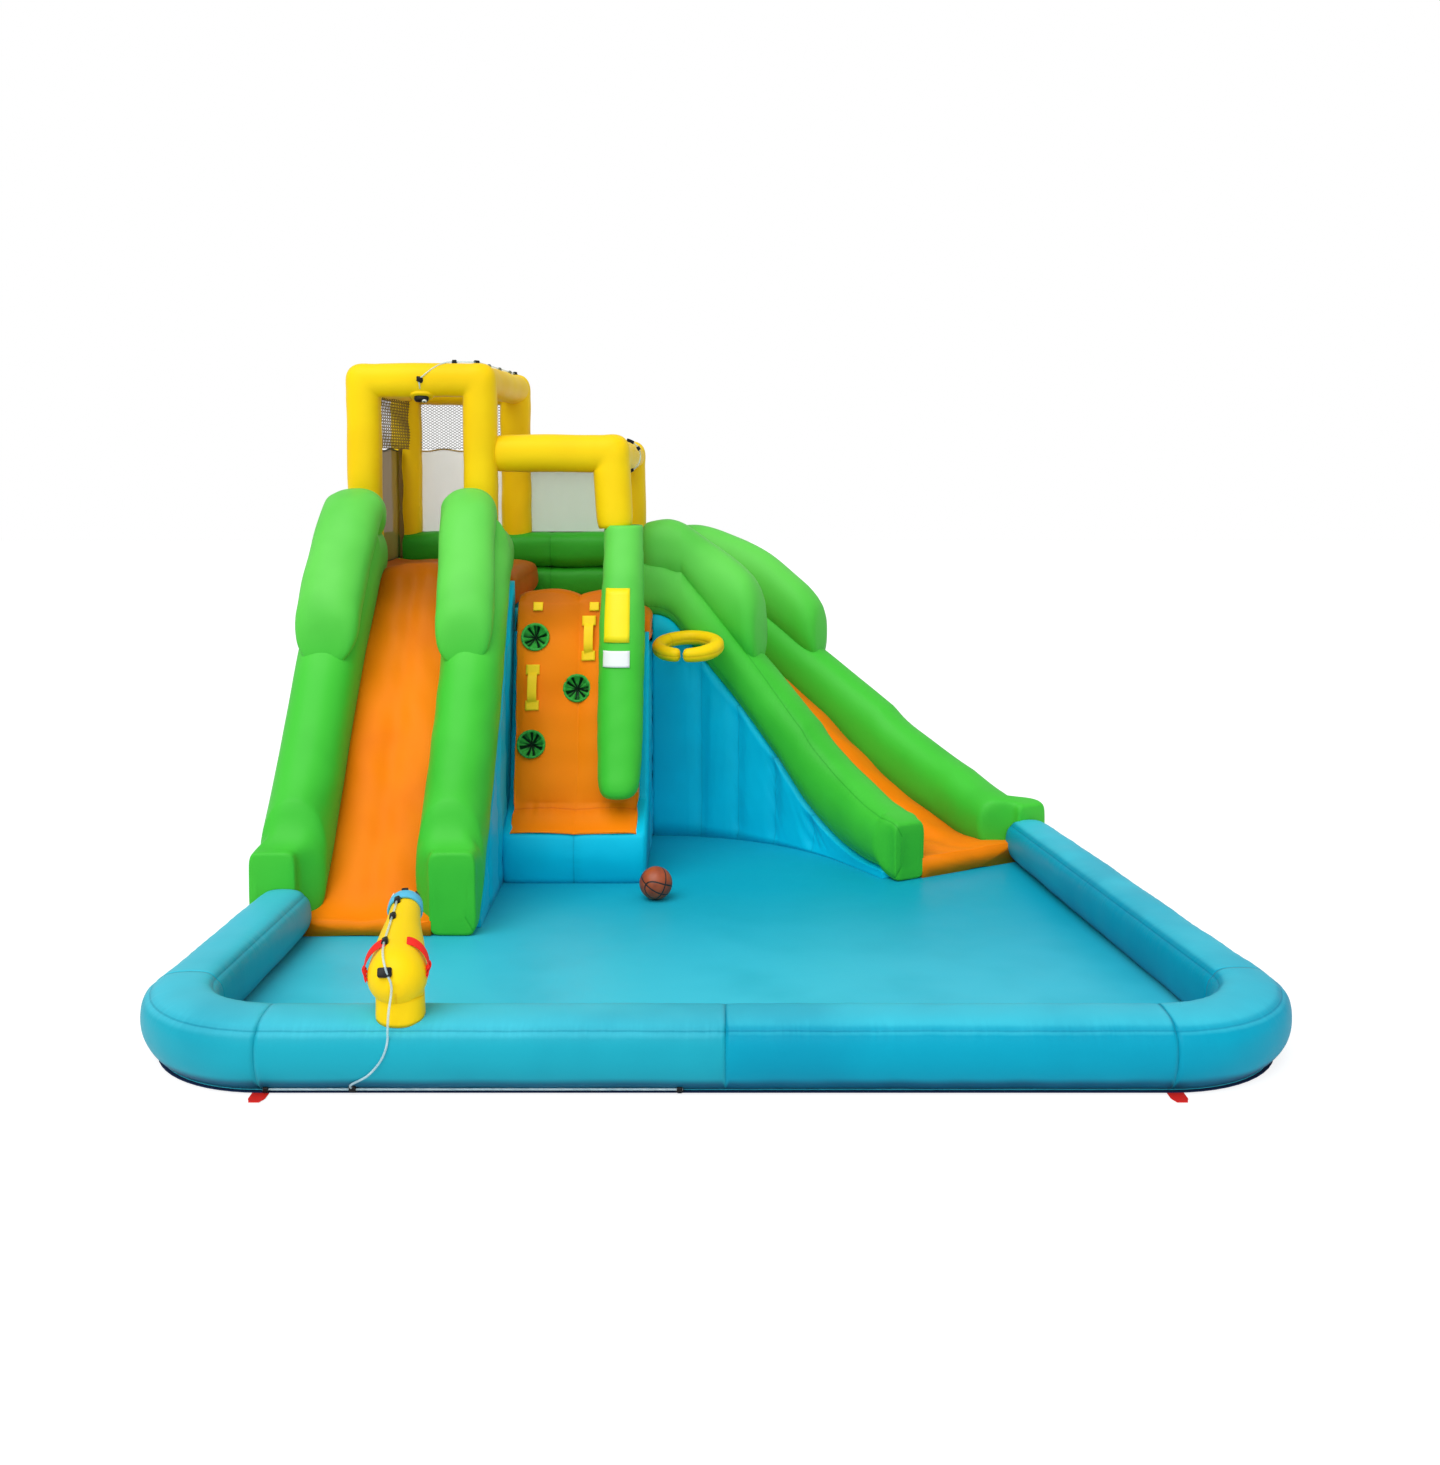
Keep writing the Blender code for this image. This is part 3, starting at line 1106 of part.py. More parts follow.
class Cannon:
    """The water cannon: a stand on the front wall and a barrel that turns on it."""

    def __init__(self):
        self.lean_axis = Vector((CANNON_X, WALL_FRONT_Y, WALL_AXIS_Z))
        self.foot_y = WALL_FRONT_Y - CANNON_FORWARD
        self.pivot = Vector((CANNON_X, self.foot_y, CANNON_AXIS_HEIGHT))
        level = Vector((-math.sin(CANNON_YAW), math.cos(CANNON_YAW), 0))
        self.ahead = level * math.cos(CANNON_PITCH) + UP * math.sin(CANNON_PITCH)
        self.side = self.ahead.cross(UP).normalized()
        self.rise = self.side.cross(self.ahead).normalized()
        self.bulb_share = 0.16

    def collar_shares(self):
        """The collar's start, middle and end on the barrel."""
        start, end = CANNON_COLLAR_SHARES
        return [start, (start + end) / 2, end]

    def shares(self):
        """Every place where the barrel has a section."""
        return sorted([share for share, _ in CANNON_SHAPE_SHARES] + self.collar_shares())

    def radius(self, share):
        """The barrel's radius at a share of its length."""
        return CANNON_TIP_RADIUS + (CANNON_BULB_RADIUS - CANNON_TIP_RADIUS) * blend(CANNON_SHAPE_SHARES, share)

    def at(self, share):
        """A point on the barrel's axis."""
        return self.pivot + self.ahead * CANNON_LENGTH * (share - self.bulb_share)

    def over(self, share, lift):
        """A point over the barrel's top line, square to its surface."""
        step = self.bulb_share / 16
        slope = (self.radius(share + step) - self.radius(share - step)) / (2 * step * CANNON_LENGTH)
        out = (self.rise - self.ahead * slope).normalized()
        return self.at(share) + self.rise * self.radius(share) + out * lift

    def rings(self, shares, grow=0.0):
        """Round sections of the barrel at shares of its length."""
        return [
            oval(
                self.at(t), self.side, self.rise, self.radius(t) + grow, self.radius(t) + grow,
                sides=CANNON_SIDES,
            )
            for t in shares
        ]

    def stand(self):
        """A short column saddled on the front wall, concentric with it, so that it can lean."""
        top = CANNON_STAND_HEIGHT
        column = [
            oval(Vector((CANNON_X, self.foot_y, z)), Vector((1, 0, 0)), Vector((0, 1, 0)),
                 CANNON_STAND_RADIUS, CANNON_STAND_RADIUS, sides=CANNON_SIDES)
            for z in (WALL_AXIS_Z, top)
        ]
        base = finish("cannon_stand", loft_mesh(column), YELLOW, origin=self.lean_axis)
        turns = 4 * CANNON_SIDES
        clear = (WALL_RADIUS + SEAM_GAP) / math.cos(math.pi / turns)
        half = Vector((CANNON_STAND_RADIUS + OVERRUN, 0, 0))
        saddle = [
            oval(self.lean_axis + step, Vector((0, 1, 0)), UP, clear, clear, sides=turns)
            for step in (-half, half)
        ]
        cut(base, as_cutter(loft("wall_space_under_cannon", saddle, YELLOW)))

    def barrel(self):
        """A bulb that tapers to the muzzle, on a short neck."""
        barrel = finish("cannon_barrel", loft_mesh(self.rings(self.shares())), YELLOW, origin=self.pivot)
        neck = [
            oval(Vector((CANNON_X, self.foot_y, z)), Vector((1, 0, 0)), Vector((0, 1, 0)),
                 CANNON_STAND_RADIUS, CANNON_STAND_RADIUS, sides=CANNON_SIDES)
            for z in (CANNON_STAND_HEIGHT + SEAM_GAP, CANNON_AXIS_HEIGHT)
        ]
        under = [
            oval(Vector((CANNON_X, self.foot_y, z)), Vector((1, 0, 0)), Vector((0, 1, 0)),
                 CANNON_LENGTH, CANNON_LENGTH, sides=CANNON_SIDES)
            for z in (WALL_AXIS_Z, CANNON_STAND_HEIGHT + SEAM_GAP)
        ]
        cut(barrel, as_cutter(loft("cannon_neck", neck, YELLOW)), operation="UNION")
        cut(barrel, as_cutter(loft("space_under_cannon", under, YELLOW)))

    def collar(self):
        """The band round the muzzle."""
        inner = self.rings(self.collar_shares(), SEAM_GAP)
        outer = self.rings(self.collar_shares(), CANNON_COLLAR_WALL)
        finish("cannon_collar", loft_mesh(inner + outer[::-1], closed=True), WALL_BLUE)

    def handles(self, space):
        """A red strap bowed out from each side of the barrel."""
        start, end = CANNON_HANDLE_SHARES
        for name, sign in (("left", -1), ("right", 1)):
            path = []
            for k in range(7):
                t = start + (end - start) * k / 6
                bow = math.sin(math.pi * k / 6) ** 0.6
                reach = self.radius(t) + CANNON_HANDLE_REACH * (bow - 0.25)
                path.append(self.at(t) + self.side * sign * reach)
            handle = strap(
                f"cannon_handle_{name}", path, self.rise, CANNON_HANDLE_WIDTH, CANNON_HANDLE_THICKNESS, RED,
            )
            cut(handle, space)

    def build(self):
        """Every piece of the cannon."""
        self.stand()
        self.barrel()
        self.collar()
        self.handles(as_cutter(loft("barrel_space", self.rings(self.shares(), CUT_GAP), RED)))


def smooth_path(points, step=HOSE_STEP):
    """Even points along a smooth curve through the points given."""
    fine = []
    for k in range(len(points) - 1):
        before = points[max(k - 1, 0)]
        start, end = points[k], points[k + 1]
        after = points[min(k + 2, len(points) - 1)]
        for n in range(12):
            t = n / 12
            fine.append(
                start * (2 * t**3 - 3 * t**2 + 1) + (end - before) * 0.5 * (t**3 - 2 * t**2 + t)
                + end * (3 * t**2 - 2 * t**3) + (after - start) * 0.5 * (t**3 - t**2)
            )
    fine.append(points[-1])
    total = sum((b - a).length for a, b in zip(fine, fine[1:]))
    spacing = total / max(round(total / step), 1)
    path, travelled, due = [fine[0]], 0.0, spacing
    for a, b in zip(fine, fine[1:]):
        length = (b - a).length
        while travelled + length >= due and due < total - spacing / 2:
            path.append(a.lerp(b, (due - travelled) / length))
            due += spacing
        travelled += length
    return path + [fine[-1]]


def hose(name, points):
    """A clear hose along a path, as a curve with filled ends."""
    path = smooth_path(points)
    curve = bpy.data.curves.new(name, "CURVE")
    curve.dimensions = "3D"
    curve.bevel_depth = HOSE_RADIUS
    curve.bevel_resolution = 2
    curve.use_fill_caps = True
    spline = curve.splines.new("POLY")
    spline.points.add(len(path) - 1)
    for slot, point in zip(spline.points, path):
        slot.co = (point.x, point.y, point.z, 1.0)
    curve.materials.append(material(name, HOSE_CLEAR, 0.2))
    obj = bpy.data.objects.new(name, curve)
    bpy.context.scene.collection.objects.link(obj)
    return obj


def hoses(cannon):
    """The supply hose at the front wall's foot, its branch to the cannon and the towers' hose."""
    floor = FLOOR_Z + FLOOR_THICKNESS + HOSE_RADIUS + HOSE_CLEARANCE
    drop = WALL_AXIS_Z - floor
    clear = WALL_RADIUS + HOSE_RADIUS + HOSE_CLEARANCE
    foot = WALL_FRONT_Y - math.sqrt(clear**2 - drop**2)
    supply = [Vector((WALL_LEFT_X + reach, foot, floor)) for reach in (SUPPLY_START, SUPPLY_TEE, SUPPLY_END)]
    hose("supply_hose", supply)
    tee = supply[1]
    first, last = HOSE_CLIMB_ANGLES[0], HOSE_CLIMB_ANGLES[-1]
    climb = []
    for degrees in HOSE_CLIMB_ANGLES:
        angle = math.radians(degrees)
        x = tee.x + (CANNON_X - tee.x) * ease((degrees - first) / (last - first))
        reach = clear * math.cos(angle)
        if angle > 0:
            reach = max(reach, CANNON_FORWARD + CANNON_STAND_RADIUS + HOSE_STAND_GAP + HOSE_RADIUS)
        climb.append(Vector((x, WALL_FRONT_Y - reach, WALL_AXIS_Z + clear * math.sin(angle))))
    hose("cannon_hose_lower", climb)
    start = climb[-1] + UP * HOSE_GAP
    lift = HOSE_RADIUS + CANNON_HOSE_LIFT
    behind = cannon.at(0) - cannon.ahead * lift
    over = [cannon.over(share, lift) for share in CANNON_HOSE_SHARES]
    hose("cannon_hose_upper", [start, start.lerp(behind, 0.5) - Vector((0, HOSE_GAP / 2, 0)), behind] + over)
    tower_hose()


def tower_hose():
    """The hose from the left tower's sprayer, over the front bar and back along the side bar."""
    clear = FRAME_RADIUS + HOSE_RADIUS + HOSE_CLEARANCE * 2
    outer = TOWER_LEFT_X + HIGH_OUTER_POST_INSET
    inner = STEP_X - HIGH_INNER_POST_INSET
    inner_rear = STEP_X - HIGH_REAR_POST_INSET
    sprayer, crest = (outer + (inner - outer) * share for share in TOWER_HOSE_SHARES)
    steps = 8
    points = []
    for k in range(steps + 1):
        angle = SPRAYER_ANGLE + (math.pi / 2 - SPRAYER_ANGLE) * k / steps
        x = sprayer + (crest - sprayer) * max(angle, 0.0) / (math.pi / 2)
        y, z = FRONT_FRAME_Y - clear * math.cos(angle), HIGH_BAR_HEIGHT + clear * math.sin(angle)
        points.append(Vector((x, y, z)))
    top = HIGH_BAR_HEIGHT + clear
    turn = FRAME_RADIUS
    for k in range(steps + 1):
        angle = math.pi / 2 * k / steps
        points.append(Vector((
            inner - turn * (1 - math.sin(angle)), FRONT_FRAME_Y + turn * (1 - math.cos(angle)), top,
        )))
    corner, rear = points[-1], Vector((inner_rear, REAR_FRAME_Y, top))
    runs = 4 * steps
    points += [corner.lerp(rear, k / runs) for k in range(1, runs + 1)]
    hose("tower_hose", points)


def anchor_tabs():
    """Flat anchor tabs that stick out under the front wall."""
    start = WALL_FRONT_Y - WALL_RADIUS * math.sin(WALL_FLAT_ANGLE) - SHEET_MARGIN
    for name, x in (("left", WALL_LEFT_X + TAB_INSETS[0]), ("right", WALL_RIGHT_X - TAB_INSETS[1])):
        low = (x - TAB_WIDTH / 2, start - TAB_LENGTH, 0.0)
        high = (x + TAB_WIDTH / 2, start - SEAM_GAP, TAB_THICKNESS)
        finish(f"anchor_tab_{name}", box_mesh(low, high), RED, smooth=False)


def rear_fittings():
    """The air inlet sleeve, and the deflation zip with its slider, on the back panel."""
    x = TOWER_LEFT_X + (HIGH_WIDTH + LOW_WIDTH) * SLEEVE_SHARE
    z = BASE_Z + SLEEVE_RADIUS + SHEET_MARGIN
    across = Vector((1, 0, 0))
    rings = []
    for radius, ends in ((SLEEVE_RADIUS - SLEEVE_WALL, (REAR_Y + SLEEVE_LENGTH, REAR_Y + SEAM_GAP)),
                         (SLEEVE_RADIUS, (REAR_Y + SEAM_GAP, REAR_Y + SLEEVE_LENGTH))):
        for y in ends:
            rings.append(oval(Vector((x, y, z)), across, UP, radius, radius, sides=SLEEVE_SIDES))
    finish("air_inlet_sleeve", loft_mesh(rings, closed=True), WALL_BLUE)
    x = TOWER_LEFT_X + (HIGH_WIDTH + LOW_WIDTH) * ZIP_SHARE
    low = (x - ZIP_LENGTH / 2, REAR_Y + SEAM_GAP, ZIP_HEIGHT - ZIP_WIDTH / 2)
    high = (x + ZIP_LENGTH / 2, REAR_Y + SEAM_GAP + ZIP_THICKNESS, ZIP_HEIGHT + ZIP_WIDTH / 2)
    finish("deflation_zip", box_mesh(low, high), BLACK, smooth=False)
    start = Vector((x - ZIP_LENGTH / 2, high[1] + SEAM_GAP, ZIP_HEIGHT))
    low = (start.x, start.y, ZIP_HEIGHT - SLIDER_WIDTH / 2)
    high = (start.x + SLIDER_LENGTH, start.y + SLIDER_THICKNESS, ZIP_HEIGHT + SLIDER_WIDTH / 2)
    finish("zip_slider", box_mesh(low, high), BLACK, smooth=False, origin=start)


def ball():
    """The play ball on the pool's floor."""
    centre = Vector((BALL_X, TOWER_Y - BALL_REACH, BASE_Z + BALL_RADIUS))
    bm = bmesh.new()
    bmesh.ops.create_icosphere(bm, subdivisions=3, radius=BALL_RADIUS)
    bmesh.ops.translate(bm, verts=bm.verts, vec=centre)
    finish("play_ball", bm, BALL_BROWN, origin=centre)


def main():
    """Build every piece of the slide."""
    clear_scene()
    slides = (left_slide(), right_slide())
    sheets(slides)
    pool(slides)
    make_slide(slides[0], "left", ("outer", "inner"))
    right_body, right_cutters = make_slide(slides[1], "right", ("near", "far"))
    low_deck, back_space = tower()
    screens(frames(back_space))
    climb = ClimbingWall()
    wall = climb.wall("climbing_wall")
    body = climb.body("climbing_body")
    loft("climbing_guard", climb.pillar_rings(), GREEN)
    pillar_space = as_cutter(loft("climbing_guard_space", climb.pillar_rings(CUT_GAP), GREEN))
    cut(wall, pillar_space)
    cut(body, pillar_space)
    cut(low_deck, pillar_space)
    climb.footholds(wall)
    climb.handles(as_cutter(climb.wall("wall_space", CUT_GAP)))
    hoop(slides[1], [right_cutters[0]])
    cannon = Cannon()
    cannon.build()
    anchor_tabs()
    hoses(cannon)
    rear_fittings()
    ball()


main()
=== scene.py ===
"""The looks of an inflatable water slide: its air chambers, nets, cannon, hoses and fittings.

Every place is in metres in the row frame: +Z is up, +Y runs from the pool's front wall to the
tower's back. Each air chamber is a skin over closed rings of points, with its seams pressed in.
"""

import logging
import math
from dataclasses import dataclass, field
from enum import Enum

import bmesh
import bpy
import numpy as np
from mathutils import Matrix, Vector


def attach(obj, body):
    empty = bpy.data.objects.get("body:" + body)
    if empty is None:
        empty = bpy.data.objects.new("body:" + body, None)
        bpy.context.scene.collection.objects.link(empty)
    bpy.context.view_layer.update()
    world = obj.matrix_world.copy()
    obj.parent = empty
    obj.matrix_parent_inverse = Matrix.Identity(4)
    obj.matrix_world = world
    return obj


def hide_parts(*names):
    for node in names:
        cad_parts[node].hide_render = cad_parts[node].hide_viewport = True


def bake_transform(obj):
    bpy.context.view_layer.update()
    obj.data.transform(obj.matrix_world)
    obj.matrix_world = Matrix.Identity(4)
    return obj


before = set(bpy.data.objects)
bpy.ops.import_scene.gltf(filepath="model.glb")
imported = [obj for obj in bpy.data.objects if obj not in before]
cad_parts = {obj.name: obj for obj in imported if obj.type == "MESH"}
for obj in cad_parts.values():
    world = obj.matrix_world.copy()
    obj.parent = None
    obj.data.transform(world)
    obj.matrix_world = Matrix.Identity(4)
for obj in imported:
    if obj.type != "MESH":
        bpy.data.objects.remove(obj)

LOG = logging.getLogger("water_slide")
UP = Vector((0, 0, 1))
EAST = Vector((1, 0, 0))
NORTH = Vector((0, 1, 0))
Colour = tuple[float, float, float]
Ring = list[Vector]
Table = tuple[tuple[float, float], ...]


@dataclass(frozen=True)
class Layout:
    """Sizes and places that several sub-assemblies share."""

    seam_gap: float = 0.0003
    overall_width: float = 3.92
    pool_length: float = 2.93
    tower_depth: float = 1.24
    sleeve_length: float = 0.22
    floor_top: float = 0.0103
    base_z: float = 0.0106
    tower_inset: float = 0.03
    high_width: float = 0.925
    low_width: float = 0.67
    back_depth: float = 0.25
    wall_radius: float = 0.155
    wall_flat_angle: float = math.radians(35)
    wall_corner_radius: float = 0.36
    wall_crown: float = 0.66
    wall_squareness: float = 2.7
    high_deck: float = 1.45
    low_deck: float = 1.25
    deck_thickness: float = 0.20
    back_panel_height: float = 1.20
    back_rail_height: float = 0.192

    @property
    def front_y(self) -> float:
        """The front wall's outer face."""
        return -(self.pool_length + self.tower_depth + self.sleeve_length) / 2

    @property
    def tower_y(self) -> float:
        """The tower's front face."""
        return self.front_y + self.pool_length

    @property
    def rear_y(self) -> float:
        """The tower's back face."""
        return self.tower_y + self.tower_depth

    @property
    def back_y(self) -> float:
        """The back panel's front face."""
        return self.rear_y - self.back_depth

    @property
    def left_x(self) -> float:
        """The tower's left face."""
        return -self.overall_width / 2 + self.tower_inset

    @property
    def step_x(self) -> float:
        """Where the high deck meets the low deck."""
        return self.left_x + self.high_width

    @property
    def right_x(self) -> float:
        """The tower's right face."""
        return self.step_x + self.low_width

    def wall_point(self, angle: float, crown: float) -> tuple[float, float]:
        """The pool wall's section: round below its axis and flatter on top.

        Args:
            angle: The angle round the section, from the outside upwards.
            crown: The height over the axis, as a share of the radius.

        Returns:
            The way out from the axis and up, as shares of the radius.
        """
        c, d = math.cos(angle), math.sin(angle)
        if d <= 0:
            return c, d
        power = 2 / self.wall_squareness
        return math.copysign(abs(c) ** power, c), crown * d**power

    def wall_top(self, reach: float) -> float:
        """Height of the front wall's top.

        Args:
            reach: The distance from the wall's axis.

        Returns:
            The height there.
        """
        share = min(abs(reach) / self.wall_radius, 1.0)
        rise = (1 - share**self.wall_squareness) ** (1 / self.wall_squareness)
        return self.wall_axis_z + self.wall_radius * self.wall_crown * rise

    @property
    def wall_axis_z(self) -> float:
        """Height of the pool wall's axis."""
        return self.base_z + self.wall_radius * math.cos(self.wall_flat_angle)

    @property
    def wall_left_x(self) -> float:
        """The left wall's axis."""
        return -self.overall_width / 2 + self.wall_radius

    @property
    def wall_right_x(self) -> float:
        """The right wall's axis at the front corner."""
        return self.overall_width / 2 - self.wall_radius

    @property
    def wall_front_y(self) -> float:
        """The front wall's axis."""
        return self.front_y + self.wall_radius

    @property
    def back_top(self) -> float:
        """The top of the two rails on the back panel."""
        return self.back_panel_height + 2 * self.back_rail_height

    @property
    def rear_frame_y(self) -> float:
        """The rear frames' plane."""
        return self.rear_y - self.back_depth / 2


PLAN = Layout()


def density(fine: int) -> int:
    """A count of points or rings: always the full count.

    Args:
        fine: The count for a full render.

    Returns:
        The count to use now.
    """
    return fine


def ease(share: float) -> float:
    """A smooth step from 0 to 1."""
    share = min(max(share, 0.0), 1.0)
    return share * share * (3 - 2 * share)


def blend_table(table: Table, share: float) -> float:
    """The smooth value of a table of (share, value) pairs.

    Args:
        table: The pairs, in order of share.
        share: Where to read it.

    Returns:
        The value there.
    """
    if share <= table[0][0]:
        return table[0][1]
    for k, ((x0, y0), (x1, y1)) in enumerate(zip(table, table[1:])):
        if share <= x1:
            before = table[max(k - 1, 0)]
            after = table[min(k + 2, len(table) - 1)]
            m0 = (y1 - before[1]) / (x1 - before[0])
            m1 = (after[1] - y0) / (after[0] - x0)
            span = x1 - x0
            t = (share - x0) / span
            return (
                (2 * t**3 - 3 * t**2 + 1) * y0
                + (t**3 - 2 * t**2 + t) * span * m0
                + (3 * t**2 - 2 * t**3) * y1
                + (t**3 - t**2) * span * m1
            )
    return table[-1][1]


def boxy(angle: float, roundness: float) -> tuple[float, float]:
    """A point of a superellipse with half axes of 1.

    Args:
        angle: The angle round it.
        roundness: 2 for a circle, more for a boxier form.

    Returns:
        The point's two shares of the half axes.
    """
    c, s = math.cos(angle), math.sin(angle)
    return math.copysign(abs(c) ** (2 / roundness), c), math.copysign(abs(s) ** (2 / roundness), s)


def oval(centre: Vector, across: Vector, up: Vector, half_width: float, half_height: float,
         roundness: float = 2.0, sides: int = 40) -> Ring:
    """A ring of points on a superellipse.

    Args:
        centre: The ring's middle.
        across: The direction of its width.
        up: The direction of its height.
        half_width: Half of its width.
        half_height: Half of its height.
        roundness: 2 for an ellipse, more for a boxier ring.
        sides: How many points it has.

    Returns:
        The points, in order round the ring.
    """
    points = []
    for k in range(sides):
        x, y = boxy(math.tau * k / sides, roundness)
        points.append(centre + across * half_width * x + up * half_height * y)
    return points


def fillet(before: Vector, corner: Vector, after: Vector, radius: float, steps: int) -> Ring:
    """Points of a round corner between two straight runs.

    Args:
        before: A point on the run that comes in.
        corner: Where the two runs would meet.
        after: A point on the run that goes out.
        radius: The round's radius.
        steps: How many steps the round has.

    Returns:
        The points, with both ends of the round.
    """
    back = (before - corner).normalized()
    ahead = (after - corner).normalized()
    half = back.angle(ahead) / 2
    middle = corner + (back + ahead).normalized() * radius / math.sin(half)
    start = corner + back * radius / math.tan(half) - middle
    end = corner + ahead * radius / math.tan(half) - middle
    turn = start.angle(end)
    points = []
    for k in range(steps + 1):
        t = k / steps
        spoke = start * math.sin((1 - t) * turn) + end * math.sin(t * turn)
        points.append(middle + spoke / math.sin(turn))
    return points


def path_length(points: Ring) -> float:
    """The length of a path."""
    return sum((b - a).length for a, b in zip(points, points[1:]))


def heading(path: Ring, k: int) -> Vector:
    """The direction in which a path runs at its point k."""
    return (path[min(k + 1, len(path) - 1)] - path[max(k - 1, 0)]).normalized()


def even_path(points: Ring, step: float) -> Ring:
    """Even points along a path's own straight pieces.

    Args:
        points: The path.
        step: About how far apart the points are.

    Returns:
        The points, with both ends of the path.
    """
    total = path_length(points)
    spacing = total / max(round(total / step), 1)
    path, travelled, due = [points[0]], 0.0, spacing
    for a, b in zip(points, points[1:]):
        length = (b - a).length
        while travelled + length >= due and due < total - spacing / 2:
            path.append(a.lerp(b, (due - travelled) / length))
            due += spacing
        travelled += length
    return path + [points[-1]]


def smooth_path(points: Ring, step: float) -> Ring:
    """Even points along a smooth curve.

    Args:
        points: The points that the curve runs through.
        step: About how far apart the new points are.

    Returns:
        The new points.
    """
    fine = []
    pieces = 16
    for k in range(len(points) - 1):
        before, start = points[max(k - 1, 0)], points[k]
        end, after = points[k + 1], points[min(k + 2, len(points) - 1)]
        for n in range(pieces):
            t = n / pieces
            fine.append(
                start * (2 * t**3 - 3 * t**2 + 1) + (end - before) * 0.5 * (t**3 - 2 * t**2 + t)
                + end * (3 * t**2 - 2 * t**3) + (after - start) * 0.5 * (t**3 - t**2)
            )
    fine.append(points[-1])
    return even_path(fine, step)


def stepped(outline: Ring, step: float) -> Ring:
    """A closed outline cut into short steps.

    Args:
        outline: Its corners.
        step: About how long a step is.

    Returns:
        The points, in the same order as the corners.
    """
    points = []
    for a, b in zip(outline, outline[1:] + outline[:1]):
        count = max(round((b - a).length / step), 1)
        points += [a.lerp(b, k / count) for k in range(count)]
    return points


def tube_rings(points: Ring, radius: float, sides: int = 16) -> list[Ring]:
    """Round rings along a path, turned as little as possible from one to the next.

    Args:
        points: The path of the rings' middles.
        radius: The rings' radius.
        sides: How many points a ring has.

    Returns:
        The rings, one for each point.
    """
    rings = []
    across = None
    for k, point in enumerate(points):
        ahead = heading(points, k)
        if across is None:
            guide = UP if abs(ahead.z) < 0.9 else EAST
            across = ahead.cross(guide).normalized()
        across = (across - ahead * across.dot(ahead)).normalized()
        rise = across.cross(ahead).normalized()
        rings.append(oval(point, across, rise, radius, radius, sides=sides))
    return rings


@dataclass(frozen=True)
class NodeTree:
    """Short calls that make and join shader nodes in a tree."""

    tree: bpy.types.NodeTree

    def node(self, kind: str, **inputs: object) -> bpy.types.Node:
        """Add a node.

        Args:
            kind: The node's type.
            inputs: Values or sockets for its inputs, by name.

        Returns:
            The node.
        """
        made = self.tree.nodes.new(kind)
        for name, value in inputs.items():
            self.feed(made.inputs[name.replace("_", " ")], value)
        return made

    def feed(self, socket: bpy.types.NodeSocket, value: object) -> None:
        """Put a value on a socket, or link another socket to it.

        Args:
            socket: The input to fill.
            value: A socket or a plain value.
        """
        if isinstance(value, bpy.types.NodeSocket):
            self.tree.links.new(value, socket)
        else:
            socket.default_value = value

    def math(self, operation: str, first: object, second: object = 0.0,
             clamp: bool = False) -> bpy.types.NodeSocket:
        """One sum as a node.

        Args:
            operation: What the node works out.
            first: Its first value or socket.
            second: Its second value or socket.
            clamp: Whether the result is held between 0 and 1.

        Returns:
            The result's socket.
        """
        made = self.tree.nodes.new("ShaderNodeMath")
        made.operation = operation
        made.use_clamp = clamp
        self.feed(made.inputs[0], first)
        self.feed(made.inputs[1], second)
        return made.outputs[0]

    def times(self, first: object, second: object) -> bpy.types.NodeSocket:
        """The product of two values."""
        return self.math("MULTIPLY", first, second)

    def plus(self, first: object, second: object, clamp: bool = False) -> bpy.types.NodeSocket:
        """The sum of two values."""
        return self.math("ADD", first, second, clamp)

    def minus(self, first: object, second: object, clamp: bool = False) -> bpy.types.NodeSocket:
        """The difference of two values."""
        return self.math("SUBTRACT", first, second, clamp)

    def ramp(self, value: object, low: float, high: float, start: float = 0.0,
             end: float = 1.0) -> bpy.types.NodeSocket:
        """A value's range mapped smoothly onto another.

        Args:
            value: The value to map.
            low: Where its range starts.
            high: Where its range ends.
            start: The result at the low end.
            end: The result at the high end.

        Returns:
            The result's socket.
        """
        made = self.tree.nodes.new("ShaderNodeMapRange")
        made.interpolation_type = "SMOOTHSTEP"
        for name, number in (("From Min", low), ("From Max", high), ("To Min", start), ("To Max", end)):
            made.inputs[name].default_value = number
        self.feed(made.inputs["Value"], value)
        return made.outputs[0]

    def mix(self, factor: object, first: object, second: object) -> bpy.types.NodeSocket:
        """Two colours mixed.

        Args:
            factor: How much of the second colour there is.
            first: The first colour.
            second: The second colour.

        Returns:
            The mixed colour's socket.
        """
        made = self.tree.nodes.new("ShaderNodeMix")
        made.data_type = "RGBA"
        self.feed(made.inputs["Factor"], factor)
        self.feed(made.inputs[6], first)
        self.feed(made.inputs[7], second)
        return made.outputs[2]

    def blend(self, share: object, first: bpy.types.Node, second: bpy.types.Node) -> bpy.types.NodeSocket:
        """Two shaders mixed.

        Args:
            share: How much of the second shader there is.
            first: The first shader's node.
            second: The second shader's node.

        Returns:
            The mixed shader's socket.
        """
        made = self.tree.nodes.new("ShaderNodeMixShader")
        for socket, value in zip(made.inputs, (share, first.outputs[0], second.outputs[0])):
            self.feed(socket, value)
        return made.outputs[0]

    def noise(self, vector: object, scale: object, detail: float = 2.0) -> bpy.types.NodeSocket:
        """A noise value at a place."""
        return self.node("ShaderNodeTexNoise", Vector=vector, Scale=scale, Detail=detail).outputs["Fac"]

    def attribute(self, name: str) -> bpy.types.NodeSocket:
        """A number stored on the mesh.

        Args:
            name: Its name there.

        Returns:
            The number's socket.
        """
        made = self.tree.nodes.new("ShaderNodeAttribute")
        made.attribute_name = name
        return made.outputs["Fac"]


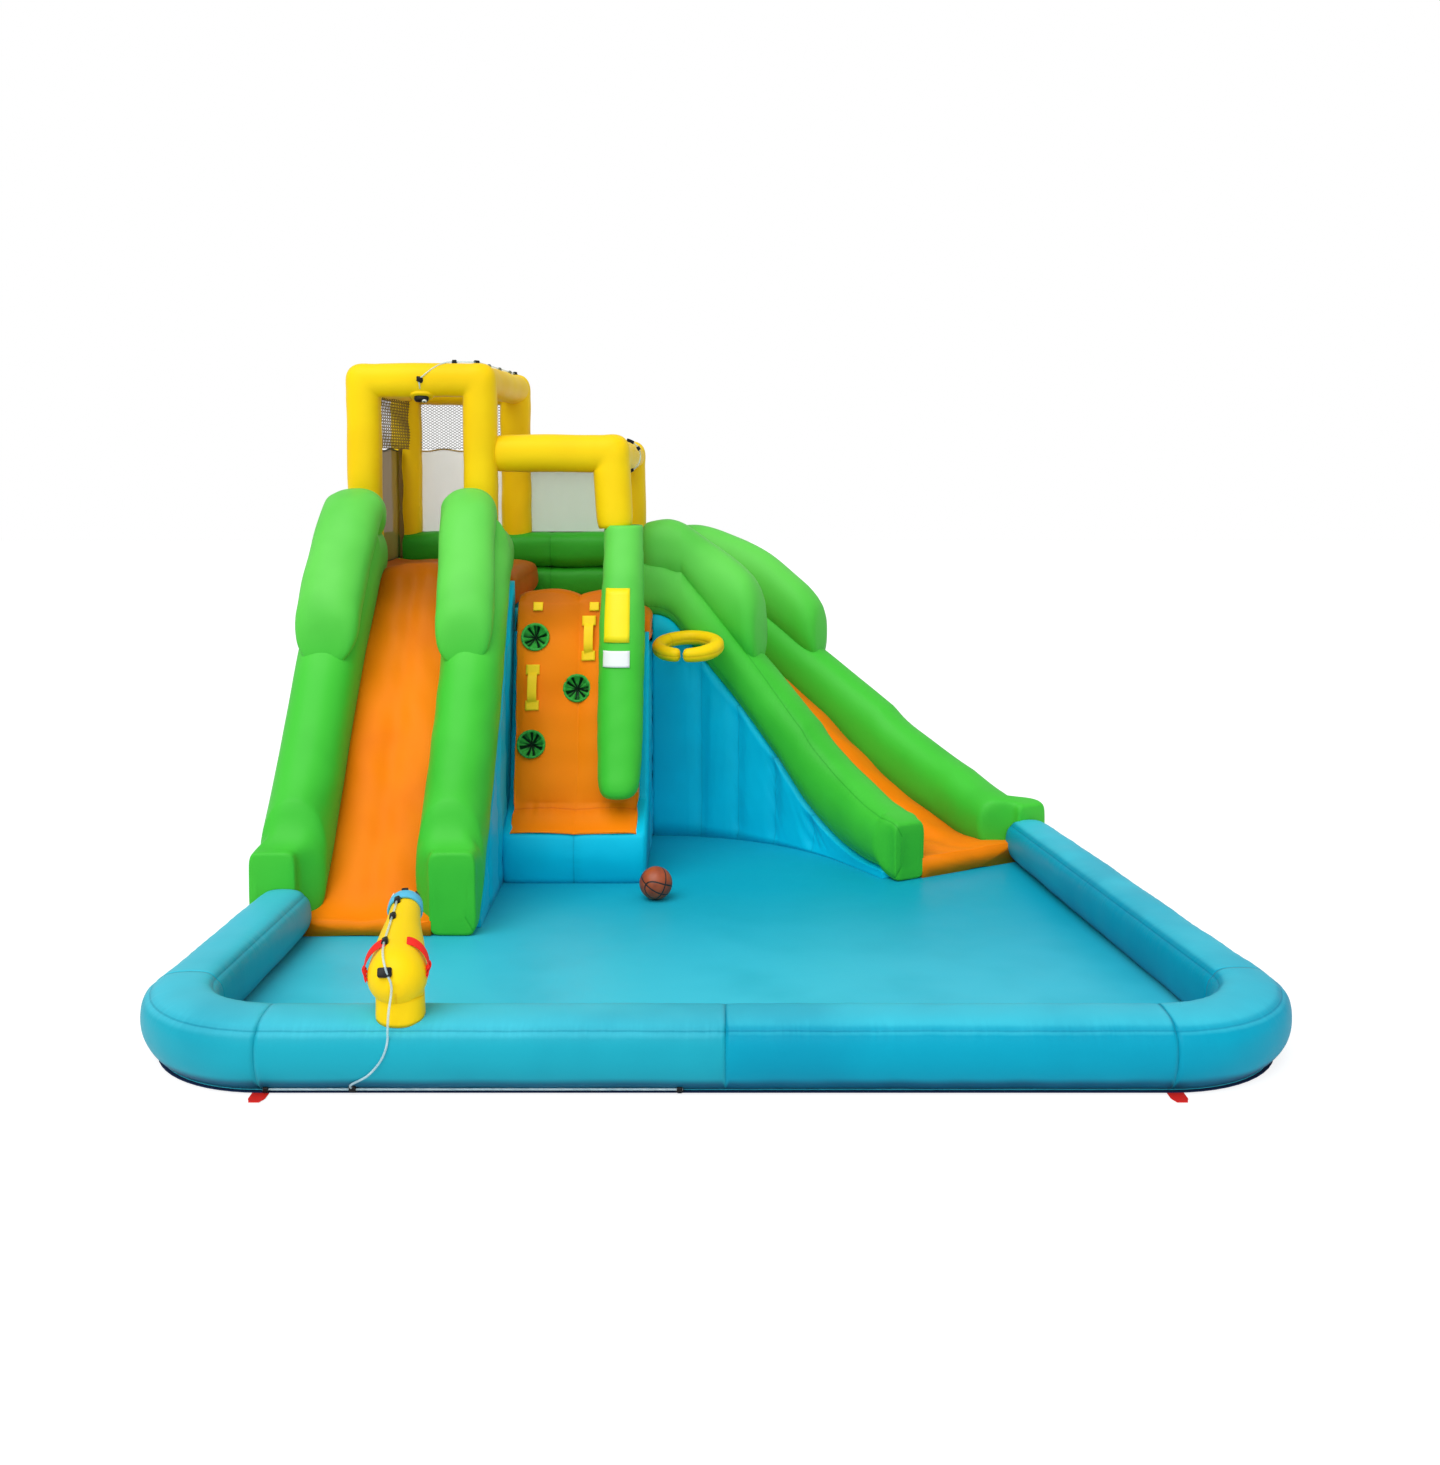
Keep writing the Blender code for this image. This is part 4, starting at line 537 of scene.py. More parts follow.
@dataclass
class Surface:
    """A new material and the parts of it that every finish works on."""

    name: str
    made: bpy.types.Material = field(init=False)
    tree: NodeTree = field(init=False)
    shader: bpy.types.Node = field(init=False)
    place: bpy.types.NodeSocket = field(init=False)

    def __post_init__(self) -> None:
        """Make the material with its shader and the place on the piece."""
        self.made = bpy.data.materials.new(self.name)
        self.made.use_nodes = True
        self.tree = NodeTree(self.made.node_tree)
        self.shader = self.made.node_tree.nodes["Principled BSDF"]
        self.place = self.made.node_tree.nodes.new("ShaderNodeTexCoord").outputs["Object"]

    def feed(self, **inputs: object) -> None:
        """Put values or sockets on the shader's inputs, by name."""
        for name, value in inputs.items():
            self.tree.feed(self.shader.inputs[name.replace("_", " ")], value)

    def bump(self, height: bpy.types.NodeSocket, distance: float, strength: float) -> None:
        """Raise the surface by a height.

        Args:
            height: The height's socket.
            distance: How high a height of 1 is.
            strength: How much of it shows.
        """
        made = self.tree.node("ShaderNodeBump", Height=height, Distance=distance, Strength=strength)
        self.feed(Normal=made.outputs[0])


class Effects:
    """Shader node groups that several finishes share, each built once."""

    made: dict[str, bpy.types.NodeTree] = {}

    @classmethod
    def group(cls, name: str, vectors: tuple[str, ...], numbers: dict[str, float],
              outputs: tuple[str, ...]) -> tuple[NodeTree, bpy.types.Node, bpy.types.Node]:
        """An empty group with named sockets.

        Args:
            name: The group's name.
            vectors: Its vector inputs.
            numbers: Its number inputs, with the value that each starts with.
            outputs: Its outputs, all numbers.

        Returns:
            The group's tree, its input node and its output node.
        """
        tree = bpy.data.node_groups.new(name, "ShaderNodeTree")
        for label in vectors:
            tree.interface.new_socket(label, in_out="INPUT", socket_type="NodeSocketVector")
        for label, value in numbers.items():
            socket = tree.interface.new_socket(label, in_out="INPUT", socket_type="NodeSocketFloat")
            socket.default_value = value
        for label in outputs:
            tree.interface.new_socket(label, in_out="OUTPUT", socket_type="NodeSocketFloat")
        cls.made[name] = tree
        return NodeTree(tree), tree.nodes.new("NodeGroupInput"), tree.nodes.new("NodeGroupOutput")

    @classmethod
    def gathers(cls) -> bpy.types.NodeTree:
        """Folds that run out of a seam, the seam's own groove, its stitching line and the painted shade in
        its folds.

        Returns:
            The group: Distance and Course come from the mesh, Reach and Pull from the finish.
        """
        if "Sewn gathers" in cls.made:
            return cls.made["Sewn gathers"]
        numbers = {"Distance": 1.0, "Course": 0.0, "Reach": 0.03, "Pull": 1.0}
        tree, given, result = cls.group("Sewn gathers", (), numbers, ("Height", "Line", "Fold shade"))
        distance, course, reach, pull = (given.outputs[label] for label in numbers)
        along, across = tree.times(course, 34.0), tree.times(distance, 7.0)
        stretched = tree.node("ShaderNodeCombineXYZ", X=along, Y=across, Z=0.0)
        folds = tree.noise(stretched.outputs[0], 1.0, 2.5)
        crease = tree.math("ABSOLUTE", tree.minus(folds, 0.5))
        shading_falloff = tree.math("POWER", 2.718, tree.math("DIVIDE", tree.times(distance, -1.0), reach))
        pulled = tree.times(tree.times(crease, shading_falloff), pull)
        groove = tree.ramp(distance, 0.0, 0.006)
        tree.feed(result.inputs["Height"], tree.plus(pulled, tree.times(groove, 0.25)))
        tree.feed(result.inputs["Line"], tree.ramp(distance, 0.0016, 0.0050, 1.0, 0.0))
        # Fold shade darkens the creases near a seam: painted shade.
        tree.feed(result.inputs["Fold shade"], tree.times(tree.minus(0.25, crease, clamp=True), shading_falloff))
        return cls.made["Sewn gathers"]

    @classmethod
    def weave(cls) -> bpy.types.NodeTree:
        """The fine crossed threads of coated cloth, and soft dents in it.

        Returns:
            The group: Pitch is how close the threads lie, Dents how close the dents.
        """
        if "Coated weave" in cls.made:
            return cls.made["Coated weave"]
        tree, given, result = cls.group(
            "Coated weave", ("Vector",), {"Pitch": 900.0, "Dents": 6.0}, ("Threads", "Dents"),
        )
        place, pitch = given.outputs["Vector"], given.outputs["Pitch"]
        axes = tree.node("ShaderNodeSeparateXYZ", Vector=place).outputs
        waves = [tree.math("SINE", tree.times(axes[axis], pitch)) for axis in "XYZ"]
        threads = tree.times(tree.plus(waves[0], waves[1]), waves[2])
        grain = tree.noise(place, 240.0, 3.0)
        tree.feed(result.inputs["Threads"], tree.plus(tree.times(threads, 0.12), grain))
        tree.feed(result.inputs["Dents"], tree.noise(place, given.outputs["Dents"], 1.5))
        return cls.made["Coated weave"]

    @classmethod
    def tones(cls) -> bpy.types.NodeTree:
        """The cues that a cloth's painted light and shade tone can follow.

        Returns:
            The group: how far a face looks up, how high a place is and how near to the front left corner.
        """
        if "Painted light cues" in cls.made:
            return cls.made["Painted light cues"]
        tones = ("Upward", "Height", "Nearness")
        tree, given, result = cls.group("Painted light cues", ("Place", "Facing"), {}, tones)
        place = tree.node("ShaderNodeSeparateXYZ", Vector=given.outputs["Place"]).outputs
        facing = tree.node("ShaderNodeSeparateXYZ", Vector=given.outputs["Facing"]).outputs
        patches = tree.times(tree.minus(tree.noise(given.outputs["Place"], 2.6), 0.5), 0.16)
        tree.feed(result.inputs["Upward"], facing["Z"])
        tree.feed(result.inputs["Height"], tree.plus(place["Z"], patches))
        nearness = tree.minus(tree.times(place["X"], -0.15), place["Y"])
        tree.feed(result.inputs["Nearness"], tree.plus(nearness, patches))
        return cls.made["Painted light cues"]

    @classmethod
    def use(cls, tree: NodeTree, group: bpy.types.NodeTree, **inputs: object) -> bpy.types.Node:
        """Place a group in a material.

        Args:
            tree: The material's tree.
            group: The group to place.
            inputs: Values or sockets for the group's inputs, by name.

        Returns:
            The group's node.
        """
        made = tree.tree.nodes.new("ShaderNodeGroup")
        made.node_tree = group
        for name, value in inputs.items():
            tree.feed(made.inputs[name], value)
        return made


class PaintedLight(Enum):
    """What a cloth's painted light and shade tone follows: an output of the painted light cues or nothing."""

    NONE = ""
    UPWARD = "Upward"
    HEIGHT = "Height"
    FRONT = "Nearness"


@dataclass(frozen=True)
class Finish:
    """A coated cloth: its colour, a darker colour for wear, stitching lines and painted shade in folds, and
    its sheen.
    """

    name: str
    slot: str
    colour: Colour
    shade: Colour
    roughness: float = 0.46
    sheen: float = 0.03
    pull: float = 0.9
    reach: float = 0.035
    bump: float = 0.35
    alpha: float = 1.0
    shine: float = 0.20
    # Weight of the darker colour on stitching lines; on the footholds it paints shade into the pleats'
    # valleys.
    stitch_and_crease_shade: float = 0.34
    # The second tone is painted light and shade: a paler or darker colour that ramps along one cue, such as
    # facing up, height or nearness to the front left.
    shading_falloff: PaintedLight = PaintedLight.NONE
    painted_tone: Colour = (1.0, 1.0, 1.0)
    painted_range: tuple[float, float] = (0.0, 1.0)
    # A dark colour painted on faces that look down: painted shade under the wall.
    under: Colour | None = None

    def toned(self, cloth: Surface) -> object:
        """The cloth's colour with its painted light tone and its painted underside shade.

        Args:
            cloth: The material that the colour is for.

        Returns:
            The colour, or the socket that holds it.
        """
        tree = cloth.tree
        colour: object = (*self.colour, 1.0)
        if self.shading_falloff is PaintedLight.NONE and self.under is None:
            return colour
        normal = tree.tree.nodes.new("ShaderNodeNewGeometry").outputs["Normal"]
        tones = Effects.use(tree, Effects.tones(), Place=cloth.place, Facing=normal).outputs
        if self.shading_falloff is not PaintedLight.NONE:
            share = tree.ramp(tones[self.shading_falloff.value], *self.painted_range)
            colour = tree.mix(share, colour, (*self.painted_tone, 1.0))
        if self.under is not None:
            share = tree.ramp(tones["Upward"], -0.66, -0.44, 0.9, 0.0)
            colour = tree.mix(share, colour, (*self.under, 1.0))
        return colour

    def material(self) -> bpy.types.Material:
        """The finish's material, made once.

        Returns:
            The material: cloth with its weave, dents, seams and worn places.
        """
        if self.name in bpy.data.materials:
            return bpy.data.materials[self.name]
        cloth = Surface(self.name)
        tree = cloth.tree
        sewn = Effects.use(
            tree, Effects.gathers(), Distance=tree.attribute("seam_distance"),
            Course=tree.attribute("seam_course"), Reach=self.reach, Pull=self.pull,
        ).outputs
        woven = Effects.use(tree, Effects.weave(), Vector=cloth.place, Pitch=1100.0, Dents=5.0).outputs
        worn = tree.ramp(tree.noise(cloth.place, 1.7, 3.0), 0.42, 0.70, 0.0, 0.30)
        # The darker colour goes on random worn patches and stitching lines, and into the folds by seams as
        # painted shade.
        stitch_and_fold_shade = tree.plus(tree.times(sewn["Line"], self.stitch_and_crease_shade), tree.times(sewn["Fold shade"], 0.8))
        factor = tree.plus(worn, stitch_and_fold_shade, clamp=True)
        height = tree.plus(sewn["Height"], tree.times(woven["Dents"], 0.8))
        height = tree.plus(height, tree.times(woven["Threads"], 0.03))
        cloth.bump(height, 0.012, self.bump)
        cloth.feed(
            Base_Color=tree.mix(factor, self.toned(cloth), (*self.shade, 1.0)),
            Roughness=tree.plus(tree.times(woven["Dents"], 0.10), self.roughness - 0.05),
            Sheen_Weight=self.sheen, Sheen_Roughness=0.4, Specular_IOR_Level=self.shine, Alpha=self.alpha,
        )
        cloth.made.diffuse_color = (*self.colour, 1.0)
        return cloth.made


# Upper parts are painted paler with height: a painted highlight from the light above.
GREEN = Finish(
    "green_cloth", "green_fabric", (0.054, 0.54, 0.036), (0.014, 0.32, 0.012),
    shading_falloff=PaintedLight.HEIGHT, painted_tone=(0.132, 0.645, 0.083), painted_range=(0.95, 1.50),
)
# A darker copy of the green cloth for the back rails: painted shade.
SHADED_BACK_GREEN = Finish("back_green_cloth", "green_fabric", (0.028, 0.40, 0.018), (0.010, 0.26, 0.008))
YELLOW = Finish("yellow_cloth", "yellow_fabric", (0.97, 0.66, 0.003), (0.78, 0.40, 0.0), shine=0.12)
# Upper parts, such as the lane's crest, are painted darker with height: painted shade.
ORANGE = Finish(
    "orange_cloth", "orange_fabric", (0.97, 0.235, 0.002), (0.72, 0.10, 0.0), shine=0.08,
    shading_falloff=PaintedLight.HEIGHT, painted_tone=(0.44, 0.108, 0.0), painted_range=(1.06, 1.44),
)
# Faces that look up are painted paler, a painted highlight; faces that look down are painted dark, painted
# shade.
POOL_PALE = Finish(
    "pale_pool_cloth", "pool_fabric", (0.008, 0.378, 0.49), (0.0, 0.22, 0.33), shading_falloff=PaintedLight.UPWARD, shine=0.14,
    painted_tone=(0.052, 0.53, 0.67), painted_range=(0.50, 0.93), under=(0.0, 0.08, 0.17),
)
# A darker copy of the pool cloth for the wall's right half: painted shade; it also has the painted highlight
# on top and painted shade underneath.
POOL_SHADED = Finish(
    "deep_pool_cloth", "pool_fabric", (0.0, 0.335, 0.49), (0.0, 0.20, 0.34), shading_falloff=PaintedLight.UPWARD, shine=0.09,
    painted_tone=(0.044, 0.53, 0.68), painted_range=(0.70, 0.96), under=(0.0, 0.08, 0.17),
)
WALL_BLUE = Finish("wall_blue_cloth", "blue_fabric", (0.0, 0.53, 0.76), (0.0, 0.30, 0.48), shine=0.10)
# Painted paler towards the front left: a painted highlight of glare.
FLOOR_BLUE = Finish(
    "floor_cloth", "pool_fabric", (0.0, 0.365, 0.52), (0.0, 0.34, 0.46), roughness=0.4, bump=0.2, shine=0.12,
    shading_falloff=PaintedLight.FRONT, painted_tone=(0.052, 0.56, 0.72), painted_range=(-0.25, 1.65),
)
GROUND = Finish("ground_cloth_navy", "ground_cloth", (0.010, 0.03, 0.10), (0.004, 0.012, 0.05), roughness=0.6)
WHITE = Finish(
    "white_screen_cloth", "white_cloth", (0.84, 0.88, 0.82), (0.72, 0.77, 0.66), roughness=0.6, alpha=0.45
)
PALE_GREEN = Finish(
    "pale_screen_cloth", "pale_green_cloth", (0.50, 0.70, 0.50), (0.42, 0.60, 0.42), roughness=0.6,
    alpha=0.5
)
TAN = Finish("tan_hem", "white_cloth", (0.50, 0.36, 0.12), (0.34, 0.22, 0.06), roughness=0.6)
# Dark olive for the tower's outer side net and strip: painted shade.
OLIVE = Finish("shaded_side_cloth", "white_cloth", (0.20, 0.13, 0.03), (0.12, 0.08, 0.02), roughness=0.7)
SHADED = Finish(
    "shaded_screen_cloth", "white_cloth", (0.34, 0.24, 0.07), (0.24, 0.16, 0.04), roughness=0.7, alpha=0.72
)
RED = Finish("red_webbing_cloth", "red_webbing", (0.80, 0.02, 0.012), (0.5, 0.008, 0.008), roughness=0.5)
YELLOW_WEB = Finish(
    "yellow_webbing_cloth", "yellow_webbing", (0.95, 0.62, 0.01), (0.75, 0.42, 0.0), roughness=0.55
)
BLACK = Finish(
    "black_moulding", "black_plastic", (0.010, 0.010, 0.011), (0.004, 0.004, 0.004), roughness=0.35
)
COLLAR = Finish("collar_cloth", "blue_fabric", (0.10, 0.50, 0.74), (0.04, 0.34, 0.55))
# Near-black second colour that goes into the footholds' pleat valleys: painted shade.
GATHERED = Finish(
    "gathered_green_cloth", "green_fabric", (0.05, 0.46, 0.06), (0.0, 0.022, 0.004), bump=0.6, stitch_and_crease_shade=0.82
)
LABEL_YELLOW = Finish(
    "blank_yellow_patch", "yellow_fabric", (0.95, 0.78, 0.01), (0.85, 0.6, 0.0), roughness=0.35
)
LABEL_WHITE = Finish("blank_white_patch", "white_cloth", (0.84, 0.85, 0.84), (0.7, 0.7, 0.7), roughness=0.35)
NET_GREY = Finish("net_cord", "white_cloth", (0.16, 0.17, 0.14), (0.10, 0.11, 0.09), roughness=0.7)
EDGE_CORD = Finish("edge_cord", "white_cloth", (0.06, 0.07, 0.03), (0.03, 0.03, 0.02), roughness=0.7)


class Run(Enum):
    """Which way a seam runs on a chamber."""

    ALONG = "along"
    ROUND = "round"


@dataclass(frozen=True)
class Seam:
    """A sewn line: its place is a share of the girth if it runs along, or of the length if round."""

    run: Run
    at: float
    depth: float = 0.004
    reach: float = 0.016


def rounds(places: list[float], depth: float = 0.004, reach: float = 0.016) -> list[Seam]:
    """Seams round a chamber, at shares of its length."""
    return [Seam(Run.ROUND, at, depth, reach) for at in places]


def lengthwise(places: list[float], depth: float = 0.004, reach: float = 0.016) -> list[Seam]:
    """Seams along a chamber, at shares of its girth."""
    return [Seam(Run.ALONG, at, depth, reach) for at in places]


def settle(obj: bpy.types.Object, finish: Finish, body: str,
           replaces: tuple[str, ...] = ()) -> bpy.types.Object:
    """Dress a piece, let it ride on its body and stand for its CAD nodes.

    Args:
        obj: The piece, in place.
        finish: Its cloth or moulding.
        body: The CAD body that carries it.
        replaces: The CAD nodes that it stands for.

    Returns:
        The same piece.
    """
    if "seam_distance" not in obj.data.attributes:
        mesh = obj.data
        values = mesh.attributes.new("seam_distance", "FLOAT", "POINT")
        values.data.foreach_set("value", np.ones(len(mesh.vertices), np.float32))
    obj.data.materials.clear()
    obj.data.materials.append(finish.material())
    if body:
        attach(obj, body)
    if replaces:
        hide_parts(*replaces)
    LOG.info("%s: %d faces", obj.name, len(obj.data.polygons))
    return obj


def add_object(name: str, data: bpy.types.ID) -> bpy.types.Object:
    """Put an object with its data into the scene.

    Args:
        name: The object's name.
        data: Its mesh, light or camera.

    Returns:
        The object.
    """
    obj = bpy.data.objects.new(name, data)
    bpy.context.scene.collection.objects.link(obj)
    return obj


def mesh_object(name: str, points: list, faces: list, smooth: bool = True) -> bpy.types.Object:
    """A mesh object with its normals turned outwards.

    Args:
        name: The piece's name.
        points: The mesh's points, in place.
        faces: Its faces, as lists of point numbers.
        smooth: Whether the faces are shaded as one smooth skin.

    Returns:
        The object, not dressed yet.
    """
    mesh = bpy.data.meshes.new(name)
    mesh.from_pydata([tuple(point) for point in points], [], faces)
    bm = bmesh.new()
    bm.from_mesh(mesh)
    bmesh.ops.recalc_face_normals(bm, faces=bm.faces)
    bm.to_mesh(mesh)
    bm.free()
    if smooth:
        mesh.shade_smooth()
    return add_object(name, mesh)


def ring_faces(rows: int, columns: int, closed: bool = False) -> list[list[int]]:
    """Faces between rings of points that follow each other.

    Args:
        rows: How many rings there are.
        columns: How many points a ring has.
        closed: Whether the last ring joins the first; if not, both ends get a cap.

    Returns:
        The faces, as lists of point numbers.
    """
    faces = []
    for i in range(rows if closed else rows - 1):
        following = (i + 1) % rows
        for j in range(columns):
            k = (j + 1) % columns
            faces.append([i * columns + j, i * columns + k, following * columns + k, following * columns + j])
    if not closed:
        faces.append(list(range(columns)))
        faces.append([(rows - 1) * columns + j for j in range(columns)])
    return faces


def cloth_faces(rows: int, columns: int) -> list[list[int]]:
    """Faces of a thin cloth: its front points, then as many back points, and the edge between them.

    Args:
        rows: How many rows of points one side has.
        columns: How many points a row has.

    Returns:
        The faces, as lists of point numbers.
    """
    faces = []
    size = rows * columns
    for i in range(rows - 1):
        for j in range(columns - 1):
            quad = [i * columns + j, i * columns + j + 1, (i + 1) * columns + j + 1, (i + 1) * columns + j]
            faces.append(quad)
            faces.append([size + index for index in reversed(quad)])
    rim = [(0, j) for j in range(columns)] + [(i, columns - 1) for i in range(1, rows)]
    rim += [(rows - 1, j) for j in range(columns - 2, -1, -1)] + [(i, 0) for i in range(rows - 2, 0, -1)]
    order = [i * columns + j for i, j in rim]
    for a, b in zip(order, order[1:] + order[:1]):
        faces.append([a, b, size + b, size + a])
    return faces


@dataclass
class Chamber:
    """An air chamber's skin over closed rings of points, with its seams pressed in.

    The skin is slack by a few soft dents, and an edge_fade keeps its upper and lower edges straight.
    """

    name: str
    rings: list[Ring]
    finish: Finish
    replaces: tuple[str, ...] = ()
    seams: list[Seam] = field(default_factory=list)
    slack: float = 0.0018
    body: str = "slide"
    closed: bool = False
    fill: float = 0.95
    edge_fade: float = 0.0
    dents: int = 7
    dent_waves: tuple[float, float] = (0.11, 0.42)
    pucker_wave: float = 0.085
    pucker_drift: float = 0.37
    pucker_share: float = 0.22

    def seed(self) -> np.random.Generator:
        """The chamber's own repeatable random numbers."""
        return np.random.default_rng(sum(map(ord, self.name)))

    def slackness(self, grid: np.ndarray) -> np.ndarray:
        """Soft dents of a skin that isn't quite tight.

        Args:
            grid: The skin's points, ring by ring.

        Returns:
            How far each point moves outwards.
        """
        random = self.seed()
        total = np.zeros(grid.shape[:2])
        for k in range(self.dents):
            direction = random.normal(size=3)
            direction /= np.linalg.norm(direction)
            wave = random.uniform(*self.dent_waves)
            phase = random.uniform(0, math.tau)
            total += np.sin(grid @ direction * math.tau / wave + phase) * self.slack / math.sqrt(k + 1)
        return total

    def outwards(self, grid: np.ndarray) -> np.ndarray:
        """The skin's outward direction at each point.

        Args:
            grid: The skin's points, ring by ring.

        Returns:
            The directions, in the same order.
        """
        normal = np.cross(np.gradient(grid, axis=0), np.roll(grid, -1, 1) - np.roll(grid, 1, 1))
        normal /= np.linalg.norm(normal, axis=2, keepdims=True) + 1e-12
        inside_out = (normal * (grid - grid.mean(1, keepdims=True))).sum() < 0
        return -normal if inside_out else normal

    def build(self) -> bpy.types.Object:
        """Press the seams in, make the mesh and dress it.

        Returns:
            The chamber's skin; its mesh keeps each point's distance to a seam and place along it.
        """
        grid = np.array([[tuple(point) for point in ring] for ring in self.rings])
        round_steps = np.linalg.norm(np.roll(grid, -1, 1) - grid, axis=2)
        girth = round_steps.sum(1, keepdims=True)
        around = np.concatenate([np.zeros((len(grid), 1)), np.cumsum(round_steps, 1)[:, :-1]], 1)
        length_steps = np.linalg.norm(np.diff(grid, axis=0), axis=2).mean(1)
        along = np.concatenate([[0.0], np.cumsum(length_steps)])[:, None] + np.zeros_like(around)
        move = self.slackness(grid)
        near = np.full(around.shape, 1.0)
        course_near = np.zeros(around.shape)
        random = self.seed()
        for seam in self.seams:
            if seam.run is Run.ROUND:
                row = int(np.abs(along[:, 0] - seam.at * along[-1, 0]).argmin())
                distance, course = np.abs(along - along[row]), around
            else:
                column = int(np.abs(around[0] - seam.at * girth[0]).argmin())
                offset = np.abs(around - around[:, column:column + 1])
                distance, course = np.minimum(offset, girth - offset), along
            move -= seam.depth * np.exp(-((distance / seam.reach) ** 2))
            phase = random.uniform(0, math.tau)
            drift = 1.9 * np.sin(course * math.tau / self.pucker_drift + phase)
            wave = np.sin(course * math.tau / self.pucker_wave + phase + drift)
            move += self.pucker_share * seam.depth * wave * np.exp(-((distance / (seam.reach * 2.4)) ** 2))
            closer = distance < near
            near[closer] = distance[closer]
            course_near[closer] = course[closer] + phase
        if self.edge_fade:
            height = grid[:, :, 2]
            low, high = height.min(1, keepdims=True), height.max(1, keepdims=True)
            move *= np.clip(np.minimum(height - low, high - height) / self.edge_fade, 0.0, 1.0)
        grid = grid + self.outwards(grid) * move[:, :, None]
        rows, columns = grid.shape[:2]
        obj = mesh_object(self.name, grid.reshape(-1, 3).tolist(), ring_faces(rows, columns, self.closed))
        for label, values in (("seam_distance", near), ("seam_course", course_near)):
            stored = obj.data.attributes.new(label, "FLOAT", "POINT")
            stored.data.foreach_set("value", values.reshape(-1).astype(np.float32))
        settle(obj, self.finish, self.body, self.replaces)
        return obj


def plain_tube(name: str, rings: list[Ring], finish: Finish, body: str = "slide",
               replaces: tuple[str, ...] = ()) -> bpy.types.Object:
    """A capped tube with no seams, such as a band, a block or a strap.

    Args:
        name: The piece's name.
        rings: Its closed rings of points.
        finish: Its cloth or moulding.
        body: The CAD body that carries it.
        replaces: The CAD nodes that it stands for.

    Returns:
        The piece.
    """
    points = [point for ring in rings for point in ring]
    obj = mesh_object(name, points, ring_faces(len(rings), len(rings[0])))
    obj.data.set_sharp_from_angle(angle=math.radians(50))
    return settle(obj, finish, body, replaces)


@dataclass(frozen=True)
class Moulding:
    """A moulded block of even section: each step of its profile is (distance along the axis, scale).

    The axis' own length is the profile's unit.
    """

    axis: Vector
    across: Vector
    up: Vector
    half_width: float
    half_height: float
    profile: Table
    roundness: float = 3.0
    sides: int = 20

    def rings(self, centre: Vector) -> list[Ring]:
        """The block's rings.

        Args:
            centre: Where the profile's distances start.

        Returns:
            One ring for each step of the profile.
        """
        rings = []
        for reach, scale in self.profile:
            half_width, half_height = self.half_width * scale, self.half_height * scale
            middle = centre + self.axis * reach
            ring = oval(middle, self.across, self.up, half_width, half_height, self.roundness, self.sides)
            rings.append(ring)
        return rings


def strap(name: str, path: Ring, across: Vector, width: float, thickness: float, finish: Finish,
          body: str = "slide", replaces: tuple[str, ...] = ()) -> bpy.types.Object:
    """A webbing strap with rounded edges.

    Args:
        name: The piece's name.
        path: The strap's middle line.
        across: The direction of its width.
        width: Its width.
        thickness: Its thickness.
        finish: Its webbing.
        body: The CAD body that carries it.
        replaces: The CAD nodes that it stands for.

    Returns:
        The strap.
    """
    rings = []
    for k, point in enumerate(path):
        out = heading(path, k).cross(across).normalized()
        rings.append(oval(point, across.normalized(), out, width / 2, thickness / 2, 5.0, 16))
    return plain_tube(name, rings, finish, body, replaces)


def patch(name: str, rows: list[Ring], lift: Vector, finish: Finish) -> bpy.types.Object:
    """A thin sewn patch on a surface.

    Args:
        name: The piece's name.
        rows: Rows of points on the surface.
        lift: How far, and which way, its front stands off its back.
        finish: Its cloth.

    Returns:
        The patch.
    """
    points = [point + lift for row in rows for point in row] + [point for row in rows for point in row]
    return settle(mesh_object(name, points, cloth_faces(len(rows), len(rows[0]))), finish, "slide")


